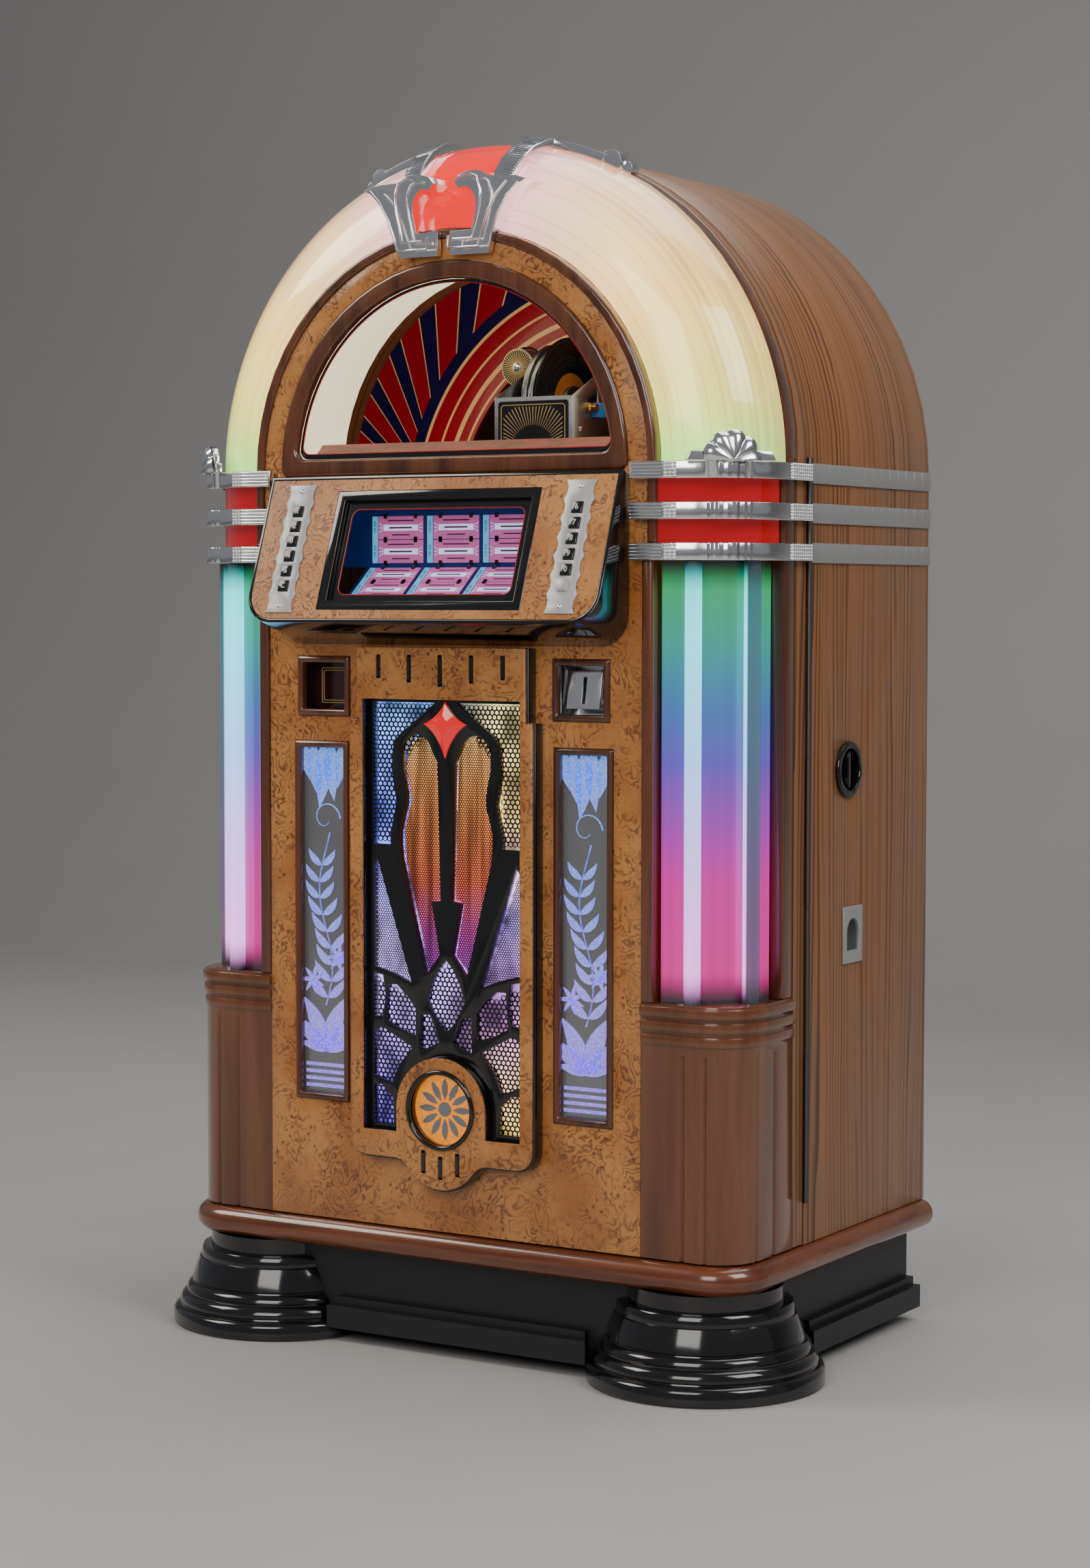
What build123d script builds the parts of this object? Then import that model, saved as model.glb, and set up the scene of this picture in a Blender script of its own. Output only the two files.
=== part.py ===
from build123d import *
from math import atan2, cos, degrees, hypot, pi, radians, sin, sqrt
import os

# Arched vinyl jukebox. Millimetres, +X to the viewer's right, +Y to the back, +Z up.
# The origin is on the floor, under the middle of the cabinet's depth and width.
# A depth is measured back from the veneered front board.
os.makedirs("parts", exist_ok=True)

# Case
half_width = 404.0
arch_centre_z = 1105.0
arch_facets = 28
side_wall = 18.0
base_top_z = 158.5
door_clearance = 1.5
door_depth = 167.5
split_gap = 3.0
seat_gap = 0.3
rear_board = 12.0
rear_rebate = 8.0

# Base, plinth and feet
base_board_height = 37.0
nosing_reach = 14.0
nosing_inset = 12.0
nosing_corner = 70.0
nosing_facets = 6
plinth_half_width = 384.0
plinth_front_depth = 26.0
plinth_rear_inset = 8.0
skirt_floor_gap = 17.0
skirt_step = 10.0
skirt_low_height = 29.0
skirt_high_height = 10.0
foot_x = 315.0
foot_depth = 85.0
foot_radius = 146.0
glide_radius = 24.0
glide_x = 330.0
glide_inset = 42.0

# Front board and its mouldings
board = 16.0
panel_half = 272.0
veneer_arch_radius = 279.0
arch_moulding = 13.0
leg_moulding = 16.0
side_ring = 24.0
moulding_proud = 3.5
moulding_edge = 2.5
window_radius = 231.0
window_sill_z = 1120.0
window_corner = 12.0
window_corner_facets = 3
window_moulding = 22.0
glass = 4.0

# Door frame
liner_half = 255.0
liner_wall = 13.0
ring_front_depth = 139.0
bottom_rail = 26.0
dome_liner_wall = 5.0
liner_facets = 28

# Lit arch and columns
lens_wall = 3.0
lens_facets = 6
lens_front_depth = 10.0
lens_back_depth = 112.0
column_centre_depth = 108.0
column_radius = 95.0
tube_radius = 10.2
tube_angles = (24.0, 64.0)
tube_facets = 16
crest_half_angle = 8.5

# Chrome bands and red sections
band_height = 20.5
band_pitch = 47.8
band_low_z = 991.0
band_inner_radius = 112.5
band_thickness = 9.0
band_front_x = 262.0
band_end_depth = 164.0
band_facets = 10
red_radius = 106.0
red_facets = 9

# Column bases
column_base_top_z = 466.0
column_base_corner = 55.0
column_base_ring = 5.0

# Selector: a sloping box that is wider at its foot
selector_top_z = 1098.0
selector_bottom_z = 916.5
selector_top_reach = 16.0
selector_bottom_reach = 80.0
selector_half_width = 255.0
selector_corner = 38.0
selector_wall = 8.0
selector_rim = 5.0
veneer = 2.0
title_window_half = 148.0
title_window_low = -79.6
title_window_high = 75.9
title_frame = 12.0

# Keys and their plates
key_size = 14.0
key_pitch = 19.6
key_rows = 6
key_column_x = 203.0
key_proud = 3.2
key_clearance = 0.35
key_plate_width = 42.0
key_plate_length = 168.0
key_plate_thickness = 1.5
key_scallop = 4.0

# Raised centre panel and grille
centre_half_top = 125.5
centre_half_low = 135.5
centre_step_z = 796.0
centre_top_z = 886.0
centre_bottom_z = 249.0
centre_corner = 25.0
corner_facets = 5
centre_bulge_radius = 62.0
centre_bulge_z = 276.0
backer = 18.0
centre_board = 4.0
grille_half = 115.5
grille_top_z = 822.0
grille_bottom_z = 284.0
collar_radius = 65.0
collar_facets = 36
collar_z = 316.0
medallion_radius = 49.0
tracery_thickness = 8.0
mesh = 1.0
slot_width = 6.5

# Etched mirrors and square recesses
mirror_inner_x = 150.0
mirror_outer_x = 234.0
mirror_bottom_z = 310.0
mirror_top_z = 767.0
recess_inner_x = 148.0
recess_outer_x = 229.0
recess_bottom_z = 798.0
recess_top_z = 874.0
bead = 9.0

# Hinge
hinge_stand_off = 4.0
hinge_low_z = 211.0
hinge_high_z = 1116.0
hinge_knuckles = 5
knuckle_radius = 3.2
knuckle_facets = 12
pin_radius = 1.5
pin_clearance = 0.05
leaf = 1.2
leaf_width = 28.0

# Side fittings
lock_depth = 284.0
lock_z = 735.0
lock_radius = 35.0
lock_lip = 5.0
lock_facets = 24
return_depth = 297.5
return_z = 528.5
return_width = 53.0
return_height = 71.0
return_lip_y = 4.5
return_lip_z = 8.5
strip_thickness = 3.5
strip_start_depth = 173.5
strip_rear_inset = 3.0

# Record player: the record stands upright, its axle runs from side to side
record_radius = 87.5
record_thickness = 1.6
record_facets = 48
record_clearance = 0.1
record_x = 60.0
axle_depth = 189.0
axle_z = 1187.0
flywheel_radius = 80.0
chassis_left_x = 27.5
chassis_right_x = 138.5
chassis_plate = 2.0
chassis_front_depth = 62.0
deck_top_z = 1091.0
deck_board = 18.0
deck_clearance = 4.0
bearing_clearance = 0.05
shaft_facets = 24

# Record magazine: a wheel on a fore-and-aft axle, behind the printed backdrop
magazine_ring = 130.0
magazine_hub = 46.0
magazine_axle = 8.0
magazine_front_depth = 306.0
bracket_gap = 6.0
bracket_thickness = 12.0
bracket_height = 60.0
rear_clearance = 9.0
stored_records = 12
backdrop_thickness = 3.0
backdrop_clearance = 20.0
backdrop_opening = 232.0

# Places worked out from the sizes above
magazine_rear_depth = magazine_front_depth + 2 * record_radius
bracket_rear_depth = magazine_rear_depth + bracket_gap + bracket_thickness
cabinet_depth = bracket_rear_depth + rear_clearance + rear_board
plinth_rear_depth = cabinet_depth - plinth_rear_inset
glide_depth = plinth_rear_depth - glide_inset
strip_end_depth = cabinet_depth - strip_rear_inset
panel_y = (selector_bottom_reach - cabinet_depth) / 2
case_front_depth = door_depth + split_gap
door_bottom_z = base_top_z + door_clearance
hinge_x = half_width + hinge_stand_off
hinge_depth = door_depth + split_gap / 2
column_x = half_width - band_inner_radius + seat_gap * 2
lens_inner_radius = veneer_arch_radius + arch_moulding + seat_gap
selector_tilt = atan2(selector_bottom_reach - selector_top_reach, selector_top_z - selector_bottom_z)
selector_length = hypot(selector_bottom_reach - selector_top_reach, selector_top_z - selector_bottom_z)
magazine_z = axle_z - magazine_ring
magazine_depth = magazine_front_depth + record_radius
chassis_rear_depth = magazine_front_depth - deck_clearance
backdrop_depth = magazine_front_depth - backdrop_clearance


def front(depth):
    """Upright plane at a depth, seen from the front: X across, Z up; extrusions come forward."""
    return Plane.XZ.offset(-(panel_y + depth))


def side(x):
    """Upright plane seen from the right: Y across, Z up; extrusions go to +X."""
    return Plane.YZ.offset(x)


def level(z):
    """Flat plane at a height: X across, Y back; extrusions go up."""
    return Plane.XY.offset(z)


def selector_plane(out=0.0):
    """Sloping plane of the selector's face, moved outwards by a distance."""
    middle_reach = (selector_top_reach + selector_bottom_reach) / 2
    middle_z = (selector_top_z + selector_bottom_z) / 2
    face = Plane(
        origin=(0, panel_y - middle_reach, middle_z),
        x_dir=(1, 0, 0),
        z_dir=(0, -cos(selector_tilt), sin(selector_tilt)),
    )
    return face.offset(out)


def chords(x, y, radius, start, end, count):
    """Points along an arc, from one angle in degrees to another, for a faceted round."""
    turns = [radians(start + (end - start) * n / count) for n in range(count + 1)]
    return [(x + radius * cos(turn), y + radius * sin(turn)) for turn in turns]


def arch_outline(half, bottom):
    """Upright board with a half-round top."""
    with BuildSketch() as outline:
        Polygon((-half, bottom), (half, bottom), *chords(0, arch_centre_z, half, 0, 180, arch_facets), align=None)
    return outline.sketch


def half_disc(radius, sill):
    """Disc on the arch's centre, cut off level at its sill, with rounded corners."""
    inner = radius - window_corner
    drop = sill + window_corner - arch_centre_z
    reach = sqrt(inner**2 - drop**2)
    lean = degrees(atan2(drop, reach))
    right = chords(reach, sill + window_corner, window_corner, -90, lean, window_corner_facets)
    left = [(-x, z) for x, z in reversed(right)]
    crown = chords(0, arch_centre_z, radius, lean, 180 - lean, arch_facets)
    with BuildSketch() as outline:
        Polygon(*right, *crown[1:-1], *left, align=None)
    return outline.sketch


def column_section(radius, wall=0.0):
    """Quarter round about the column's centre, on the right; solid, or a wall of its outside."""
    centre_y = panel_y + column_centre_depth
    with BuildSketch() as section:
        with Locations((column_x, centre_y)):
            Circle(radius)
            if wall:
                Circle(radius - wall, mode=Mode.SUBTRACT)
            with Locations((-radius, 0)):
                Rectangle(2 * radius, 4 * radius, mode=Mode.SUBTRACT)
            with Locations((0, radius)):
                Rectangle(4 * radius, 2 * radius, mode=Mode.SUBTRACT)
    return section.sketch


def both_sides(sketch):
    """Adds a sketch drawn on the right, and its mirror image on the left."""
    add(sketch)
    add(mirror(sketch, about=Plane.YZ, mode=Mode.PRIVATE))


# Cabinet shell: two sides bent over into the half-round top, rebated for the rear panel
with BuildPart() as cabinet_shell:
    with BuildSketch(front(case_front_depth)):
        add(arch_outline(half_width, base_top_z))
        add(arch_outline(half_width - side_wall, base_top_z), mode=Mode.SUBTRACT)
    extrude(amount=-(cabinet_depth - case_front_depth))
    with BuildSketch(front(cabinet_depth)):
        add(arch_outline(half_width - side_wall + rear_rebate, base_top_z))
    extrude(amount=rear_board + seat_gap, mode=Mode.SUBTRACT)
    with BuildSketch(side(half_width)):
        with Locations((panel_y + lock_depth, lock_z)):
            RegularPolygon(lock_radius - lock_lip, lock_facets)
        with Locations((panel_y + return_depth, return_z)):
            Rectangle(return_width - 2 * return_lip_y, return_height - 2 * return_lip_z)
    extrude(amount=-2 * side_wall, mode=Mode.SUBTRACT)
cabinet_shell.part.label = "cabinet_shell"
export_step(cabinet_shell.part, "parts/cabinet_shell.step")

# Rear panel with two rows of cooling slots, two hand holds and the mains opening
vent_width = 150.0
vent_height = 12.0
vent_spacing = 210.0
vent_pitch = 30.0
vent_rows = 3
vent_low_z = 420.0
vent_high_z = 1210.0
hand_hold_x = 250.0
hand_hold_z = 900.0
hand_hold_width = 110.0
hand_hold_height = 34.0
inlet_x = 120.0
inlet_z = 220.0
inlet_width = 50.0
inlet_height = 34.0
inlet_gap = 0.5
with BuildPart() as rear_panel:
    with BuildSketch(front(cabinet_depth)):
        add(arch_outline(half_width - side_wall + rear_rebate - seat_gap, base_top_z + seat_gap))
        for row_z in (vent_low_z, vent_high_z):
            with Locations((0, row_z)):
                with GridLocations(vent_spacing, vent_pitch, 2, vent_rows):
                    Rectangle(vent_width, vent_height, mode=Mode.SUBTRACT)
        with Locations((-hand_hold_x, hand_hold_z), (hand_hold_x, hand_hold_z)):
            Rectangle(hand_hold_width, hand_hold_height, mode=Mode.SUBTRACT)
        with Locations((inlet_x, inlet_z)):
            Rectangle(inlet_width + 2 * inlet_gap, inlet_height + 2 * inlet_gap, mode=Mode.SUBTRACT)
    extrude(amount=rear_board)
rear_panel.part.label = "rear_panel"
export_step(rear_panel.part, "parts/rear_panel.step")

# Base board and hollow plinth with a two-step skirting
board_half = half_width - nosing_inset
board_corner = nosing_corner - nosing_inset - nosing_reach
base_bottom_z = base_top_z - base_board_height
plinth_depth = plinth_rear_depth - plinth_front_depth
plinth_wall = 20.0
plinth_middle_y = panel_y + (plinth_front_depth + plinth_rear_depth) / 2
with BuildPart() as plinth:
    with BuildSketch(level(base_bottom_z)):
        with Locations((0, panel_y + cabinet_depth / 2 + nosing_inset / 2)):
            Rectangle(2 * board_half, cabinet_depth - nosing_inset)
        fillet(vertices().group_by(Axis.Y)[0], board_corner)
    extrude(amount=base_board_height)
    with BuildSketch(level(base_bottom_z)):
        with Locations((0, plinth_middle_y)):
            Rectangle(2 * plinth_half_width, plinth_depth)
            Rectangle(
                2 * (plinth_half_width - plinth_wall), plinth_depth - 2 * plinth_wall, mode=Mode.SUBTRACT
            )
    extrude(amount=skirt_floor_gap - base_bottom_z)
    skirt_steps = (
        (2 * skirt_step, skirt_floor_gap, skirt_low_height),
        (skirt_step, skirt_floor_gap + skirt_low_height, skirt_high_height),
    )
    for proud, low_z, height in skirt_steps:
        with BuildSketch(level(low_z)):
            with Locations((0, plinth_middle_y - proud / 2)):
                Rectangle(2 * (plinth_half_width + proud), plinth_depth + proud)
            with Locations((0, plinth_middle_y)):
                Rectangle(2 * plinth_half_width, plinth_depth, mode=Mode.SUBTRACT)
            with Locations((-foot_x, panel_y + foot_depth), (foot_x, panel_y + foot_depth)):
                Circle(foot_radius + seat_gap, mode=Mode.SUBTRACT)
        extrude(amount=height)
plinth.part.label = "plinth"
export_step(plinth.part, "parts/plinth.step")

# Half-round nosing round the front and sides of the base board
with BuildPart() as base_trim:
    nosing_path_half = board_half + seat_gap
    nosing_front_y = panel_y + nosing_inset - seat_gap
    nosing_rear_y = panel_y + cabinet_depth
    with BuildLine(level(base_bottom_z + base_board_height / 2)) as nosing_path:
        FilletPolyline(
            (-nosing_path_half, nosing_rear_y),
            (-nosing_path_half, nosing_front_y),
            (nosing_path_half, nosing_front_y),
            (nosing_path_half, nosing_rear_y),
            radius=board_corner,
        )
    nosing_width = nosing_inset + nosing_reach - seat_gap
    start = Plane(origin=nosing_path.line @ 0, x_dir=(-1, 0, 0), z_dir=nosing_path.line % 0)
    with BuildSketch(start):
        nosing_round = chords(base_board_height / 2, 0, base_board_height / 2, 90, 270, nosing_facets)
        Polygon(
            (nosing_width, base_board_height / 2), *nosing_round, (nosing_width, -base_board_height / 2),
            align=None,
        )
    sweep(path=nosing_path.line)
base_trim.part.label = "base_trim"
export_step(base_trim.part, "parts/base_trim.step")

# Turned front feet, scribed to the plinth, and two screw glides under the rear corners
foot_rim = 22.0
foot_outline = (
    (foot_radius, 0.0), (foot_radius, foot_rim), (foot_radius - 9, foot_rim + 19),
    (foot_radius - 29, foot_rim + 54), (foot_radius - 36, foot_rim + 60), (foot_radius - 36, foot_rim + 79),
)
foot_neck_radius = foot_radius - 50
foot_facets = 36
glide_facets = 12
with BuildPart() as foot_solid:
    for (low_radius, low_z), (high_radius, high_z) in zip(foot_outline, foot_outline[1:]):
        if high_z > low_z:
            for z, radius in ((low_z, low_radius), (high_z, high_radius)):
                with BuildSketch(level(z)):
                    RegularPolygon(radius, foot_facets)
            loft()
    with BuildSketch(level(0)):
        RegularPolygon(foot_neck_radius, foot_facets)
    extrude(amount=base_bottom_z)
with BuildPart() as feet:
    with Locations((-foot_x, panel_y + foot_depth, 0), (foot_x, panel_y + foot_depth, 0)):
        add(foot_solid.part)
    with BuildSketch(level(0)):
        with Locations((0, panel_y + plinth_front_depth - seat_gap)):
            Rectangle(2 * (plinth_half_width + seat_gap), cabinet_depth, align=(Align.CENTER, Align.MIN))
    extrude(amount=base_bottom_z, mode=Mode.SUBTRACT)
    for radius, height in ((glide_radius, skirt_floor_gap / 2), (glide_radius / 4, base_bottom_z)):
        with BuildSketch(level(0)):
            with Locations((-glide_x, panel_y + glide_depth), (glide_x, panel_y + glide_depth)):
                RegularPolygon(radius, glide_facets)
        extrude(amount=height)
feet.part.label = "feet"
export_step(feet.part, "parts/feet.step")

# Chrome strips along the cabinet's sides, in line with the door's bands
with BuildPart() as side_strips:
    for row in range(3):
        strip_z = band_low_z + row * band_pitch + band_height / 2
        for x in (half_width, -half_width - strip_thickness):
            with BuildSketch(side(x)):
                with Locations((panel_y + (strip_start_depth + strip_end_depth) / 2, strip_z)):
                    Rectangle(strip_end_depth - strip_start_depth, band_height + 3.5)
            extrude(amount=strip_thickness)
side_strips.part.label = "side_strips"
export_step(side_strips.part, "parts/side_strips.step")

# Continuous hinge: the pin is fast in the cabinet's knuckles and runs in the door's
knuckle_length = (hinge_high_z - hinge_low_z) / hinge_knuckles
knuckle_gap = 0.6
leaf_bridge = hinge_x - knuckle_radius / 2 - (half_width - leaf_width)


def hinge_tabs(first):
    """Heights of every second knuckle, from the first."""
    return [hinge_low_z + knuckle_length * n for n in range(first, hinge_knuckles, 2)]


with BuildPart() as cabinet_hinge_leaf:
    with BuildSketch(front(case_front_depth - leaf)):
        with Locations((half_width - leaf_width, hinge_low_z)):
            Rectangle(
                leaf_width - seat_gap, hinge_high_z - hinge_low_z, align=(Align.MIN, Align.MIN)
            )
        for z in hinge_tabs(0):
            with Locations((half_width - leaf_width, z + knuckle_gap / 2)):
                Rectangle(leaf_bridge, knuckle_length - knuckle_gap, align=(Align.MIN, Align.MIN))
    extrude(amount=-leaf)
    for z in hinge_tabs(0):
        with BuildSketch(level(z + knuckle_gap / 2)):
            with Locations((hinge_x, panel_y + hinge_depth)):
                RegularPolygon(knuckle_radius, knuckle_facets)
        extrude(amount=knuckle_length - knuckle_gap)
    with BuildSketch(level(hinge_low_z)):
        with Locations((hinge_x, panel_y + hinge_depth)):
            RegularPolygon(pin_radius, knuckle_facets)
    extrude(amount=hinge_high_z - hinge_low_z)
cabinet_hinge_leaf.part.label = "cabinet_hinge_leaf"
export_step(cabinet_hinge_leaf.part, "parts/cabinet_hinge_leaf.step")

with BuildPart() as door_hinge_leaf:
    with BuildSketch(front(door_depth)):
        with Locations((half_width - leaf_width, hinge_low_z)):
            Rectangle(
                leaf_width - seat_gap, hinge_high_z - hinge_low_z, align=(Align.MIN, Align.MIN)
            )
        for z in hinge_tabs(1):
            with Locations((half_width - leaf_width, z + knuckle_gap / 2)):
                Rectangle(leaf_bridge, knuckle_length - knuckle_gap, align=(Align.MIN, Align.MIN))
    extrude(amount=-leaf)
    for z in hinge_tabs(1):
        with BuildSketch(level(z + knuckle_gap / 2)):
            with Locations((hinge_x, panel_y + hinge_depth)):
                RegularPolygon(knuckle_radius, knuckle_facets)
        extrude(amount=knuckle_length - knuckle_gap)
    with BuildSketch(level(hinge_low_z)):
        with Locations((hinge_x, panel_y + hinge_depth)):
            Circle(pin_radius + pin_clearance)
    extrude(amount=hinge_high_z - hinge_low_z, mode=Mode.SUBTRACT)
door_hinge_leaf.part.label = "door_hinge_leaf"
export_step(door_hinge_leaf.part, "parts/door_hinge_leaf.step")

# Door frame: cheeks behind the front board, a bottom rail and the arched ring that closes the back
with BuildPart() as door_frame:
    with BuildSketch(front(ring_front_depth)):
        add(arch_outline(half_width, door_bottom_z))
        add(arch_outline(liner_half, door_bottom_z + bottom_rail), mode=Mode.SUBTRACT)
    extrude(amount=-(door_depth - ring_front_depth))
    with BuildSketch(front(board)):
        with Locations((liner_half, door_bottom_z), (-liner_half - liner_wall, door_bottom_z)):
            Rectangle(liner_wall, arch_centre_z - door_bottom_z, align=(Align.MIN, Align.MIN))
        with Locations((0, door_bottom_z)):
            Rectangle(2 * liner_half, bottom_rail, align=(Align.CENTER, Align.MIN))
    extrude(amount=-(ring_front_depth - board))
door_frame.part.label = "door_frame"
export_step(door_frame.part, "parts/door_frame.step")

# White liner that turns round the dome behind the lit arch
with BuildPart() as dome_liner:
    with BuildSketch(front(board)):
        liner_outer = chords(0, arch_centre_z + seat_gap, liner_half + dome_liner_wall, 0, 180, liner_facets)
        liner_inner = chords(0, arch_centre_z + seat_gap, liner_half, 180, 0, liner_facets)
        Polygon(*liner_outer, *liner_inner, align=None)
    extrude(amount=-(ring_front_depth - board - seat_gap))
dome_liner.part.label = "dome_liner"
export_step(dome_liner.part, "parts/dome_liner.step")

# Veneered front board with its arched top and every opening
selector_opening_half = 180.0
selector_opening_low_z = 905.0
selector_opening_high_z = 1062.0
mesh_width = 2 * (grille_half - 2)
mesh_height = grille_top_z - grille_bottom_z - 4
mirror_mid_x = (mirror_inner_x + mirror_outer_x) / 2
mirror_mid_z = (mirror_bottom_z + mirror_top_z) / 2
mirror_width = mirror_outer_x - mirror_inner_x
mirror_height = mirror_top_z - mirror_bottom_z
recess_mid_x = (recess_inner_x + recess_outer_x) / 2
recess_mid_z = (recess_bottom_z + recess_top_z) / 2
recess_width = recess_outer_x - recess_inner_x
recess_height = recess_top_z - recess_bottom_z
with BuildPart() as front_panel:
    with BuildSketch(front(board)):
        add(arch_outline(veneer_arch_radius, band_low_z + band_height))
        with Locations((0, door_bottom_z)):
            Rectangle(2 * panel_half, arch_centre_z - door_bottom_z, align=(Align.CENTER, Align.MIN))
        add(
            half_disc(window_radius + window_moulding + seat_gap, window_sill_z - window_moulding - seat_gap),
            mode=Mode.SUBTRACT,
        )
        with Locations((0, (selector_opening_low_z + selector_opening_high_z) / 2)):
            Rectangle(
                2 * selector_opening_half,
                selector_opening_high_z - selector_opening_low_z,
                mode=Mode.SUBTRACT,
            )
        with Locations((0, (grille_bottom_z + grille_top_z) / 2)):
            Rectangle(mesh_width, mesh_height, mode=Mode.SUBTRACT)
        with Locations((-mirror_mid_x, mirror_mid_z), (mirror_mid_x, mirror_mid_z)):
            Rectangle(mirror_width, mirror_height, mode=Mode.SUBTRACT)
        with Locations((-recess_mid_x, recess_mid_z), (recess_mid_x, recess_mid_z)):
            Rectangle(recess_width, recess_height, mode=Mode.SUBTRACT)
    extrude(amount=board)
front_panel.part.label = "front_panel"
export_step(front_panel.part, "parts/front_panel.step")

# Rounded brown mouldings: round the dome, the window, the columns, the mirrors and the recesses
with BuildPart() as front_mouldings:
    with BuildSketch(front(board)):
        add(arch_outline(veneer_arch_radius + arch_moulding, band_low_z + band_height))
        add(
            arch_outline(veneer_arch_radius + seat_gap, band_low_z + band_height),
            mode=Mode.SUBTRACT,
        )
        leg_height = band_low_z + band_height - seat_gap - column_base_top_z
        leg_left = -panel_half - leg_moulding - seat_gap
        with Locations((panel_half + seat_gap, column_base_top_z), (leg_left, column_base_top_z)):
            Rectangle(leg_moulding, leg_height, align=(Align.MIN, Align.MIN))
    extrude(amount=board + moulding_proud)
    with BuildSketch(front(board / 2)):
        add(half_disc(window_radius + window_moulding, window_sill_z - window_moulding))
        add(half_disc(window_radius, window_sill_z), mode=Mode.SUBTRACT)
    extrude(amount=board / 2 + moulding_proud)
    with BuildSketch(front(board / 2)):
        openings = (
            (mirror_mid_x, mirror_mid_z, mirror_width, mirror_height),
            (recess_mid_x, recess_mid_z, recess_width, recess_height),
        )
        for x, z, width, height in openings:
            with Locations((-x, z), (x, z)):
                Rectangle(width - 2 * seat_gap, height - 2 * seat_gap)
                Rectangle(width - 2 * bead, height - 2 * bead, mode=Mode.SUBTRACT)
    extrude(amount=board / 2 + moulding_proud)
    chamfer(front_mouldings.edges().group_by(Axis.Y)[0], moulding_edge)
    with BuildSketch(front(ring_front_depth)):
        add(arch_outline(half_width, column_base_top_z + seat_gap))
        add(arch_outline(half_width - side_ring, column_base_top_z + seat_gap), mode=Mode.SUBTRACT)
    extrude(amount=ring_front_depth - lens_back_depth - seat_gap)
front_mouldings.part.label = "front_mouldings"
export_step(front_mouldings.part, "parts/front_mouldings.step")

# Dome glass, seated behind the window moulding
with BuildPart() as dome_glass:
    with BuildSketch(front(board / 2 + seat_gap)):
        add(half_disc(window_radius + window_moulding - glass, window_sill_z - window_moulding + glass))
    extrude(amount=-glass)
dome_glass.part.label = "dome_glass"
export_step(dome_glass.part, "parts/dome_glass.step")

# Lit arch: a quarter-round shell turned about the arch's centre, in two halves
lens_reach = half_width - lens_inner_radius
lens_bulge = lens_back_depth - lens_front_depth


def lens_section(inset):
    """Quarter-ellipse profile of the lit arch, drawn in radius and height above the arch's centre."""
    foot = (panel_y + lens_back_depth, arch_centre_z + lens_inner_radius)
    turns = [pi / 2 * n / lens_facets for n in range(lens_facets + 1)]
    rim = [
        (foot[0] - (lens_bulge - inset) * sin(turn), foot[1] + (lens_reach - inset) * cos(turn))
        for turn in turns
    ]
    with BuildSketch(side(0)) as section:
        Polygon(foot, *rim, align=None)
    return section.sketch


arch_axis = Axis((0, 0, arch_centre_z), (0, 1, 0))
crest_gap = 0.1
half_arch = 90.0 - crest_half_angle - crest_gap
with BuildPart() as arch_lens:
    add(lens_section(0))
    revolve(axis=arch_axis, revolution_arc=half_arch)
    add(lens_section(lens_wall))
    revolve(axis=arch_axis, revolution_arc=half_arch, mode=Mode.SUBTRACT)
arch_half = arch_lens.part.rotate(arch_axis, crest_half_angle + crest_gap)
with BuildPart() as arch_lens:
    add(arch_half)
    mirror(about=Plane.YZ)
arch_lens.part.label = "arch_lens"
export_step(arch_lens.part, "parts/arch_lens.step")

# Red sections: the middle of the arch, and the faceted corners between the chrome bands
with BuildPart() as red_wedge:
    add(lens_section(0))
    revolve(axis=arch_axis, revolution_arc=2 * crest_half_angle)
    add(lens_section(lens_wall))
    revolve(axis=arch_axis, revolution_arc=2 * crest_half_angle, mode=Mode.SUBTRACT)
red_top_z = arch_centre_z - seat_gap
with BuildPart() as red_lenses:
    add(red_wedge.part.rotate(arch_axis, -crest_half_angle))
    with BuildSketch(level(band_low_z)):
        for half in (-1, 1):
            wall = []
            for radius, start, end in ((red_radius, 0, -90), (red_radius - 2 * lens_wall, -90, 0)):
                wall += chords(column_x, panel_y + column_centre_depth, radius, start, end, red_facets)
            Polygon(*[(half * x, y) for x, y in wall], align=None)
    extrude(amount=red_top_z - band_low_z)
red_lenses.part.label = "red_lenses"
export_step(red_lenses.part, "parts/red_lenses.step")

# Column lenses, standing on the bases under the lowest bands
with BuildPart() as column_lenses:
    with BuildSketch(level(column_base_top_z)):
        both_sides(column_section(column_radius, lens_wall))
    extrude(amount=band_low_z - seat_gap - column_base_top_z)
column_lenses.part.label = "column_lenses"
export_step(column_lenses.part, "parts/column_lenses.step")

# Clear light tubes in front of the column lenses
tube_ring = column_radius + seat_gap + tube_radius
with BuildPart() as light_tubes:
    with BuildSketch(level(column_base_top_z)):
        for angle in tube_angles:
            x = column_x + tube_ring * sin(radians(angle))
            y = panel_y + column_centre_depth - tube_ring * cos(radians(angle))
            with Locations((x, y), (-x, y)):
                RegularPolygon(tube_radius, tube_facets)
    extrude(amount=band_low_z - seat_gap - column_base_top_z)
light_tubes.part.label = "light_tubes"
export_step(light_tubes.part, "parts/light_tubes.step")


def band_plan(inner, outer):
    """Plan of a band on the right: from the front board, round the corner, to the hinge line."""
    centre_y = panel_y + column_centre_depth
    outside = chords(column_x, centre_y, outer, -90, 0, band_facets)
    inside = chords(column_x, centre_y, inner, 0, -90, band_facets)
    front_end = [(band_front_x, centre_y - inner), (band_front_x, centre_y - outer)]
    rear_end = [(column_x + outer, panel_y + band_end_depth), (column_x + inner, panel_y + band_end_depth)]
    with BuildSketch() as plan:
        Polygon(*front_end, *outside, *rear_end, *inside, align=None)
    return plan.sketch


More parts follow.
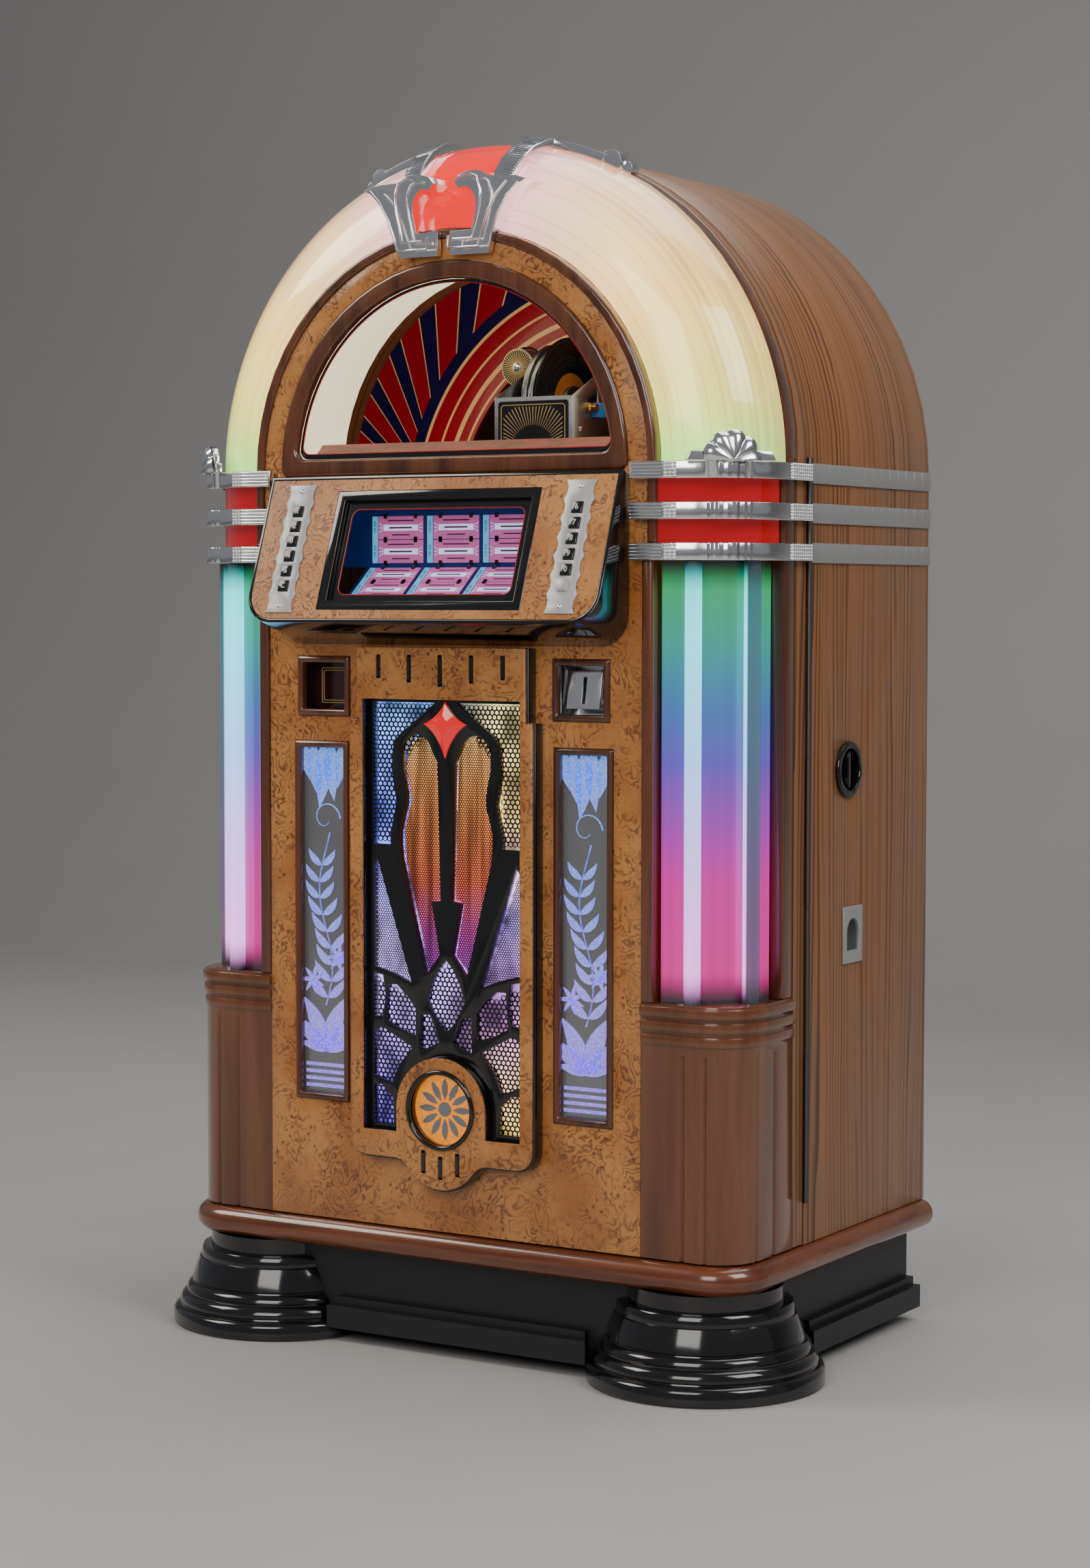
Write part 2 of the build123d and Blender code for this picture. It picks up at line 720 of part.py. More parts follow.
# Chrome bands: a fluted bulge on the corner, and a scallop shell on the top one
band_outer_radius = band_inner_radius + band_thickness
bulge_radius = 44.0
bulge_proud = 9.0
bulge_ring = band_outer_radius - bulge_radius + bulge_proud
bulge_flutes = 7
bulge_pitch = 14.0
flute_depth = 2.2
shell_radius = 35.0
shell_notch = 3.0
shell_lobes = 7
shell_thickness = 8.0
leaf_reach = 20.0
leaf_height = 11.0
corner_x = column_x + band_outer_radius * sin(pi / 4)
corner_y = panel_y + column_centre_depth - band_outer_radius * cos(pi / 4)
column_centre = (column_x, panel_y + column_centre_depth)
with BuildPart() as right_bands:
    bulge_x = column_x + bulge_ring * sin(pi / 4)
    bulge_y = panel_y + column_centre_depth - bulge_ring * cos(pi / 4)
    fluting = [(bulge_x, bulge_y)]
    for n in range(2 * bulge_flutes + 1):
        radius = bulge_radius - flute_depth * (n % 2)
        fluting += chords(bulge_x, bulge_y, radius, -45 + (n / 2 - bulge_flutes / 2) * bulge_pitch, 0, 1)[:1]
    for row in range(3):
        with BuildSketch(level(band_low_z + row * band_pitch)):
            add(band_plan(band_inner_radius, band_outer_radius))
            Polygon(*fluting, align=None)
            inside = chords(*column_centre, band_inner_radius, -90, 0, band_facets)
            Polygon(column_centre, *inside, align=None, mode=Mode.SUBTRACT)
        extrude(amount=band_height)
    top_z = band_low_z + 2 * band_pitch + band_height
    shell_plane = Plane(
        origin=(corner_x, corner_y, top_z),
        x_dir=(cos(pi / 4), sin(pi / 4), 0),
        z_dir=(sin(pi / 4), -cos(pi / 4), 0),
    )
    scallops = []
    for n in range(2, 2 * shell_lobes - 1):
        radius = shell_radius - shell_notch * ((n + 1) % 2)
        scallops += chords(0, 0, radius, 180 * n / (2 * shell_lobes), 0, 1)[:1]
    shell_foot = shell_radius + leaf_reach
    with BuildSketch(shell_plane.offset(-shell_thickness / 2)):
        Polygon(
            (-shell_foot, 0), (shell_foot, 0), (shell_foot - leaf_height / 2, leaf_height),
            (shell_radius, leaf_height), *scallops, (-shell_radius, leaf_height),
            (-shell_foot + leaf_height / 2, leaf_height), align=None,
        )
    extrude(amount=shell_thickness)
with BuildPart() as chrome_bands:
    add(right_bands.part)
    mirror(about=Plane.YZ)
chrome_bands.part.label = "chrome_bands"
export_step(chrome_bands.part, "parts/chrome_bands.step")

# Column bases: faceted wooden blocks with rounded corners and ring mouldings under the top
base_left_x = panel_half + seat_gap
base_facets = 7
facet_depth = 4.0
facet_places = (328.0, 358.0)
side_facet_depths = (48.5, 92.5)
facet_top_gap = 60.0
ring_rows = 3
ring_pitch = 17.0
ring_height = 11.0
ring_top_gap = 3.0
ring_step = 1.5


def column_base_plan(grow):
    """Plan of the right column base, grown outwards at the front and side."""
    corner = half_width - column_base_corner, panel_y + column_base_corner
    rounded = chords(*corner, column_base_corner + grow, -90, 0, base_facets)
    rear_y = panel_y + ring_front_depth - seat_gap
    with BuildSketch() as plan:
        Polygon(
            (base_left_x, panel_y - grow), *rounded, (half_width + grow, rear_y), (base_left_x, rear_y), align=None
        )
    return plan.sketch


with BuildPart() as right_base:
    with BuildSketch(level(door_bottom_z)):
        add(column_base_plan(0))
    extrude(amount=column_base_top_z - door_bottom_z)
    for row in range(ring_rows):
        with BuildSketch(level(column_base_top_z - ring_height - ring_top_gap - row * ring_pitch)):
            add(column_base_plan(column_base_ring - ring_step * row))
        extrude(amount=ring_height)
    with BuildSketch(level(door_bottom_z)):
        grooves = [(x, panel_y) for x in facet_places]
        grooves += [(half_width, panel_y + depth) for depth in side_facet_depths]
        for place in grooves:
            with Locations(place):
                RegularPolygon(facet_depth, 4)
    extrude(amount=column_base_top_z - door_bottom_z - facet_top_gap, mode=Mode.SUBTRACT)
with BuildPart() as column_bases:
    add(right_base.part)
    mirror(about=Plane.YZ)
column_bases.part.label = "column_bases"
export_step(column_bases.part, "parts/column_bases.step")

# Crest castings: stepped foot, curl and leaf on the front, a ribbed strap over the lens, a bulb and scroll
crest_thickness = 8.0
crest_root = 40.0
strap_proud = 12.0
strap_angle = 4.2
shoulder_end_angle = 23.0
shoulder_proud = 10.0
shoulder_sunk = 4.0
shoulder_front = lens_back_depth - 14
shoulder_rear = ring_front_depth - 4
ornaments = ((1.4, 15.0), (4.2, 9.0))
ornament_facets = 12
crest_outline = (
    (40, 1391), (9, 1391), (9, 1362), (65, 1362), (70, 1384), (79, 1408), (92, 1430), (104, 1441), (117, 1447),
    (103, 1452), (88, 1453), (66, 1454), (50, 1462), (36, 1462), (22, 1458), (15, 1450), (21, 1442), (31, 1444),
    (39, 1440), (45, 1430), (46, 1416),
)
with BuildPart() as lens_room:
    add(lens_section(-seat_gap))
    revolve(axis=arch_axis, revolution_arc=90)
with BuildPart() as strap:
    add(lens_section(-strap_proud))
    revolve(axis=arch_axis, revolution_arc=strap_angle)
    add(lens_section(-seat_gap))
    revolve(axis=arch_axis, revolution_arc=strap_angle, mode=Mode.SUBTRACT)
shoulder_radius = half_width + seat_gap + crest_gap
with BuildPart() as shoulder:
    with BuildSketch(side(0)):
        with Locations((panel_y + shoulder_front, arch_centre_z + half_width - shoulder_sunk)):
            Rectangle(
                shoulder_rear - shoulder_front, shoulder_proud + shoulder_sunk, align=(Align.MIN, Align.MIN)
            )
    revolve(axis=arch_axis, revolution_arc=shoulder_end_angle - crest_half_angle)
with BuildPart() as right_crest:
    with BuildSketch(front(-moulding_proud - seat_gap)):
        Polygon(*crest_outline, align=None)
    extrude(amount=crest_thickness)
    with BuildSketch(front(-moulding_proud - seat_gap)):
        Polygon(*crest_outline, align=None)
        with Locations((0, arch_centre_z)):
            Circle(lens_inner_radius + seat_gap, mode=Mode.SUBTRACT)
    extrude(amount=-crest_root)
    add(strap.part.rotate(arch_axis, crest_half_angle))
    add(shoulder.part.rotate(arch_axis, crest_half_angle))
    for beyond, radius in ornaments:
        turn = radians(shoulder_end_angle + beyond)
        with BuildSketch(front((shoulder_front + shoulder_rear) / 2 + radius)):
            with Locations(
                ((half_width + shoulder_sunk) * sin(turn), arch_centre_z + (half_width + shoulder_sunk) * cos(turn))
            ):
                RegularPolygon(radius, ornament_facets)
        extrude(amount=2 * radius)
    add(lens_room.part, mode=Mode.SUBTRACT)
    with BuildSketch(front(shoulder_front - 1)):
        with Locations((0, arch_centre_z)):
            Circle(shoulder_radius)
    extrude(amount=-2 * half_width, mode=Mode.SUBTRACT)
with BuildPart() as crest_castings:
    add(right_crest.part)
    mirror(about=Plane.YZ)
crest_castings.part.label = "crest_castings"
export_step(crest_castings.part, "parts/crest_castings.step")


def selector_outline(inset):
    """Face of the selector with its round lower corners, on the sloping plane."""
    half = selector_half_width - inset
    top = selector_length / 2 - inset
    corner = selector_corner - inset
    right = [*chords(half - corner, corner - top, corner, -90, 0, corner_facets), (half, top)]
    with BuildSketch() as outline:
        Polygon(*right, *[(-x, z) for x, z in reversed(right)], align=None)
    return outline.sketch


def title_window(grow):
    """Rectangle of the title window's frame, grown outwards."""
    with BuildSketch() as outline:
        with Locations((0, (title_window_low + title_window_high) / 2)):
            Rectangle(2 * (title_window_half + grow), title_window_high - title_window_low + 2 * grow)
    return outline.sketch


key_names = {
    (-1, 0): "1", (-1, 1): "2", (-1, 2): "3", (-1, 3): "4", (-1, 4): "5", (-1, 5): "c",
    (1, 0): "6", (1, 1): "7", (1, 2): "8", (1, 3): "9", (1, 4): "0",
}


def key_place(column, row):
    """Centre of a key on the sloping plane."""
    return (column * key_column_x, ((key_rows - 1) / 2 - row) * key_pitch)


# Selector casing: a gloss box pulled square off the sloping face and cut flush with the front board
casing_pull = 2 * selector_bottom_reach
with BuildPart() as selector_casing:
    with BuildSketch(selector_plane()):
        add(selector_outline(0))
    extrude(amount=-casing_pull)
    with BuildSketch(selector_plane(-selector_wall)):
        add(selector_outline(selector_wall))
    extrude(amount=-casing_pull, mode=Mode.SUBTRACT)
    with BuildSketch(selector_plane()):
        add(selector_outline(selector_rim))
        add(title_window(0), mode=Mode.SUBTRACT)
    extrude(amount=-veneer, mode=Mode.SUBTRACT)
    with BuildSketch(selector_plane()):
        add(title_window(-title_frame))
        for column, row in key_names:
            with Locations(key_place(column, row)):
                Rectangle(key_size + 2 * key_clearance, key_size + 2 * key_clearance)
    extrude(amount=-selector_wall, mode=Mode.SUBTRACT)
    with BuildSketch(front(casing_pull)):
        with Locations((0, selector_bottom_z)):
            Rectangle(4 * selector_half_width, 4 * selector_length)
    extrude(amount=casing_pull, mode=Mode.SUBTRACT)
selector_casing.part.label = "selector_casing"
export_step(selector_casing.part, "parts/selector_casing.step")

with BuildPart() as selector_face:
    with BuildSketch(selector_plane(-veneer)):
        add(selector_outline(selector_rim + 0.1))
        add(title_window(0.1), mode=Mode.SUBTRACT)
        for column, row in key_names:
            with Locations(key_place(column, row)):
                Rectangle(key_size + 2 * key_clearance, key_size + 2 * key_clearance, mode=Mode.SUBTRACT)
    extrude(amount=veneer)
selector_face.part.label = "selector_face"
export_step(selector_face.part, "parts/selector_face.step")

with BuildPart() as selector_glass:
    with BuildSketch(selector_plane(-selector_wall)):
        add(title_window(-title_frame / 2))
    extrude(amount=-glass)
selector_glass.part.label = "selector_glass"
export_step(selector_glass.part, "parts/selector_glass.step")

# Title rack: an upright row of card holders and a tilted row in front of it
rack_sheet = 2.0
rack_bend_z = 985.0
rack_half_width = 132.0
rack_front_reach = 44.0
rack_front_z = 938.0
with BuildPart() as title_rack:
    with BuildSketch(front(board + rack_sheet)):
        with Locations((0, rack_bend_z)):
            Rectangle(
                2 * selector_opening_half + 20,
                selector_opening_high_z - rack_bend_z + 10,
                align=(Align.CENTER, Align.MIN),
            )
    extrude(amount=rack_sheet)
    with BuildSketch(side(-rack_half_width)):
        Polygon(
            (panel_y + board + rack_sheet, rack_bend_z + 2),
            (panel_y - rack_front_reach, rack_front_z),
            (panel_y - rack_front_reach, rack_front_z - rack_sheet),
            (panel_y + board + rack_sheet, rack_bend_z - rack_sheet),
            align=None,
        )
    extrude(amount=2 * rack_half_width)
title_rack.part.label = "title_rack"
export_step(title_rack.part, "parts/title_rack.step")

# Scalloped key plates, with a blank in place of the twelfth key
scallops_per_side = 7
scallop_facets = 3
with BuildPart() as key_plates:
    with BuildSketch(selector_plane()):
        for column in (-1, 1):
            edge = []
            for half, turn in ((1, 1), (-1, -1)):
                for n in range(scallops_per_side):
                    for k in range(scallop_facets):
                        share = k / scallop_facets
                        bite = key_scallop * sin(pi * share)
                        run = key_plate_length * ((n + share) / scallops_per_side - 0.5)
                        edge.append((column * key_column_x + half * (key_plate_width / 2 - bite), turn * run))
                edge.append((column * key_column_x + half * key_plate_width / 2, turn * key_plate_length / 2))
            Polygon(*edge, align=None)
        for column, row in key_names:
            with Locations(key_place(column, row)):
                Rectangle(key_size + 2 * key_clearance, key_size + 2 * key_clearance, mode=Mode.SUBTRACT)
    extrude(amount=key_plate_thickness)
    with BuildSketch(selector_plane(key_plate_thickness)):
        with Locations(key_place(1, key_rows - 1)):
            Rectangle(key_size, key_size)
    extrude(amount=key_proud - key_plate_thickness)
key_plates.part.label = "key_plates"
export_step(key_plates.part, "parts/key_plates.step")

# Eleven keys, each a square plunger
key_length = 14.0
for (column, row), key_name in key_names.items():
    with BuildPart() as key:
        with BuildSketch(selector_plane(-key_length)):
            with Locations(key_place(column, row)):
                Rectangle(key_size, key_size)
        extrude(amount=key_length + key_proud)
    key.part.label = f"key_{key_name}"
    export_step(key.part, f"parts/key_{key_name}.step")


def centre_outline(inset):
    """Outline of the raised centre panel: shoulders, round corners and the round drop at its foot."""
    low_z = centre_bottom_z + inset
    radius = centre_bulge_radius - inset
    corner = centre_corner - inset
    low_x = centre_half_low - inset
    neck_z = low_z - centre_corner
    neck_x = sqrt((radius + centre_corner) ** 2 - (centre_bulge_z - neck_z) ** 2)
    neck_turn = degrees(atan2(neck_z - centre_bulge_z, neck_x))
    right = [
        *chords(0, centre_bulge_z, radius, -90, neck_turn, corner_facets),
        *chords(neck_x, neck_z, centre_corner, 180 + neck_turn, 90, corner_facets),
        *chords(low_x - corner, low_z + corner, corner, -90, 0, corner_facets),
        (low_x, centre_step_z), (centre_half_top - inset, centre_step_z), (centre_half_top - inset, centre_top_z),
    ]
    left = [(-x, z) for x, z in reversed(right[1:])]
    with BuildSketch() as outline:
        Polygon(*right, *left, align=None)
    return outline.sketch


def grille_opening(inset):
    """Tall opening of the grille, less the round-topped collar that stands in its foot."""
    with BuildSketch() as outline:
        with Locations((0, (grille_bottom_z + grille_top_z) / 2)):
            Rectangle(2 * (grille_half - inset), grille_top_z - grille_bottom_z - 2 * inset)
        with Locations((0, collar_z)):
            RegularPolygon(collar_radius + inset, collar_facets, mode=Mode.SUBTRACT)
            Rectangle(
                2 * (collar_radius + inset),
                collar_z,
                align=(Align.CENTER, Align.MAX),
                mode=Mode.SUBTRACT,
            )
    return outline.sketch


medallion_ring = 5.0
medallion_thickness = 3.0
medallion_seat = 10.0
medallion_gap = 0.2
medallion_facets = 32
with BuildPart() as centre_backer:
    with BuildSketch(front(0)):
        add(centre_outline(0))
        add(grille_opening(0), mode=Mode.SUBTRACT)
        with Locations((0, collar_z)):
            RegularPolygon(medallion_radius - medallion_ring, medallion_facets, mode=Mode.SUBTRACT)
    extrude(amount=backer)
    with BuildSketch(front(0)):
        with Locations((0, collar_z)):
            RegularPolygon(medallion_radius - medallion_ring / 2, medallion_facets)
    extrude(amount=medallion_seat, mode=Mode.SUBTRACT)
centre_backer.part.label = "centre_backer"
export_step(centre_backer.part, "parts/centre_backer.step")

edge_margin = 2.5
top_slot_pitch = 45.5
top_slot_high_z = 877.0
top_slot_length = 39.0
top_slot_fall = 4.7
foot_slot_pitch = 25.0
foot_slot_z = 244.0
foot_slot_rise = 6.0
foot_slot_length = 29.0
with BuildPart() as centre_veneer:
    with BuildSketch(front(-backer)):
        add(centre_outline(edge_margin))
        add(grille_opening(0), mode=Mode.SUBTRACT)
        with Locations((0, collar_z)):
            RegularPolygon(medallion_radius, medallion_facets, mode=Mode.SUBTRACT)
        for n in range(-2, 3):
            length = top_slot_length - top_slot_fall * abs(n)
            with Locations((n * top_slot_pitch, top_slot_high_z - length / 2)):
                Rectangle(slot_width, length, mode=Mode.SUBTRACT)
        for n in range(-1, 2):
            with Locations((n * foot_slot_pitch, foot_slot_z + foot_slot_rise * abs(n))):
                Rectangle(slot_width, foot_slot_length, mode=Mode.SUBTRACT)
    extrude(amount=centre_board)
centre_veneer.part.label = "centre_veneer"
export_step(centre_veneer.part, "parts/centre_veneer.step")


tracery_edge = grille_half - 8
tracery_outlines = (
    (
        (16, 818), (tracery_edge, 818), (tracery_edge, 641), (82, 641), (82.5, 655), (78, 672), (73.5, 695),
        (77, 714), (80, 735), (79.5, 754), (77, 769), (66, 781), (54, 789), (42, 798),
    ),
    (
        (65, 757), (65, 735), (61.5, 721), (58.5, 704), (59, 690), (64, 674), (68, 658), (68, 640), (66, 622),
        (30, 480), (9, 507), (21.5, 572), (8, 574), (12.5, 745), (20, 757), (25, 769), (34, 776.5), (42.5, 778.5),
        (51, 776.5), (60, 769),
    ),
    ((101, 620), (tracery_edge, 612), (tracery_edge, 487.5), (78, 480), (51, 469.5)),
    ((94, 477), (tracery_edge, 479), (tracery_edge, 424), (95, 426), (90, 450)),
    ((45, 438), (58, 453), (73, 466), (87, 466), (90, 421), (70, 411), (45, 404)),
    ((24, 431), (37, 431), (38, 387), (25, 391), (9, 399)),
    ((50, 389), (96, 412), (tracery_edge, 406), (tracery_edge, 351), (90, 344), (80, 343), (70, 366)),
    ((79, 324), (95, 339), (tracery_edge, 339), (tracery_edge, 291), (78, 291)),
)
leaf_window = ((0, 501), (11, 489), (20, 472), (28, 450), (21, 435), (11, 421), (0, 411))


def tracery_windows():
    """Openings of the right half of the tracery, as faces; the left half mirrors them."""
    with BuildSketch() as windows:
        for corners in tracery_outlines:
            Polygon(*corners, align=None)
    return windows.sketch


# Tracery of the grille, cut from one board
with BuildPart() as grille_tracery:
    with BuildSketch(front(0)):
        add(grille_opening(0.2))
        windows = tracery_windows()
        add(windows, mode=Mode.SUBTRACT)
        add(mirror(windows, about=Plane.YZ, mode=Mode.PRIVATE), mode=Mode.SUBTRACT)
        leaf_left = [(-x, z) for x, z in reversed(leaf_window[1:-1])]
        Polygon(*leaf_window, *leaf_left, align=None, mode=Mode.SUBTRACT)
    extrude(amount=tracery_thickness)
grille_tracery.part.label = "grille_tracery"
export_step(grille_tracery.part, "parts/grille_tracery.step")

with BuildPart() as grille_mesh:
    with BuildSketch(front(mesh)):
        with Locations((0, (grille_bottom_z + grille_top_z) / 2)):
            Rectangle(mesh_width - 2 * seat_gap, mesh_height - 2 * seat_gap)
    extrude(amount=mesh)
grille_mesh.part.label = "grille_mesh"
export_step(grille_mesh.part, "parts/grille_mesh.step")

# Red four-pointed jewel on the head of the tracery
star_z = 792.0
star_half_width = 31.0
star_rise = 27.0
star_drop = 42.0
star_waist = 10.0
star_low_waist = 15.0
star_thickness = 4.0
with BuildPart() as star_jewel:
    with BuildSketch(front(-tracery_thickness)):
        upper = [
            (star_half_width, star_z), (star_half_width * 0.58, star_z + star_waist * 0.4),
            (star_waist, star_z + star_waist), (star_waist * 0.38, star_z + star_rise * 0.62),
            (0, star_z + star_rise),
        ]
        lower = [
            (0, star_z - star_drop), (star_waist * 0.42, star_z - star_drop * 0.66),
            (star_waist, star_z - star_low_waist), (star_half_width * 0.6, star_z - star_low_waist * 0.4),
        ]
        left = [(-x, z) for x, z in reversed(upper[:-1])] + [(-x, z) for x, z in reversed(lower[1:])]
        Polygon(*upper, *left, *lower, align=None)
    extrude(amount=star_thickness)
star_jewel.part.label = "star_jewel"
export_step(star_jewel.part, "parts/star_jewel.step")

with BuildPart() as medallion:
    with BuildSketch(front(-medallion_seat)):
        with Locations((0, collar_z)):
            RegularPolygon(medallion_radius - medallion_ring / 2 - medallion_gap, medallion_facets)
    extrude(amount=-medallion_thickness)
medallion.part.label = "medallion"
export_step(medallion.part, "parts/medallion.step")

# Loudspeaker on its baffle behind the grille
speaker_z = 470.0
speaker_radius = 100.0
baffle = 12.0
speaker_depth = 58.0
speaker_facets = 20
magnet_radius = 48.0
magnet_depth = 22.0
cone_lip = 8.0
cone_wall = 5.0
with BuildPart() as woofer:
    with BuildSketch(front(board + baffle)):
        with Locations((0, speaker_z)):
            Rectangle(2 * (grille_half + seat_gap) + baffle, 2 * (speaker_radius + baffle))
            RegularPolygon(speaker_radius - cone_lip, speaker_facets, mode=Mode.SUBTRACT)
    extrude(amount=baffle)
    cone_rear_depth = board + baffle + speaker_depth - magnet_depth
    for radius, rear_depth, rear_radius, mode in (
        (speaker_radius, cone_rear_depth, magnet_radius, Mode.ADD),
        (speaker_radius - cone_lip, cone_rear_depth - cone_wall, magnet_radius / 2, Mode.SUBTRACT),
    ):
        cone_length = rear_depth - board - baffle
        flare = degrees(atan2((radius - rear_radius) * cos(pi / speaker_facets), cone_length))
        with BuildSketch(front(rear_depth)):
            with Locations((0, speaker_z)):
                RegularPolygon(rear_radius, speaker_facets)
        extrude(amount=cone_length, taper=-flare, mode=mode)
    with BuildSketch(front(cone_rear_depth + magnet_depth)):
        with Locations((0, speaker_z)):
            RegularPolygon(magnet_radius, speaker_facets)
    extrude(amount=magnet_depth)
woofer.part.label = "woofer"
export_step(woofer.part, "parts/woofer.step")

# Mirrors behind their mouldings
with BuildPart() as mirror_panels:
    with BuildSketch(front(board / 2 + glass)):
        with Locations((-mirror_mid_x, mirror_mid_z), (mirror_mid_x, mirror_mid_z)):
            Rectangle(mirror_width - 2 * seat_gap, mirror_height - 2 * seat_gap)
    extrude(amount=glass)
mirror_panels.part.label = "mirror_panels"
export_step(mirror_panels.part, "parts/mirror_panels.step")

# Recess trays: the credit window on the left, the coin entry on the right
tray_depth = 26.0
tray_wall = 2.0
tray_gap = 1.0
tray_width = recess_width - 2 * tray_gap
tray_height = recess_height - 2 * tray_gap
with BuildPart() as credit_display:
    with BuildSketch(front(board / 2 + tray_depth)):
        with Locations((-recess_mid_x, recess_mid_z)):
            Rectangle(tray_width, tray_height)
    extrude(amount=tray_depth)
    with BuildSketch(front(board / 2 + tray_depth - tray_wall)):
        with Locations((-recess_mid_x, recess_mid_z)):
            Rectangle(tray_width - 2 * tray_wall, tray_height - 2 * tray_wall)
    extrude(amount=tray_depth, mode=Mode.SUBTRACT)
credit_display.part.label = "credit_display"
export_step(credit_display.part, "parts/credit_display.step")

coin_plate_size = 46.0
coin_plate_thickness = 4.0
coin_plate_tilt = 10.0
coin_plate_depth = 12.0
coin_slot_width = 5.0
coin_slot_height = 32.0
chute_width = 32.0
chute_height = 38.0
with BuildPart() as coin_entry:
    with BuildSketch(front(board / 2 + tray_depth)):
        with Locations((recess_mid_x, recess_mid_z)):
            Rectangle(tray_width, tray_height)
    extrude(amount=tray_depth)
    with BuildSketch(front(board / 2 + tray_depth - tray_wall)):
        with Locations((recess_mid_x, recess_mid_z)):
            Rectangle(tray_width - 2 * tray_wall, tray_height - 2 * tray_wall)
    extrude(amount=tray_depth, mode=Mode.SUBTRACT)
    coin_plane = Plane(
        origin=(recess_mid_x, panel_y + coin_plate_depth, recess_mid_z),
        x_dir=(1, 0, 0),
        z_dir=(0, -cos(radians(coin_plate_tilt)), sin(radians(coin_plate_tilt))),
    )
    with BuildSketch(coin_plane):
        Rectangle(coin_plate_size, coin_plate_size)
    extrude(amount=coin_plate_thickness)
    with BuildSketch(coin_plane):
        Rectangle(chute_width, chute_height)
    extrude(amount=-(tray_depth - 3 * tray_wall))
    with BuildSketch(front(cabinet_depth)):
        with Locations((recess_mid_x, recess_mid_z)):
            Rectangle(coin_slot_width, coin_slot_height)
    extrude(amount=cabinet_depth + tray_depth, mode=Mode.SUBTRACT)
coin_entry.part.label = "coin_entry"
export_step(coin_entry.part, "parts/coin_entry.step")

# Side lock: a black dished ring in the cabinet's side, and the wing that turns in it
lock_wall = 3.5
lock_dish = 22.0
lock_flange = 5.0
lock_spindle = 8.0
lock_tail = 12.0
wing_length = 44.0
wing_width = 8.0
wing_tip = 5.0
wing_lift = 4.0
wing_proud = 3.0
lock_place = (panel_y + lock_depth, lock_z)
dish_radius = lock_radius - lock_lip - seat_gap
with BuildPart() as lock_bezel:
    for x, radius, thickness in (
        (half_width - lock_dish, dish_radius, lock_dish), (half_width, lock_radius, lock_flange)
    ):
        with BuildSketch(side(x)):
            with Locations(lock_place):
                RegularPolygon(radius, lock_facets)
        extrude(amount=thickness)
    with BuildSketch(side(half_width - lock_dish + lock_wall)):
        with Locations(lock_place):
            RegularPolygon(dish_radius - lock_wall, lock_facets)
    extrude(amount=lock_dish + lock_flange, mode=Mode.SUBTRACT)
    with BuildSketch(side(half_width - 2 * lock_dish)):
        with Locations(lock_place):
            Circle(lock_spindle + bearing_clearance)
    extrude(amount=2 * lock_dish, mode=Mode.SUBTRACT)
lock_bezel.part.label = "lock_bezel"
export_step(lock_bezel.part, "parts/lock_bezel.step")

with BuildPart() as lock_key:
    with BuildSketch(side(half_width - lock_dish - lock_tail)):
        with Locations(lock_place):
            RegularPolygon(lock_spindle, shaft_facets)
    extrude(amount=lock_dish + lock_wall)
    with BuildSketch(side(half_width - lock_dish + lock_wall + wing_lift)):
        with Locations(lock_place):
            half_wing = wing_length / 2
            wing = [(wing_width / 2, half_wing - wing_tip), (wing_tip / 2, half_wing)]
            wing += [(-x, z) for x, z in reversed(wing)]
            Polygon(*wing, *[(-x, -z) for x, z in wing], align=None)
    extrude(amount=lock_dish - lock_wall - wing_lift + wing_proud)
lock_key.part.label = "lock_key"
export_step(lock_key.part, "parts/lock_key.step")

# Coin return: a plate with an arched finger opening and the cup behind it
cup_wall = 2.0
cup_depth = 38.0
return_plate = 3.0
return_opening = 34.0
return_opening_height = 40.0
return_facets = 10
return_place = (panel_y + return_depth, return_z)
cup_width = return_width - 2 * return_lip_y - 2 * seat_gap
cup_height = return_height - 2 * return_lip_z - 2 * seat_gap
with BuildPart() as coin_return:
    with BuildSketch(side(half_width)):
        with Locations(return_place):
            Rectangle(return_width, return_height)
    extrude(amount=return_plate)
    with BuildSketch(side(half_width)):
        with Locations(return_place):
            Rectangle(cup_width, cup_height)
    extrude(amount=-cup_depth)
    with BuildSketch(side(half_width - cup_wall)):
        with Locations(return_place):
            Rectangle(cup_width - 2 * cup_wall, cup_height - 2 * cup_wall)
    extrude(amount=-(cup_depth - 2 * cup_wall), mode=Mode.SUBTRACT)
    with BuildSketch(side(half_width - cup_wall - return_plate)):
        mouth_low = return_z - return_opening_height / 2
        mouth_spring = mouth_low + return_opening_height - return_opening / 2
        mouth_y = panel_y + return_depth
        mouth = chords(mouth_y, mouth_spring, return_opening / 2, 0, 180, return_facets)
        Polygon(
            (mouth_y - return_opening / 2, mouth_low), (mouth_y + return_opening / 2, mouth_low), *mouth, align=None
        )
    extrude(amount=cup_wall + 3 * return_plate, mode=Mode.SUBTRACT)
coin_return.part.label = "coin_return"
export_step(coin_return.part, "parts/coin_return.step")

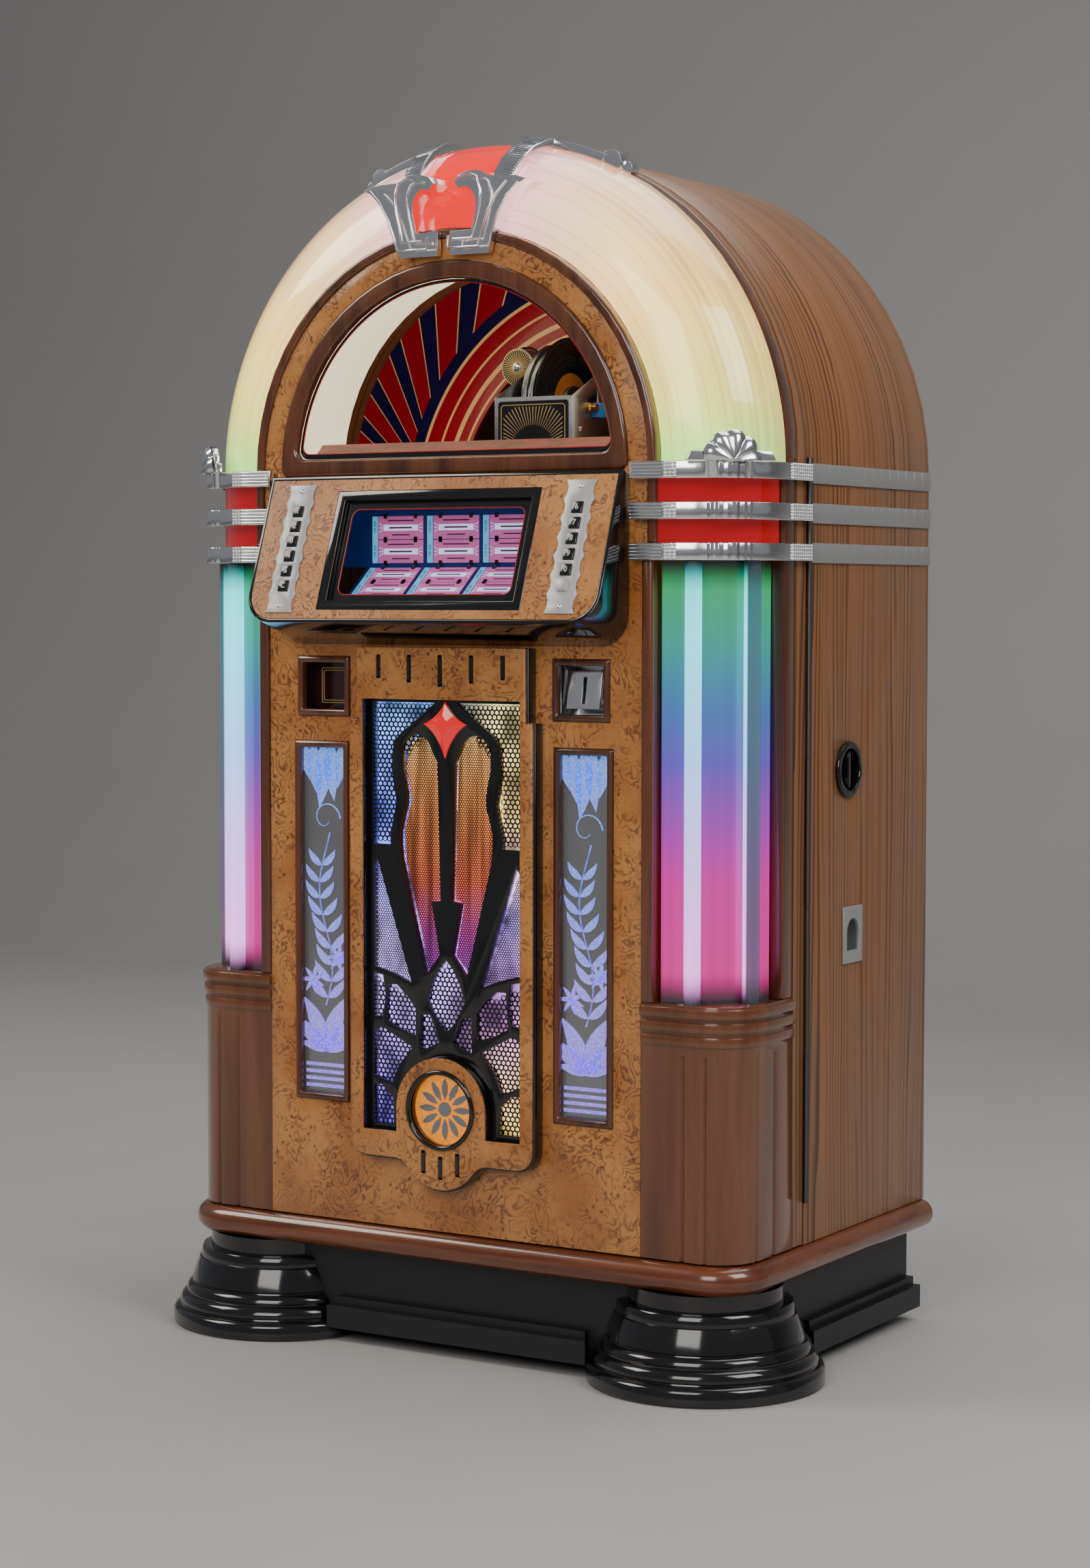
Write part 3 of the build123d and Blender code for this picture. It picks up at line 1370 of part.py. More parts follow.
# Deck that carries the record player, with the low sloping apron seen through the dome glass
deck_rear_depth = magazine_front_depth - deck_clearance
apron_half = 228.0
apron_front_depth = 26.0
apron_run = 28.0
apron_sheet = 6.0
apron_knee_z = 1114.0
apron_top_z = 1141.0
with BuildPart() as mech_deck:
    with BuildSketch(front(deck_rear_depth)):
        with Locations((0, deck_top_z)):
            Rectangle(2 * (half_width - side_wall - seat_gap), deck_board, align=(Align.CENTER, Align.MAX))
    extrude(amount=deck_rear_depth - case_front_depth - 1)
    with BuildSketch(front(case_front_depth + 2)):
        with Locations((0, deck_top_z)):
            Rectangle(2 * apron_half, deck_board, align=(Align.CENTER, Align.MAX))
    extrude(amount=case_front_depth + 2 - apron_front_depth)
    with BuildSketch(side(-apron_half)):
        y = panel_y + apron_front_depth
        Polygon(
            (y, deck_top_z),
            (y, apron_knee_z),
            (y + apron_run, apron_top_z),
            (y + apron_run + apron_sheet, apron_top_z),
            (y + apron_sheet, apron_knee_z),
            (y + apron_sheet, deck_top_z),
            align=None,
        )
    extrude(amount=2 * apron_half)
mech_deck.part.label = "mech_deck"
export_step(mech_deck.part, "parts/mech_deck.step")

# Printed backdrop, with a round opening in front of the magazine wheel
with BuildPart() as backdrop:
    with BuildSketch(front(backdrop_depth + backdrop_thickness)):
        add(arch_outline(half_width - side_wall - 2 * seat_gap, deck_top_z))
        with Locations((record_x, magazine_z)):
            Circle(backdrop_opening, mode=Mode.SUBTRACT)
    extrude(amount=backdrop_thickness)
backdrop.part.label = "backdrop"
export_step(backdrop.part, "parts/backdrop.step")

# Chassis: a front box, two side plates with the axle bearings, shafts, and the transfer motor
box_depth = 36.0
box_top_z = 1193.0
left_plate_top_z = 1232.0
right_plate_top_z = 1272.0
chassis_floor = 3.0
axle_radius = 5.0
clamp_shaft_radius = 4.0
gripper_depth = (axle_depth + magazine_depth) / 2
gripper_drop = 60.0
gripper_z = axle_z - gripper_drop
gripper_shaft = 5.0
arm_post = 4.0
arm_pivot_ahead = 17.0
arm_pivot_below = 10.0
arm_depth = chassis_rear_depth - arm_pivot_ahead
arm_z = right_plate_top_z - arm_pivot_below
arm_post_x = 70.0
motor_radius = 24.0
motor_x = -13.5
motor_z = 1239.5
motor_front_depth = 180.0
motor_length = 45.0
motor_facets = 24
motor_shelf = 12.0
motor_shelf_set_back = 5.0
axle_place = (panel_y + axle_depth, axle_z)
gripper_place = (panel_y + gripper_depth, gripper_z)
arm_place = (panel_y + arm_depth, arm_z)
chassis_width = chassis_right_x - chassis_left_x + chassis_plate
chassis_low_x = chassis_left_x - chassis_plate / 2
with BuildPart() as mech_chassis:
    with BuildSketch(level(deck_top_z)):
        with Locations((chassis_low_x, panel_y + chassis_front_depth)):
            Rectangle(chassis_width, chassis_rear_depth - chassis_front_depth, align=(Align.MIN, Align.MIN))
    extrude(amount=chassis_floor)
    near = panel_y + chassis_front_depth
    far = panel_y + chassis_rear_depth
    with BuildSketch(side(chassis_low_x)):
        Polygon(
            (near, deck_top_z), (near, box_top_z), (near + 68, left_plate_top_z - 7), (near + 88, left_plate_top_z),
            (far - 67, left_plate_top_z), (far - 40, box_top_z - 33), (far, box_top_z - 43), (far, deck_top_z),
            align=None,
        )
        with Locations(axle_place):
            Circle(axle_radius + bearing_clearance, mode=Mode.SUBTRACT)
    extrude(amount=chassis_plate)
    with BuildSketch(side(chassis_right_x - chassis_plate / 2)):
        Polygon(
            (near, deck_top_z), (near, box_top_z), (near + 65, right_plate_top_z - 47),
            (near + 88, right_plate_top_z - 35), (far - 40, right_plate_top_z - 35), (far - 30, right_plate_top_z),
            (far, right_plate_top_z), (far, deck_top_z), align=None,
        )
        Polygon(
            (near + 19, box_top_z - 31), (near + 60, box_top_z - 9), (near + 60, box_top_z + 10),
            (near + 15, box_top_z - 16), align=None, mode=Mode.SUBTRACT,
        )
        with Locations(axle_place):
            Circle(clamp_shaft_radius + bearing_clearance, mode=Mode.SUBTRACT)
    extrude(amount=chassis_plate)
    with BuildSketch(front(chassis_front_depth + box_depth)):
        with Locations((chassis_low_x, deck_top_z)):
            Rectangle(chassis_width, box_top_z - deck_top_z, align=(Align.MIN, Align.MIN))
    extrude(amount=box_depth)
    with BuildSketch(front(chassis_front_depth + box_depth)):
        with Locations((chassis_low_x + chassis_plate, deck_top_z + chassis_floor)):
            Rectangle(
                chassis_width - 2 * chassis_plate,
                box_top_z - deck_top_z - chassis_floor - chassis_plate,
                align=(Align.MIN, Align.MIN),
            )
    extrude(amount=box_depth - chassis_plate, mode=Mode.SUBTRACT)
    with BuildSketch(side(chassis_left_x)):
        with Locations(gripper_place):
            RegularPolygon(gripper_shaft, shaft_facets)
    extrude(amount=chassis_right_x - chassis_left_x)
    with BuildSketch(side(arm_post_x)):
        with Locations(arm_place):
            RegularPolygon(arm_post, shaft_facets)
    extrude(amount=chassis_right_x - arm_post_x)
    with BuildSketch(front(motor_front_depth + motor_length)):
        with Locations((motor_x, motor_z)):
            RegularPolygon(motor_radius, motor_facets)
    extrude(amount=motor_length)
    with BuildSketch(front(motor_front_depth + motor_length - motor_shelf_set_back)):
        with Locations((chassis_left_x, motor_z - motor_radius)):
            Rectangle(chassis_left_x - motor_x + motor_shelf, motor_shelf, align=(Align.MAX, Align.CENTER))
    extrude(amount=motor_length - 3 * motor_shelf_set_back)
mech_chassis.part.label = "mech_chassis"
export_step(mech_chassis.part, "parts/mech_chassis.step")

# Turntable: stepped flywheel, record pad, centre hub and clamp on one axle
pad_radius = 45.0
hub_radius = 18.9
clamp_radius = 27.0
record_left_x = record_x - record_thickness / 2
record_right_x = record_x + record_thickness / 2
axle_left_x = 18.0
axle_end_x = 32.0
shaft_beyond = 8.0
disc_facets = 24
disc_steps = (
    (axle_end_x, 35.0, 22.0),
    (35.0, 42.0, flywheel_radius),
    (42.0, 45.0, flywheel_radius - 6),
    (45.0, 50.0, flywheel_radius - 2),
    (50.0, record_left_x, pad_radius),
    (record_right_x + bearing_clearance, record_right_x + 6, clamp_radius),
    (record_right_x + 6, record_right_x + 20, 12.0),
)
round_steps = (
    (axle_left_x, axle_end_x, axle_radius),
    (record_left_x, record_right_x + bearing_clearance, hub_radius),
    (record_right_x + 20, chassis_right_x + shaft_beyond, clamp_shaft_radius),
)
with BuildPart() as turntable:
    for low_x, high_x, radius in disc_steps:
        with BuildSketch(side(low_x)):
            with Locations(axle_place):
                RegularPolygon(radius, disc_facets)
        extrude(amount=high_x - low_x)
    for low_x, high_x, radius in round_steps:
        with BuildSketch(side(low_x)):
            with Locations(axle_place):
                RegularPolygon(radius, shaft_facets)
        extrude(amount=high_x - low_x)
turntable.part.label = "turntable"
export_step(turntable.part, "parts/turntable.step")

with BuildPart() as playing_record:
    with BuildSketch(side(record_left_x)):
        with Locations(axle_place):
            RegularPolygon(record_radius, record_facets)
            RegularPolygon(hub_radius + record_clearance, shaft_facets, mode=Mode.SUBTRACT)
    extrude(amount=record_thickness)
playing_record.part.label = "playing_record"
export_step(playing_record.part, "parts/playing_record.step")

# Tonearm, swinging beside the record's right face
head_depth = 213.0
head_z = 1245.0
head_length = 20.0
head_height = 11.0
head_gap = 1.2
arm_x = 76.0
arm_thickness = 6.0
arm_root_half = 4.0
arm_tip_half = 3.0
arm_hub = 9.0
arm_hub_proud = 2.0
arm_hub_facets = 16
with BuildPart() as tonearm:
    with BuildSketch(side(arm_x)):
        Polygon(
            (panel_y + arm_depth, arm_z + arm_root_half), (panel_y + head_depth, head_z + arm_tip_half),
            (panel_y + head_depth, head_z - arm_tip_half), (panel_y + arm_depth, arm_z - arm_root_half),
            align=None,
        )
    extrude(amount=arm_thickness)
    with BuildSketch(side(arm_x - arm_hub_proud)):
        with Locations(arm_place):
            RegularPolygon(arm_hub, arm_hub_facets)
    extrude(amount=arm_thickness + 4 * arm_hub_proud)
    with BuildSketch(side(record_right_x + head_gap)):
        with Locations((panel_y + head_depth, head_z)):
            Rectangle(head_length, head_height)
    extrude(amount=arm_x + arm_thickness - record_right_x - head_gap)
    with BuildSketch(side(arm_post_x)):
        with Locations(arm_place):
            Circle(arm_post + bearing_clearance)
    extrude(amount=chassis_right_x - arm_post_x, mode=Mode.SUBTRACT)
tonearm.part.label = "tonearm"
export_step(tonearm.part, "parts/tonearm.step")

# Transfer gripper: two blades that pass on each side of a record's rim
grip_gap = 5.0
grip_blade = 4.0
grip_reach = 48.0
grip_width = 16.0
grip_hub = 12.0
grip_facets = 12
grip_tip_facets = 5
with BuildPart() as gripper_arm:
    for x in (record_x - grip_gap / 2 - grip_blade, record_x + grip_gap / 2):
        with BuildSketch(side(x)):
            with Locations(gripper_place):
                RegularPolygon(grip_hub, grip_facets)
                Polygon(
                    (grip_width / 2, 0),
                    *chords(0, grip_reach - grip_width / 2, grip_width / 2, 0, 180, grip_tip_facets),
                    (-grip_width / 2, 0), align=None,
                )
        extrude(amount=grip_blade)
    with BuildSketch(side(record_x - grip_gap)):
        with Locations(gripper_place):
            RegularPolygon(grip_hub, grip_facets)
    extrude(amount=2 * grip_gap)
    with BuildSketch(side(0)):
        with Locations(gripper_place):
            Circle(gripper_shaft + bearing_clearance)
    extrude(amount=2 * record_x, mode=Mode.SUBTRACT)
gripper_arm.part.label = "gripper_arm"
export_step(gripper_arm.part, "parts/gripper_arm.step")

# Magazine wheel with its stored records standing radially in the hub
stored_facets = 12
hub_rear = 3.0
with BuildPart() as stored_record:
    with BuildSketch(side(record_left_x)):
        with Locations((panel_y + magazine_depth, axle_z)):
            RegularPolygon(record_radius, stored_facets)
    extrude(amount=record_thickness)
magazine_axis = Axis((record_x, 0, magazine_z), (0, 1, 0))
with BuildPart() as record_magazine:
    with BuildSketch(front(magazine_rear_depth + hub_rear)):
        with Locations((record_x, magazine_z)):
            RegularPolygon(magazine_hub, 2 * stored_records)
    extrude(amount=magazine_rear_depth + hub_rear - magazine_front_depth)
    for n in range(stored_records):
        add(stored_record.part.rotate(magazine_axis, 360 * n / stored_records))
    with BuildSketch(front(magazine_rear_depth + hub_rear)):
        with Locations((record_x, magazine_z)):
            Circle(magazine_axle + bearing_clearance)
    extrude(amount=cabinet_depth, mode=Mode.SUBTRACT)
record_magazine.part.label = "record_magazine"
export_step(record_magazine.part, "parts/record_magazine.step")

with BuildPart() as magazine_bracket:
    with BuildSketch(front(bracket_rear_depth)):
        with Locations((0, magazine_z)):
            Rectangle(2 * (half_width - side_wall - seat_gap), bracket_height)
    extrude(amount=bracket_thickness)
    with BuildSketch(front(bracket_rear_depth)):
        with Locations((record_x, magazine_z)):
            RegularPolygon(magazine_axle, shaft_facets)
    extrude(amount=bracket_rear_depth - magazine_front_depth)
magazine_bracket.part.label = "magazine_bracket"
export_step(magazine_bracket.part, "parts/magazine_bracket.step")

# Amplifier with cooling fins, its mains inlet reaching through the rear panel
amplifier_half = 160.0
amplifier_depth = 104.0
amplifier_height = 90.0
fin_count = 8
fin_height = 18.0
fin_width = 4.0
fin_end_gap = 5.0
amplifier_gap = 4.0
socket_width = 28.0
socket_height = 20.0
socket_depth = 14.0
inlet_set_back = 1.0
amplifier_rear_depth = cabinet_depth - rear_board - amplifier_gap
amplifier_front_depth = amplifier_rear_depth - amplifier_depth
with BuildPart() as amplifier:
    with BuildSketch(level(base_top_z)):
        with Locations((0, panel_y + amplifier_front_depth)):
            Rectangle(
                2 * amplifier_half,
                amplifier_rear_depth - amplifier_front_depth,
                align=(Align.CENTER, Align.MIN),
            )
    extrude(amount=amplifier_height)
    with BuildSketch(level(base_top_z + amplifier_height)):
        with Locations((0, panel_y + (amplifier_front_depth + amplifier_rear_depth) / 2)):
            with GridLocations(2 * amplifier_half / fin_count, 0, fin_count, 1):
                Rectangle(fin_width, amplifier_rear_depth - amplifier_front_depth - 2 * fin_end_gap)
    extrude(amount=fin_height)
    with BuildSketch(front(cabinet_depth - inlet_set_back)):
        with Locations((inlet_x, inlet_z)):
            Rectangle(inlet_width, inlet_height)
    extrude(amount=cabinet_depth - inlet_set_back - amplifier_rear_depth)
    with BuildSketch(front(cabinet_depth)):
        with Locations((inlet_x, inlet_z)):
            Rectangle(socket_width, socket_height)
    extrude(amount=socket_depth, mode=Mode.SUBTRACT)
amplifier.part.label = "amplifier"
export_step(amplifier.part, "parts/amplifier.step")

# Open cash box on the base board
cash_x = 260.0
cash_depth = 260.0
cash_width = 160.0
cash_length = 140.0
cash_height = 110.0
cash_wall = 2.0
with BuildPart() as cash_box:
    with BuildSketch(level(base_top_z)):
        with Locations((cash_x, panel_y + cash_depth)):
            Rectangle(cash_width, cash_length)
    extrude(amount=cash_height)
    with BuildSketch(level(base_top_z + cash_wall)):
        with Locations((cash_x, panel_y + cash_depth)):
            Rectangle(cash_width - 2 * cash_wall, cash_length - 2 * cash_wall)
    extrude(amount=cash_height, mode=Mode.SUBTRACT)
cash_box.part.label = "cash_box"
export_step(cash_box.part, "parts/cash_box.step")
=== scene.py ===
"""Looks of an arched vinyl jukebox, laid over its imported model."""

import logging
from collections.abc import Sequence
from dataclasses import dataclass, field
from enum import Enum
from math import atan2, cos, pi, radians, sin, sqrt

import bmesh
import bpy
from mathutils import Euler, Matrix, Vector
from mathutils.geometry import tessellate_polygon


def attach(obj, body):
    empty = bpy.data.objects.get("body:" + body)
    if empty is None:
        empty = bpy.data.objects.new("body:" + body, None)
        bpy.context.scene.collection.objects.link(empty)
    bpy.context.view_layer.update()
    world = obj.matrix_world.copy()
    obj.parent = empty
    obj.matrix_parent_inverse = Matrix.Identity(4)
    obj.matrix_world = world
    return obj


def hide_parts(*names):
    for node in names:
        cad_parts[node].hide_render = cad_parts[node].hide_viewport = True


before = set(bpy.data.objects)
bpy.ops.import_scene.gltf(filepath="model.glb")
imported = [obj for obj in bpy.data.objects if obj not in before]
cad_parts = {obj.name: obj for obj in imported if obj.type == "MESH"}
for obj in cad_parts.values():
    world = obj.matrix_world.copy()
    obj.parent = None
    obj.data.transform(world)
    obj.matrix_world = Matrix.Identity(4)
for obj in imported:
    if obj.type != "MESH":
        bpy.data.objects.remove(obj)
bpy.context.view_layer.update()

LOG = logging.getLogger("jukebox")

Colour = tuple[float, float, float]
Point = tuple[float, float]
Loop = Sequence[Point]
Stops = Sequence[tuple[float, Colour]]
Socket = bpy.types.NodeSocket
Material = bpy.types.Material
Mesh = bpy.types.Mesh
Feed = float | str | Sequence[float] | Material | Socket
Feeds = dict[str | int, Feed]

CABINET = "cabinet"
DOOR = "front_door"

# points closer than this, in metres, are one point
WELD = 0.00001
# edges that turn by more than this, in degrees, are rounded
SHARP = 32
# rounded edges wider than this, in metres, take four steps and not two
WIDE_BEVEL = 0.003
# size of Blender's own typeface over the height of its figures
FIGURE_SIZE = 1.38


@dataclass(frozen=True)
class Layout:
    """Sizes that several sub-assemblies share, in metres."""

    front_y: float = -0.220
    arch_z: float = 1.105
    half_width: float = 0.404
    lens_inner: float = 0.2923
    lens_front: float = 0.010
    lens_back: float = 0.112
    crest_angle: float = radians(8.6)
    column_x: float = 0.2921
    column_depth: float = 0.108
    column_low: float = 0.466
    band_low: float = 0.991
    band_pitch: float = 0.0478
    band_height: float = 0.0205
    band_outer: float = 0.1215
    band_start: float = 0.262
    band_end: float = 0.164
    selector_top: float = 1.098
    selector_low: float = 0.9165
    selector_top_reach: float = 0.016
    selector_low_reach: float = 0.080
    key_column: float = 0.203
    key_pitch: float = 0.0196
    axle_depth: float = 0.189
    axle_z: float = 1.187

    def y(self, depth: float) -> float:
        """Place along Y of a depth behind the front board."""
        return self.front_y + depth

    @property
    def tilt(self) -> float:
        """Angle of the selector's face from upright."""
        reach = self.selector_low_reach - self.selector_top_reach
        return atan2(reach, self.selector_top - self.selector_low)


SIZES = Layout()


def front(depth: float) -> Matrix:
    """Upright plane at a depth: across is +X, up is +Z, out is towards the viewer."""
    return Matrix(((1, 0, 0, 0), (0, 0, -1, SIZES.y(depth)), (0, 1, 0, 0), (0, 0, 0, 1)))


def flank(x: float) -> Matrix:
    """Upright plane at a place along X: across is +Y, up is +Z, out is +X."""
    return Matrix(((0, 0, 1, x), (1, 0, 0, 0), (0, 1, 0, 0), (0, 0, 0, 1)))


def level(z: float) -> Matrix:
    """Flat plane at a height: across is +X, up is +Y, out is +Z."""
    return Matrix.Translation((0, 0, z))


def slope(out: float = 0.0) -> Matrix:
    """Plane of the selector's face, moved out by a distance.

    Args:
        out: the distance.

    Returns:
        The plane.
    """
    t = SIZES.tilt
    reach = (SIZES.selector_top_reach + SIZES.selector_low_reach) / 2
    z = (SIZES.selector_top + SIZES.selector_low) / 2
    plane = Matrix(
        (
            (1, 0, 0, 0),
            (0, sin(t), -cos(t), SIZES.front_y - reach),
            (0, cos(t), sin(t), z),
            (0, 0, 0, 1),
        )
    )
    return plane @ Matrix.Translation((0, 0, out))


class Tree:
    """A node tree, with short calls that fill it."""

    def __init__(self, tree: bpy.types.NodeTree) -> None:
        """Takes hold of a tree."""
        self.tree = tree
        self.nodes, self.links = tree.nodes, tree.links

    def feed(self, socket: Socket, value: Feed) -> None:
        """Links a socket to another, or sets its own value.

        Args:
            socket: the input.
            value: another node's output, or a value. A colour may leave out its alpha.
        """
        if isinstance(value, Socket):
            self.links.new(value, socket)
        elif isinstance(value, (int, float, str, Material)):
            socket.default_value = value
        else:
            size = len(socket.default_value)
            socket.default_value = (tuple(value) + (1.0,))[:size]

    def add(self, kind: str, feeds: Feeds | None = None, **settings: object) -> bpy.types.Node:
        """Adds a node, sets its plain properties, then feeds its inputs.

        Args:
            kind: type name of the node.
            feeds: what its inputs take, by name or number.
            **settings: properties by name.

        Returns:
            The new node.
        """
        node = self.nodes.new(kind)
        for name, value in settings.items():
            setattr(node, name, value)
        for key, value in (feeds or {}).items():
            self.feed(node.inputs[key], value)
        return node


class Graph(Tree):
    """Node tree of one material, with short calls for the nodes that the finishes share."""

    def __init__(self, name: str) -> None:
        """Starts a material with one glossy shader and object coordinates.

        Args:
            name: the material's name.
        """
        self.material = bpy.data.materials.new(name)
        self.material.use_nodes = True
        super().__init__(self.material.node_tree)
        self.nodes.clear()
        self.shader = self.add("ShaderNodeBsdfPrincipled")
        self.add("ShaderNodeOutputMaterial", {"Surface": self.shader.outputs["BSDF"]})
        self.place = self.add("ShaderNodeTexCoord").outputs["Object"]

    def put(self, **values: Feed) -> None:
        """Feeds the shader's sockets, named with underscores for spaces."""
        for name, value in values.items():
            self.feed(self.shader.inputs[name.replace("_", " ")], value)

    def math(self, operation: str, *values: Feed) -> Socket:
        """Result of a math node on one to three values."""
        return self.add("ShaderNodeMath", dict(enumerate(values)), operation=operation).outputs[0]

    def times(self, value: Feed, factor: Feed) -> Socket:
        """Product of two values."""
        return self.math("MULTIPLY", value, factor)

    def minus(self, value: Feed, other: Feed) -> Socket:
        """Difference of two values."""
        return self.math("SUBTRACT", value, other)

    def scaled(self, value: Feed, factor: Feed, start: Feed) -> Socket:
        """A value times a factor, added to a start."""
        return self.math("MULTIPLY_ADD", value, factor, start)

    def gap(self, value: Feed, other: Feed) -> Socket:
        """Distance between two values."""
        return self.math("ABSOLUTE", self.minus(value, other))

    def reach(self, across: Feed, up: Feed) -> Socket:
        """Length of a line, from how far it goes across and up."""
        squares = self.math("ADD", self.times(across, across), self.times(up, up))
        return self.math("SQRT", squares)

    def stretch(self, x: float, y: float, z: float) -> Socket:
        """Object coordinates scaled along each axis."""
        feeds = {0: self.place, 1: (x, y, z)}
        return self.add("ShaderNodeVectorMath", feeds, operation="MULTIPLY").outputs[0]

    def split(self) -> tuple[Socket, ...]:
        """Object coordinates as three numbers."""
        return tuple(self.add("ShaderNodeSeparateXYZ", {0: self.place}).outputs)

    def noise(
        self, vector: Feed, scale: float, detail: float = 3.0, rough: float = 0.5, warp: float = 0.0
    ) -> Socket:
        """Grey noise, from 0 to 1.

        Args:
            vector: the coordinates that it reads.
            scale: its scale.
            detail: its finer layers.
            rough: weight of the finer layers.
            warp: how far it is twisted.

        Returns:
            The noise.
        """
        feeds = {"Vector": vector, "Scale": scale, "Detail": detail, "Roughness": rough, "Distortion": warp}
        return self.add("ShaderNodeTexNoise", feeds).outputs[0]

    def cells(self, vector: Feed, scale: float) -> Socket:
        """Distance to the nearest cell point."""
        return self.add("ShaderNodeTexVoronoi", {"Vector": vector, "Scale": scale}).outputs["Distance"]

    def warped(self, amount: float, scale: float) -> Socket:
        """Object coordinates pushed about by noise.

        Args:
            amount: how far they are pushed, in metres.
            scale: the noise's scale.

        Returns:
            The coordinates.
        """
        noise = self.add("ShaderNodeTexNoise", {"Vector": self.place, "Scale": scale, "Detail": 2.0})
        feeds = {0: noise.outputs["Color"], 1: (amount, amount, amount), 2: self.place}
        return self.add("ShaderNodeVectorMath", feeds, operation="MULTIPLY_ADD").outputs[0]

    def between(self, value: Feed, low: float, high: float) -> Socket:
        """Smooth step of a value from 0 at low to 1 at high."""
        feeds = {"Value": value, "From Min": low, "From Max": high}
        return self.add("ShaderNodeMapRange", feeds, interpolation_type="SMOOTHSTEP").outputs[0]

    def ramp(self, value: Feed, stops: Stops) -> Socket:
        """Colour along a ramp.

        Args:
            value: place on the ramp.
            stops: places and their colours, in order.

        Returns:
            The colour.
        """
        node = self.add("ShaderNodeValToRGB", {0: value})
        points = node.color_ramp.elements
        for point, (place, colour) in ((points[0], stops[0]), (points[-1], stops[-1])):
            point.position = place
            point.color = (*colour, 1.0)
        for place, colour in stops[1:-1]:
            points.new(place).color = (*colour, 1.0)
        return node.outputs[0]

    def mix(self, share: Feed, low: Feed, high: Feed) -> Socket:
        """Blend of two colours."""
        return self.add("ShaderNodeMix", {0: share, 6: low, 7: high}, data_type="RGBA").outputs[2]

    def bump(self, height: Feed, distance: float, strength: float = 1.0) -> None:
        """Feeds the shader's normal from a height."""
        feeds = {"Strength": strength, "Distance": distance, "Height": height}
        self.put(Normal=self.add("ShaderNodeBump", feeds).outputs[0])


class Surface:
    """A finish, which draws the node graph of its own material."""

    name: str

    def material(self) -> Material:
        """Builds the material.

        Returns:
            The new material.
        """
        g = Graph(self.name)
        self.draw(g)
        return g.material


@dataclass(frozen=True)
class BurrVeneer(Surface):
    """Burr veneer under gloss lacquer: curling figure and clusters of dark eyes."""

    name: str = "burr_veneer"
    light: Colour = (0.56, 0.240, 0.066)
    mid: Colour = (0.38, 0.135, 0.030)
    dark: Colour = (0.11, 0.030, 0.008)

    def draw(self, g: Graph) -> None:
        """Draws the finish.

        Args:
            g: the material's graph.
        """
        warped = g.warped(0.045, 16.0)
        field_noise = g.noise(warped, 24.0, 3.0)
        lines = g.math("PINGPONG", g.times(field_noise, 26.0), 1.0)
        patches = g.between(g.noise(g.place, 34.0, 2.0), 0.30, 0.66)
        figure = g.times(g.between(lines, 0.35, 1.0), patches)
        tone = g.mix(g.between(g.noise(g.place, 9.0, 3.0), 0.35, 0.68), self.light, self.mid)
        veined = g.mix(g.times(figure, 0.8), tone, self.dark)
        eye = g.between(g.cells(g.warped(0.012, 40.0), 105.0), 0.30, 0.12)
        cluster = g.between(g.noise(g.place, 15.0, 2.0), 0.44, 0.58)
        spots = g.times(eye, cluster)
        speck = g.between(g.noise(g.place, 210.0, 2.0), 0.60, 0.72)
        freckled = g.mix(g.times(speck, 0.35), veined, self.dark)
        g.put(Base_Color=g.mix(g.times(spots, 0.85), freckled, self.dark))
        g.put(Roughness=g.scaled(field_noise, 0.12, 0.22))
        g.put(Coat_Weight=0.55, Coat_Roughness=0.10)
        g.bump(figure, 0.0003, 0.35)


@dataclass(frozen=True)
class StraightGrain(Surface):
    """Straight-grained softwood veneer: the grain runs up the sides and over the arch."""

    name: str = "side_veneer"
    light: Colour = (0.360, 0.165, 0.066)
    dark: Colour = (0.070, 0.022, 0.008)
    rings: float = 82.0

    def draw(self, g: Graph) -> None:
        """Draws the finish.

        Args:
            g: the material's graph.
        """
        across = g.times(g.split()[1], self.rings)
        slow = g.times(g.noise(g.stretch(0.5, 7.0, 0.45), 1.6, 2.0), 7.0)
        fine = g.times(g.noise(g.stretch(2.0, 60.0, 2.2), 1.5, 2.0), 0.8)
        ring = g.math("FRACT", g.math("ADD", g.math("ADD", across, slow), fine))
        late = g.times(g.between(ring, 0.35, 0.93), g.between(ring, 1.0, 0.95))
        weight = g.between(g.noise(g.stretch(0.4, 26.0, 0.3), 1.0, 2.0), 0.32, 0.7)
        fibre = g.noise(g.stretch(6.0, 900.0, 7.0), 1.0, 2.0)
        tone = g.mix(g.noise(g.stretch(1.5, 9.0, 1.0), 1.0, 2.0), self.light, (0.240, 0.100, 0.036))
        ringed = g.mix(g.times(late, weight), tone, self.dark)
        g.put(Base_Color=g.mix(g.times(fibre, 0.30), ringed, self.dark))
        g.put(Roughness=g.scaled(fibre, 0.14, 0.30), Coat_Weight=0.25, Coat_Roughness=0.22)
        g.bump(g.math("ADD", late, fibre), 0.0003, 0.4)


@dataclass(frozen=True)
class Mahogany(Surface):
    """Dark lacquered wood of the mouldings, bases and nosing, with long flames along one axis."""

    name: str
    light: Colour = (0.150, 0.046, 0.016)
    dark: Colour = (0.045, 0.011, 0.004)
    along: Sequence[float] = (30.0, 30.0, 1.6)

    def draw(self, g: Graph) -> None:
        """Draws the finish.

        Args:
            g: the material's graph.
        """
        flame = g.noise(g.stretch(*self.along), 1.0, 4.0, 0.6, 0.4)
        pores = g.noise(g.stretch(*(value * 24 for value in self.along)), 1.0, 2.0)
        wood = g.mix(g.between(flame, 0.3, 0.72), self.light, self.dark)
        g.put(Base_Color=g.mix(g.times(g.between(pores, 0.56, 0.7), 0.5), wood, self.dark))
        g.put(Roughness=g.scaled(flame, 0.1, 0.2), Coat_Weight=0.8, Coat_Roughness=0.07)
        g.bump(pores, 0.0002, 0.2)


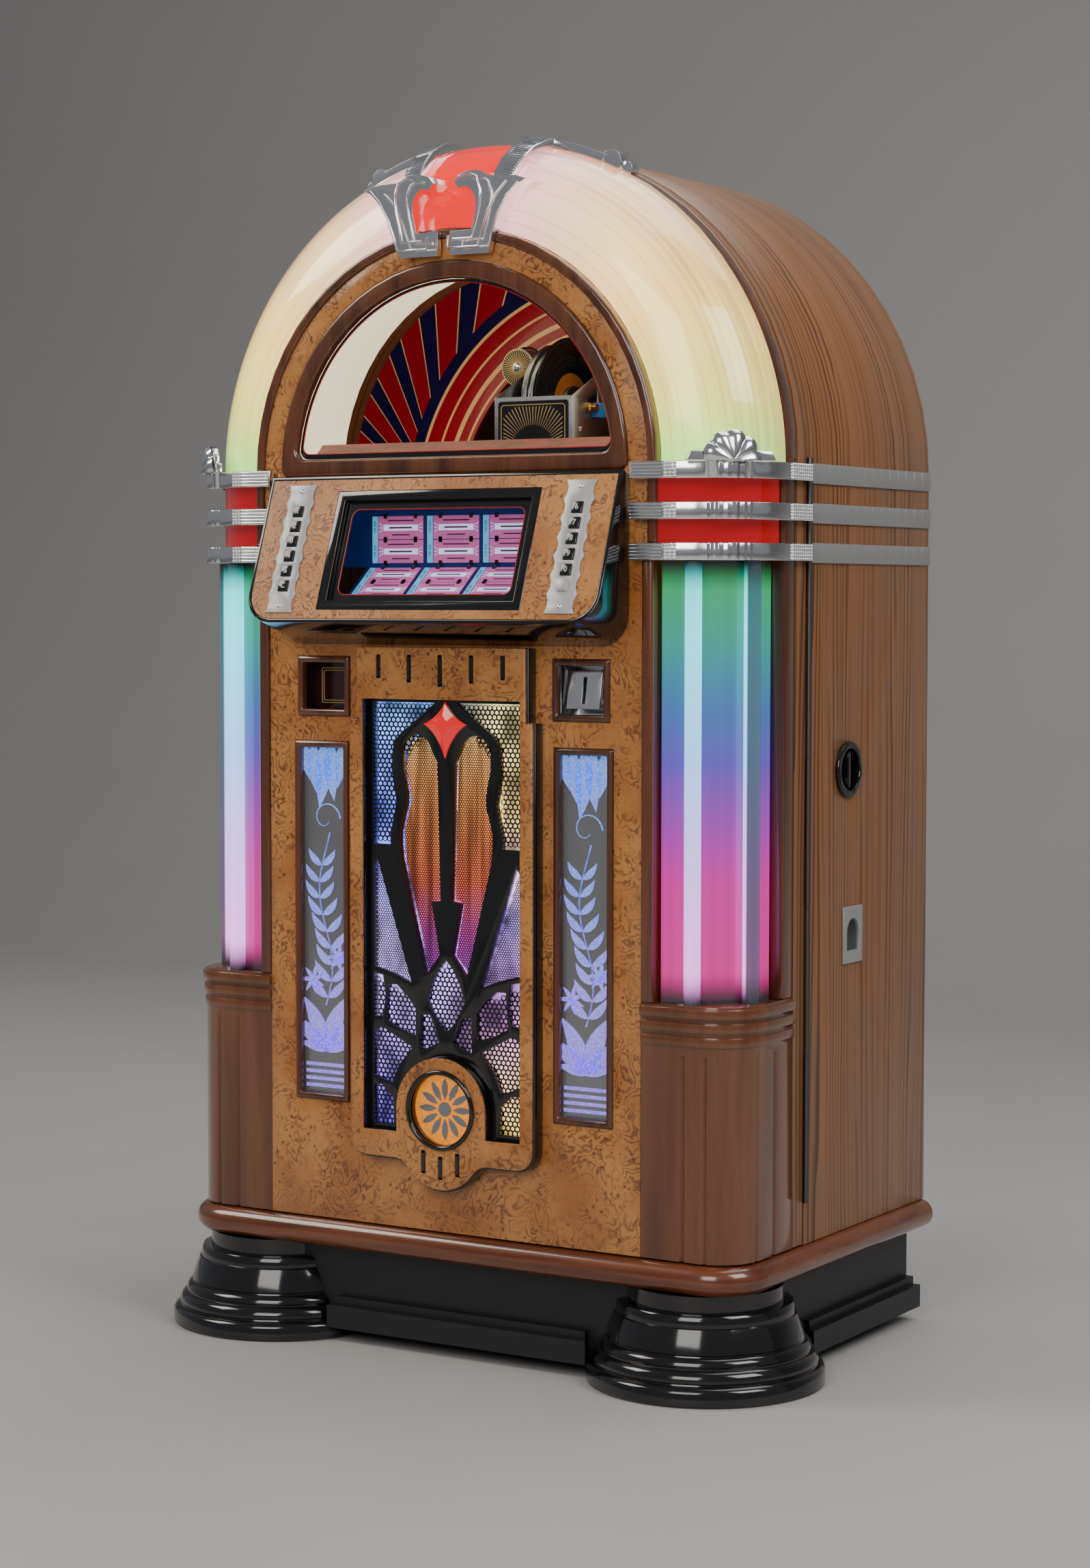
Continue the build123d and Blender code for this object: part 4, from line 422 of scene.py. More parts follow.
@dataclass(frozen=True)
class Plain(Surface):
    """A painted, moulded or plated surface with slight unevenness, an optional painted glow and an optional
    fine bump.
    """

    name: str
    colour: Colour
    rough: float = 0.4
    metal: float = 0.0
    coat: float = 0.0
    # painted light: strength of a glow of the surface's own colour, for a part that is no lamp
    glow: float = 0.0
    grain: float = 120.0
    uneven: float = 0.18
    relief: float = 0.0

    def draw(self, g: Graph) -> None:
        """Draws the finish.

        Args:
            g: the material's graph.
        """
        noise = g.noise(g.place, self.grain, 3.0)
        low = tuple(channel * (1 - self.uneven) for channel in self.colour)
        g.put(Base_Color=g.mix(noise, low, self.colour))
        g.put(Roughness=g.scaled(noise, self.rough * 0.5, self.rough * 0.75))
        g.put(Metallic=self.metal, Coat_Weight=self.coat, Coat_Roughness=0.06)
        # painted light: the part gives out its own colour as light
        if self.glow:
            g.put(Emission_Color=g.mix(noise, low, self.colour), Emission_Strength=self.glow)
        if self.relief:
            g.bump(noise, self.relief, 0.5)


@dataclass(frozen=True)
class BrushedMetal(Surface):
    """Metal with fine lines drawn along one axis."""

    name: str
    colour: Colour = (0.60, 0.61, 0.62)
    rough: float = 0.26
    lines: Sequence[float] = (20.0, 20.0, 1400.0)

    def draw(self, g: Graph) -> None:
        """Draws the finish.

        Args:
            g: the material's graph.
        """
        noise = g.noise(g.stretch(*self.lines), 1.0, 3.0)
        low = tuple(channel * 0.72 for channel in self.colour)
        g.put(Base_Color=g.mix(noise, low, self.colour), Metallic=1.0)
        g.put(Roughness=g.scaled(noise, self.rough * 0.6, self.rough * 0.7))
        g.bump(noise, 0.00004, 0.3)


@dataclass(frozen=True)
class LitArch(Surface):
    """Milky arch lens: pink-white by the crest, cream, warm yellow, then yellow-green at its feet, with
    painted shade at its ridges and its rim.
    """

    name: str = "warm_lens"
    stops: Stops = (
        (0.09, (1.00, 0.34, 0.52)),
        (0.20, (1.00, 0.56, 0.52)),
        (0.36, (1.00, 0.68, 0.34)),
        (0.62, (1.00, 0.66, 0.19)),
        (0.85, (0.86, 0.80, 0.16)),
        (0.99, (0.36, 0.86, 0.17)),
    )
    # radii where painted shade draws dark lines on the glow
    ridges: Sequence[float] = (0.306, 0.321, 0.352, 0.374, 0.388)

    def draw(self, g: Graph) -> None:
        """Draws the finish.

        Args:
            g: the material's graph.
        """
        x, _, z = g.split()
        up = g.minus(z, SIZES.arch_z)
        side = g.math("ABSOLUTE", x)
        turn = g.math("DIVIDE", g.math("ARCTAN2", side, up), pi / 2)
        radius = g.math("SQRT", g.math("ADD", g.math("POWER", side, 2.0), g.math("POWER", up, 2.0)))
        body = g.ramp(turn, self.stops)
        # painted light and shade: the glow weakens and is streaked brown towards the clearer rim, and dark
        # lines of painted shade mark the ridges
        edge = g.between(radius, 0.345, 0.392)
        spot = g.add("ShaderNodeCombineXYZ", {0: g.times(radius, 230.0), 1: g.times(turn, 1.2)})
        streak = g.times(g.between(g.noise(spot.outputs[0], 1.0, 2.0), 0.42, 0.66), edge)
        lines: Feed = 0.0
        for ridge in self.ridges:
            gap = g.gap(radius, ridge)
            lines = g.math("MAXIMUM", lines, g.between(gap, 0.0016, 0.0004))
        rim_and_ridge_shade = g.math("MAXIMUM", g.times(streak, 0.95), g.times(lines, 0.40))
        lamp = g.noise(g.stretch(6.0, 6.0, 6.0), 1.0, 1.0)
        shade = g.mix(rim_and_ridge_shade, body, (0.50, 0.19, 0.07))
        strength = g.scaled(lamp, 1.2, 0.95)
        g.put(Base_Color=g.mix(0.8, (0.4, 0.35, 0.3), body), Roughness=0.16, Coat_Weight=0.7)
        g.put(Emission_Color=shade)
        g.put(Emission_Strength=g.times(strength, g.scaled(edge, -0.35, 1.0)))


@dataclass(frozen=True)
class LitColumn(Surface):
    """Milky column lit by painted glow: one colour flows into the next from its top to its foot."""

    name: str
    stops: Stops
    strength: float
    base: Colour = (0.05, 0.05, 0.06)
    # the light is dimmed past this distance from the middle, in metres
    shade_beyond: float = 1.0
    tall: float = 0.525

    def draw(self, g: Graph) -> None:
        """Draws the finish.

        Args:
            g: the material's graph.
        """
        x, _, z = g.split()
        height = g.math("DIVIDE", g.minus(z, SIZES.column_low), self.tall)
        colour = g.ramp(height, self.stops)
        streak = g.noise(g.stretch(70.0, 70.0, 0.6), 1.0, 2.0)
        # painted light: the glow is streaked, fades at the top and foot, and is dimmed past shade_beyond
        ends = g.between(g.gap(height, 0.5), 0.5, 0.42)
        glow = g.times(g.scaled(streak, 0.5, 0.75), ends)
        lit_share = g.between(g.math("ABSOLUTE", x), self.shade_beyond, self.shade_beyond - 0.003)
        glow = g.times(glow, g.scaled(lit_share, 0.9, 0.1))
        g.put(Base_Color=self.base, Roughness=0.12, Coat_Weight=0.6)
        g.put(Emission_Color=colour, Emission_Strength=g.times(glow, self.strength))


@dataclass(frozen=True)
class RedLens(Surface):
    """Red lens with painted light: brightly lit over the arch, dimmer and deeper red between the chrome
    bands.
    """

    name: str = "red_lens"

    def draw(self, g: Graph) -> None:
        """Draws the finish.

        Args:
            g: the material's graph.
        """
        _, _, z = g.split()
        # painted light: above 1.2 m the glow is bright red, and below it dim and dark red, as painted shade
        # between the bands
        high = g.between(z, 1.2, 1.3)
        g.put(Base_Color=(0.45, 0.004, 0.006), Roughness=0.10, Coat_Weight=0.8)
        g.put(Emission_Color=g.mix(high, (0.36, 0.0, 0.004), (1.0, 0.012, 0.006)))
        g.put(Emission_Strength=g.scaled(high, 0.85, 0.34))


@dataclass(frozen=True)
class Marble(Surface):
    """Red marbled laminate of the sloping apron, with a faint painted glow."""

    name: str = "red_marble"

    def draw(self, g: Graph) -> None:
        """Draws the finish.

        Args:
            g: the material's graph.
        """
        veins = g.noise(g.stretch(14.0, 50.0, 60.0), 1.0, 5.0, 0.65, 1.2)
        cloud = g.noise(g.stretch(5.0, 12.0, 12.0), 1.0, 3.0)
        body = g.mix(cloud, (0.20, 0.006, 0.006), (0.34, 0.03, 0.024))
        g.put(Base_Color=g.mix(g.between(veins, 0.42, 0.62), body, (0.10, 0.008, 0.008)))
        g.put(Roughness=0.22, Coat_Weight=0.6)
        # painted light: a faint glow of the marble's own colours
        g.put(Emission_Color=body, Emission_Strength=0.12)


@dataclass(frozen=True)
class PrintedBoard(Surface):
    """Printed board behind the player: navy ground, fan of red and gold rays, and a striped ring, glowing
    with painted light.
    """

    name: str = "printed_board"
    ring_x: float = 0.060
    ring_z: float = 1.057
    fan_x: float = -0.19
    fan_z: float = 1.06
    rays: float = 13.0

    def polar(self, g: Graph, x0: float, z0: float) -> tuple[Socket, Socket]:
        """Distance and angle about a point of the board.

        Args:
            g: the material's graph.
            x0: the point's place along X.
            z0: its height.

        Returns:
            The distance in metres and the angle in radians.
        """
        x, _, z = g.split()
        dx = g.minus(x, x0)
        dz = g.minus(z, z0)
        return g.reach(dx, dz), g.math("ARCTAN2", dz, dx)

    def band(self, g: Graph, value: Feed, middle: float, half: float) -> Socket:
        """One inside a band about a value, and nought outside."""
        return g.math("LESS_THAN", g.gap(value, middle), half)

    def draw(self, g: Graph) -> None:
        """Draws the finish.

        Args:
            g: the material's graph.
        """
        navy, red, gold = (0.005, 0.003, 0.032), (0.24, 0.002, 0.009), (0.62, 0.36, 0.12)
        distance, angle = self.polar(g, self.fan_x, self.fan_z)
        turn = g.math("FRACT", g.times(angle, self.rays / pi))
        ray = g.math("LESS_THAN", g.gap(turn, 0.5), 0.27)
        fan = g.mix(ray, navy, red)
        hem = g.math("LESS_THAN", g.gap(turn, 0.5), 0.30)
        fan = g.mix(g.minus(hem, ray), fan, gold)
        fan = g.mix(g.math("LESS_THAN", distance, 0.060), fan, red)
        for radius in (0.062, 0.074):
            fan = g.mix(self.band(g, distance, radius, 0.0018), fan, gold)
        ring, _ = self.polar(g, self.ring_x, self.ring_z)
        art = g.mix(g.math("LESS_THAN", ring, 0.318), fan, navy)
        art = g.mix(g.math("LESS_THAN", ring, 0.298), art, red)
        for radius, half in ((0.300, 0.0022), (0.276, 0.0016), (0.255, 0.0032), (0.238, 0.0016)):
            art = g.mix(self.band(g, ring, radius, half), art, gold)
        # painted light: the print glows with its own colours
        g.put(Base_Color=art, Roughness=0.25, Coat_Weight=0.4, Emission_Color=art, Emission_Strength=0.60)


@dataclass(frozen=True)
class Vinyl(Surface):
    """Grooved record about a side-to-side axle, with its paper label and dark hub."""

    name: str
    centre_y: float
    centre_z: float
    label: float = 0.043
    paper: Colour = (0.62, 0.20, 0.03)

    def draw(self, g: Graph) -> None:
        """Draws the finish.

        Args:
            g: the material's graph.
        """
        _, y, z = g.split()
        radius = g.reach(g.minus(y, self.centre_y), g.minus(z, self.centre_z))
        grooves = g.math("SINE", g.times(radius, 9000.0))
        gaps = g.between(g.math("SINE", g.times(radius, 620.0)), 0.93, 0.99)
        paper = g.math("LESS_THAN", radius, self.label)
        black = g.mix(gaps, (0.008, 0.008, 0.009), (0.03, 0.03, 0.032))
        g.put(Base_Color=g.mix(paper, black, self.paper))
        g.put(Roughness=g.scaled(paper, 0.4, 0.22))
        g.bump(grooves, 0.00005, 0.5)


@dataclass(frozen=True)
class GrilleGlow(Surface):
    """Lamp glow behind the grille: blue, gold and violet corners, and orange to violet fingers."""

    name: str = "grille_glow"
    fingers: bool = False
    low: float = 0.284
    tall: float = 0.538

    def draw(self, g: Graph) -> None:
        """Draws the finish.

        Args:
            g: the material's graph.
        """
        x, _, z = g.split()
        height = g.math("DIVIDE", g.minus(z, self.low), self.tall)
        if self.fingers:
            stops = (
                (0.30, (0.16, 0.02, 0.50)),
                (0.46, (0.42, 0.02, 0.30)),
                (0.58, (0.85, 0.10, 0.03)),
                (0.80, (1.00, 0.34, 0.06)),
                (0.92, (1.00, 0.55, 0.16)),
            )
            colour = g.ramp(height, stops)
            lamp = g.noise(g.stretch(75.0, 1.0, 5.0), 1.0, 2.0)
            strength = g.scaled(g.between(lamp, 0.35, 0.65), 1.7, 0.45)
        else:
            left = (
                (0.02, (0.16, 0.10, 0.85)),
                (0.20, (0.30, 0.20, 0.70)),
                (0.45, (0.50, 0.40, 0.95)),
                (0.70, (0.10, 0.16, 0.90)),
                (0.98, (0.16, 0.36, 1.00)),
            )
            right = (
                (0.02, (0.90, 0.62, 0.16)),
                (0.28, (0.42, 0.16, 0.50)),
                (0.50, (0.42, 0.28, 0.90)),
                (0.74, (0.95, 0.66, 0.20)),
                (0.98, (1.00, 0.86, 0.36)),
            )
            side = g.between(x, -0.05, 0.07)
            colour = g.mix(side, g.ramp(height, left), g.ramp(height, right))
            cloud = g.noise(g.stretch(26.0, 1.0, 17.0), 1.0, 2.0)
            strength = g.scaled(g.between(cloud, 0.32, 0.68), 2.6, 0.35)
        g.put(Base_Color=(0.02, 0.02, 0.02), Emission_Color=colour, Emission_Strength=strength)


@dataclass(frozen=True)
class Etching(Surface):
    """Lit etching on the mirrors: blue at the top, violet at the foot, finely speckled."""

    name: str = "etching"
    low: float = 0.31
    tall: float = 0.457

    def draw(self, g: Graph) -> None:
        """Draws the finish.

        Args:
            g: the material's graph.
        """
        _, _, z = g.split()
        height = g.math("DIVIDE", g.minus(z, self.low), self.tall)
        stops = (
            (0.0, (0.20, 0.04, 0.86)),
            (0.35, (0.22, 0.12, 0.88)),
            (0.60, (0.07, 0.16, 0.90)),
            (1.0, (0.02, 0.22, 0.80)),
        )
        speckle = g.between(g.noise(g.place, 330.0, 3.0, 0.7), 0.47, 0.60)
        g.put(Base_Color=(0.25, 0.28, 0.5), Roughness=0.4)
        ground = g.ramp(height, stops)
        g.put(Emission_Color=g.mix(g.times(speckle, 0.45), ground, (0.45, 0.5, 0.95)))
        g.put(Emission_Strength=0.95)


@dataclass(frozen=True)
class ClearGlass(Surface):
    """Thin clear glass that shows the pieces behind it, with a light gloss."""

    name: str = "clear_glass"

    def draw(self, g: Graph) -> None:
        """Draws the finish.

        Args:
            g: the material's graph.
        """
        smear = g.noise(g.place, 7.0, 3.0)
        g.put(Base_Color=(0.004, 0.004, 0.005), Alpha=0.05, IOR=1.45)
        g.put(Roughness=g.scaled(smear, 0.03, 0.0))


class Finish(Enum):
    """Every finish on the jukebox, built once."""

    BURR = BurrVeneer()
    SIDE = StraightGrain()
    MOULDING = Mahogany("moulding_wood")
    BASE = Mahogany("base_wood", light=(0.185, 0.062, 0.022), dark=(0.105, 0.031, 0.011))
    NOSING = Mahogany("nosing_wood", (0.20, 0.055, 0.018), (0.075, 0.016, 0.005), (3.0, 9.0, 60.0))
    BOARD = Plain("raw_board", (0.16, 0.10, 0.055), 0.7, grain=260.0, uneven=0.35, relief=0.0003)
    MATTE_BLACK = Plain("matte_black", (0.012, 0.012, 0.013), 0.45, grain=300.0, relief=0.0001)
    GLOSS_BLACK = Plain("gloss_black", (0.006, 0.006, 0.007), 0.12, coat=0.5, grain=40.0)
    CHROME = Plain("chrome", (0.90, 0.91, 0.93), 0.15, metal=1.0, grain=30.0, uneven=0.08)
    STEEL = BrushedMetal("plated_steel", (0.42, 0.42, 0.44), 0.32)
    HINGE = BrushedMetal("hinge_steel", (0.16, 0.15, 0.15), 0.4)
    SATIN = Plain("satin_metal", (0.46, 0.465, 0.47), 0.42, metal=0.5, grain=900.0, uneven=0.14)
    STRIP = Plain("satin_strip", (0.42, 0.425, 0.43), 0.42, metal=0.55, grain=700.0, uneven=0.12)
    # the dome liner glows with painted light, in place of the dome lamps that light it
    CREAM = Plain("cream_liner", (1.0, 0.90, 0.62), 0.4, glow=1.35, grain=5.0, uneven=0.10)
    WARM = LitArch()
    RED = RedLens()
    GREEN_TO_PINK = LitColumn(
        "cool_lens",
        (
            (0.00, (0.95, 0.000, 0.30)),
            (0.26, (0.88, 0.002, 0.40)),
            (0.40, (0.48, 0.030, 0.60)),
            (0.54, (0.14, 0.075, 0.68)),
            (0.66, (0.045, 0.18, 0.58)),
            (0.82, (0.012, 0.42, 0.30)),
            (1.00, (0.004, 0.56, 0.09)),
        ),
        0.90,
    )
    TUBE = LitColumn(
        "tube_lens",
        (
            (0.00, (1.00, 0.30, 0.90)),
            (0.30, (0.66, 0.42, 1.00)),
            (0.55, (0.30, 0.56, 1.00)),
            (0.85, (0.12, 0.85, 1.00)),
            (0.97, (0.02, 0.75, 0.70)),
        ),
        2.2,
        (0.05, 0.06, 0.07),
        0.387,
    )
    GLASS = ClearGlass()
    # the title rack glows with painted light, and its colour and glow vary by up to three quarters in large
    # patches
    RACK = Plain("rack_blue", (0.008, 0.030, 0.16), 0.30, glow=0.50, grain=9.0, uneven=0.75)
    MESH = Plain("mesh_metal", (0.004, 0.004, 0.004), 0.60, grain=60.0)
    FINE_MESH = Plain("fine_mesh", (0.07, 0.05, 0.045), 0.35, metal=0.6, grain=60.0)
    # the jewel and the amber medallion glow with painted light
    JEWEL = Plain("red_jewel", (0.75, 0.006, 0.010), 0.10, coat=0.8, glow=0.75, grain=50.0)
    AMBER = Plain("amber_lens", (1.0, 0.30, 0.015), 0.3, coat=0.5, glow=1.0, grain=420.0, uneven=0.65)
    CONE = Plain("speaker_cone", (0.03, 0.03, 0.03), 0.6)
    MIRROR = Plain("etched_mirror", (0.30, 0.31, 0.33), 0.22, metal=0.55, grain=12.0)
    WINDOW = Plain("dark_window", (0.035, 0.008, 0.008), 0.12, coat=0.6, grain=20.0)
    MARBLE = Marble()
    ART = PrintedBoard()
    RECORD = Vinyl("playing_vinyl", SIZES.y(SIZES.axle_depth), SIZES.axle_z)
    STORED = Plain("stored_vinyl", (0.010, 0.010, 0.011), 0.25, grain=20.0)
    GREY = Plain("grey_paint", (0.10, 0.105, 0.11), 0.45, grain=400.0, relief=0.0001)
    KEY = Plain("black_key", (0.006, 0.006, 0.006), 0.2, coat=0.4, grain=90.0)
    # the legends, pinlines and gold print glow faintly, and the cards, labels and number strips strongly, all
    # with painted light
    LEGEND = Plain("white_legend", (0.75, 0.75, 0.72), 0.5, glow=0.15)
    PINLINE = Plain("red_pinline", (0.45, 0.008, 0.010), 0.3, glow=0.22)
    GOLD = Plain("gold_print", (0.62, 0.42, 0.16), 0.35, metal=0.3, glow=0.12)
    CARD = Plain("pink_card", (0.56, 0.13, 0.36), 0.6, glow=0.55, grain=30.0)
    LABEL = Plain("card_label", (0.62, 0.70, 1.00), 0.6, glow=0.95, grain=30.0)
    NUMBERS = Plain("number_strip", (0.10, 0.48, 0.80), 0.5, glow=0.70, grain=30.0)
    INK = Plain("card_ink", (0.12, 0.02, 0.07), 0.6)
    LAMP = Plain("blue_lamp", (0.12, 0.34, 1.0), 0.4, glow=2.5)
    GLOW = GrilleGlow()
    FINGER_GLOW = GrilleGlow("finger_glow", fingers=True)
    ETCHING = Etching()
    RUBBER = Plain("rubber_belt", (0.012, 0.012, 0.012), 0.7)
    BRASS = Plain("brass_part", (0.55, 0.36, 0.12), 0.25, metal=1.0)
    BLUE_PART = Plain("blue_part", (0.02, 0.16, 0.50), 0.3)

    @property
    def made(self) -> Material:
        """The finish's material, made on first use.

        Returns:
            The material.
        """
        if self not in MADE:
            MADE[self] = self.value.material()
        return MADE[self]


MADE: dict[Finish, Material] = {}


class Form:
    """A mesh under construction, in metres in the shared frame."""

    def __init__(self) -> None:
        """Starts with no faces."""
        self.verts: list[Vector] = []
        self.faces: list[tuple[int, ...]] = []

    def grid(self, rows: Sequence[Sequence[Vector]], wrap: bool = False, loop: bool = False) -> None:
        """Adds a sheet of quads over rows of points.

        Args:
            rows: rows of points, each as long as the others.
            wrap: joins the end of each row to its start.
            loop: joins the last row to the first.
        """
        start, width = len(self.verts), len(rows[0])
        for row in rows:
            self.verts.extend(Vector(point) for point in row)
        high = len(rows) if loop else len(rows) - 1
        wide = width if wrap else width - 1
        for r in range(high):
            for c in range(wide):
                a, b = start + r * width, start + (r + 1) % len(rows) * width
                d = (c + 1) % width
                self.faces.append((a + c, a + d, b + d, b + c))

    def caps(self, width: int, rows: int) -> None:
        """Closes both ends of the sheet added last, which wraps round."""
        for start in (len(self.verts) - width * rows, len(self.verts) - width):
            self.faces.append(tuple(start + k for k in range(width)))

    def prism(self, loops: Sequence[Loop], place: Matrix, low: float, high: float) -> None:
        """Adds a flat plate with holes, between two distances out from a plane.

        Args:
            loops: the outline, then any holes, as points of the plane.
            place: the plane.
            low: distance out to its back.
            high: distance out to its front.
        """
        flat = [[Vector((u, v, 0.0)) for u, v in loop] for loop in loops]
        tris = tessellate_polygon(flat)
        points = [point for loop in flat for point in loop]
        start, count = len(self.verts), len(points)
        for out in (low, high):
            self.verts.extend(place @ Vector((p.x, p.y, out)) for p in points)
        for a, b, c in tris:
            self.faces.append((start + c, start + b, start + a))
            self.faces.append((start + count + a, start + count + b, start + count + c))
        first = start
        for loop in flat:
            size = len(loop)
            for n in range(size):
                m = (n + 1) % size
                self.faces.append((first + n, first + m, first + count + m, first + count + n))
            first += size

    def bar(self, middle: Point, half: Point, place: Matrix, low: float, high: float) -> None:
        """Adds a flat bar round a point.

        Args:
            middle: the point, on a plane.
            half: half of its width and height.
            place: the plane.
            low: distance out to its back.
            high: distance out to its front.
        """
        (x, z), (wide, tall) = middle, half
        self.prism([box_loop(x - wide, x + wide, z - tall, z + tall)], place, low, high)

    def tube(
        self, path: Sequence[Vector], radius: float | Sequence[float], sides: int = 8, closed: bool = False
    ) -> None:
        """Adds a round bar along a path.

        Args:
            path: its middle line.
            radius: its radius, the same all along or one for each point.
            sides: number of sides.
            closed: joins its end to its start.
        """
        points = [Vector(point) for point in path]
        count = len(points)
        rows = []
        normal = Vector((0, 0, 1))
        for n, point in enumerate(points):
            after = points[(n + 1) % count] if closed or n < count - 1 else point
            before = points[n - 1] if closed or n else point
            along = (after - before).normalized()
            if abs(along.dot(normal)) > 0.98:
                normal = Vector((1, 0, 0)) if abs(along.x) < 0.9 else Vector((0, 1, 0))
            across = along.cross(normal).normalized()
            normal = across.cross(along).normalized()
            size = radius if isinstance(radius, (int, float)) else radius[n]
            turns = [2 * pi * k / sides for k in range(sides)]
            rows.append([point + size * (cos(a) * across + sin(a) * normal) for a in turns])
        self.grid(rows, wrap=True, loop=closed)
        if not closed:
            base = len(self.verts) - count * sides
            self.faces.append(tuple(base + k for k in range(sides)))
            self.faces.append(tuple(base + (count - 1) * sides + k for k in reversed(range(sides))))

    def lathe(self, profile: Loop, place: Matrix, steps: int = 48) -> None:
        """Adds a turned solid: the profile is (radius, height out), from axis to axis.

        Args:
            profile: points of its section.
            place: plane whose normal is the axis.
            steps: number of steps round.
        """
        rows = []
        for n in range(steps):
            a = 2 * pi * n / steps
            rows.append([place @ Vector((r * cos(a), r * sin(a), h)) for r, h in profile])
        self.grid(rows, loop=True)


def plain_mesh(name: str, verts: Sequence[Vector], faces: Sequence[Sequence[int]] = ()) -> Mesh:
    """Makes a mesh of points and faces.

    Args:
        name: the mesh's name.
        verts: its points.
        faces: its faces, as numbers of points.

    Returns:
        The mesh.
    """
    mesh = bpy.data.meshes.new(name)
    mesh.from_pydata([tuple(v) for v in verts], [], list(faces))
    return mesh


def placed(name: str, data: bpy.types.ID) -> bpy.types.Object:
    """Puts a mesh, curve, lamp or camera in the scene.

    Args:
        name: the object's name.
        data: what it shows.

    Returns:
        The object.
    """
    holder = bpy.data.objects.new(name, data)
    bpy.context.scene.collection.objects.link(holder)
    return holder


def baked(holder: bpy.types.Object) -> Mesh:
    """Turns an object, with its modifiers applied, into a plain mesh and removes it.

    Args:
        holder: the object.

    Returns:
        The mesh.
    """
    graph = bpy.context.evaluated_depsgraph_get()
    mesh = bpy.data.meshes.new_from_object(holder.evaluated_get(graph))
    holder.modifiers.clear()
    bpy.data.objects.remove(holder)
    return mesh


def present(
    source: Form | Mesh,
    name: str,
    finish: Finish,
    body: str,
    bevel: float = 0.0,
    smooth: float = 35.0,
    stands_for: Sequence[str] = (),
) -> None:
    """Cleans a form or a mesh, rounds its edges, puts it in the scene and hangs it on its body.

    Args:
        source: the form or mesh, in place.
        name: the piece's name.
        finish: its finish.
        body: the body that carries it.
        bevel: width of its rounded edges.
        smooth: faces that meet under this angle, in degrees, are shaded smooth.
        stands_for: CAD nodes that it replaces.
    """
    mesh = plain_mesh(name, source.verts, source.faces) if isinstance(source, Form) else source
    work = bmesh.new()
    work.from_mesh(mesh)
    bmesh.ops.remove_doubles(work, verts=work.verts, dist=WELD)
    loose = [v for v in work.verts if not v.link_faces]
    bmesh.ops.delete(work, geom=loose, context="VERTS")
    bmesh.ops.dissolve_degenerate(work, dist=WELD, edges=work.edges)
    if bevel:
        bmesh.ops.dissolve_limit(
            work, angle_limit=radians(0.5), verts=work.verts, edges=work.edges, delimit={"NORMAL"}
        )
        sharp = [e for e in work.edges if e.is_manifold and e.calc_face_angle(0.0) > radians(SHARP)]
        bmesh.ops.bevel(
            work,
            geom=sharp,
            offset=bevel,
            segments=4 if bevel > WIDE_BEVEL else 2,
            profile=0.5,
            affect="EDGES",
            clamp_overlap=True,
        )
    bmesh.ops.recalc_face_normals(work, faces=work.faces)
    for face in work.faces:
        face.smooth = True
    for edge in work.edges:
        edge.smooth = not edge.is_manifold or edge.calc_face_angle(0.0) < radians(smooth)
    work.to_mesh(mesh)
    work.free()
    mesh.materials.clear()
    mesh.materials.append(finish.made)
    piece = placed(name, mesh)
    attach(piece, body)
    if stands_for:
        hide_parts(*stands_for)
    LOG.info("%s rides on %s", name, body)


def soften(node: str, finish: Finish, body: str, bevel: float, smooth: float = 35.0) -> None:
    """Replaces a CAD node by a copy of it with rounded edges and smooth shading."""
    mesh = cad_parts[node].data.copy()
    present(mesh, f"{node}_rounded", finish, body, bevel, smooth, (node,))


def cut_away(form: Form, low: Vector, high: Vector) -> Mesh:
    """Takes a box out of a form.

    Args:
        form: the form, closed.
        low: the box's lowest corner.
        high: the box's highest corner.

    Returns:
        What is left, as a mesh.
    """
    block = Form()
    upright = front(-SIZES.front_y)
    block.prism([box_loop(low.x, high.x, low.z, high.z)], upright, -high.y, -low.y)
    holders = []
    for name, part in (("kept", form), ("cutter", block)):
        mesh = plain_mesh(name, part.verts, part.faces)
        work = bmesh.new()
        work.from_mesh(mesh)
        bmesh.ops.remove_doubles(work, verts=work.verts, dist=WELD)
        bmesh.ops.recalc_face_normals(work, faces=work.faces)
        work.to_mesh(mesh)
        work.free()
        holders.append(placed(name, mesh))
    kept, cutter = holders
    modifier = kept.modifiers.new("cut", "BOOLEAN")
    modifier.operation = "DIFFERENCE"
    modifier.solver = "EXACT"
    modifier.object = cutter
    result = baked(kept)
    bpy.data.objects.remove(cutter)
    return result


def circle(x: float, z: float, radius: float, steps: int = 40) -> list[Point]:
    """Points of a circle, counter-clockwise."""
    turns = (2 * pi * n / steps for n in range(steps))
    return [(x + radius * cos(a), z + radius * sin(a)) for a in turns]


def arc(x: float, z: float, radius: float, start: float, end: float, steps: int = 24) -> list[Point]:
    """Points of an arc, from one angle in degrees to another."""
    turns = (radians(start + (end - start) * n / steps) for n in range(steps + 1))
    return [(x + radius * cos(a), z + radius * sin(a)) for a in turns]


def box_loop(x0: float, x1: float, z0: float, z1: float, corner: float = 0.0) -> list[Point]:
    """Points of a rectangle with rounded corners, counter-clockwise.

    Args:
        x0: its left side.
        x1: its right side.
        z0: its foot.
        z1: its top.
        corner: radius of its corners, or nought for square ones.

    Returns:
        The points.
    """
    if not corner:
        return [(x0, z0), (x1, z0), (x1, z1), (x0, z1)]
    c = corner
    return [
        *arc(x1 - c, z0 + c, c, -90, 0, 6),
        *arc(x1 - c, z1 - c, c, 0, 90, 6),
        *arc(x0 + c, z1 - c, c, 90, 180, 6),
        *arc(x0 + c, z0 + c, c, 180, 270, 6),
    ]


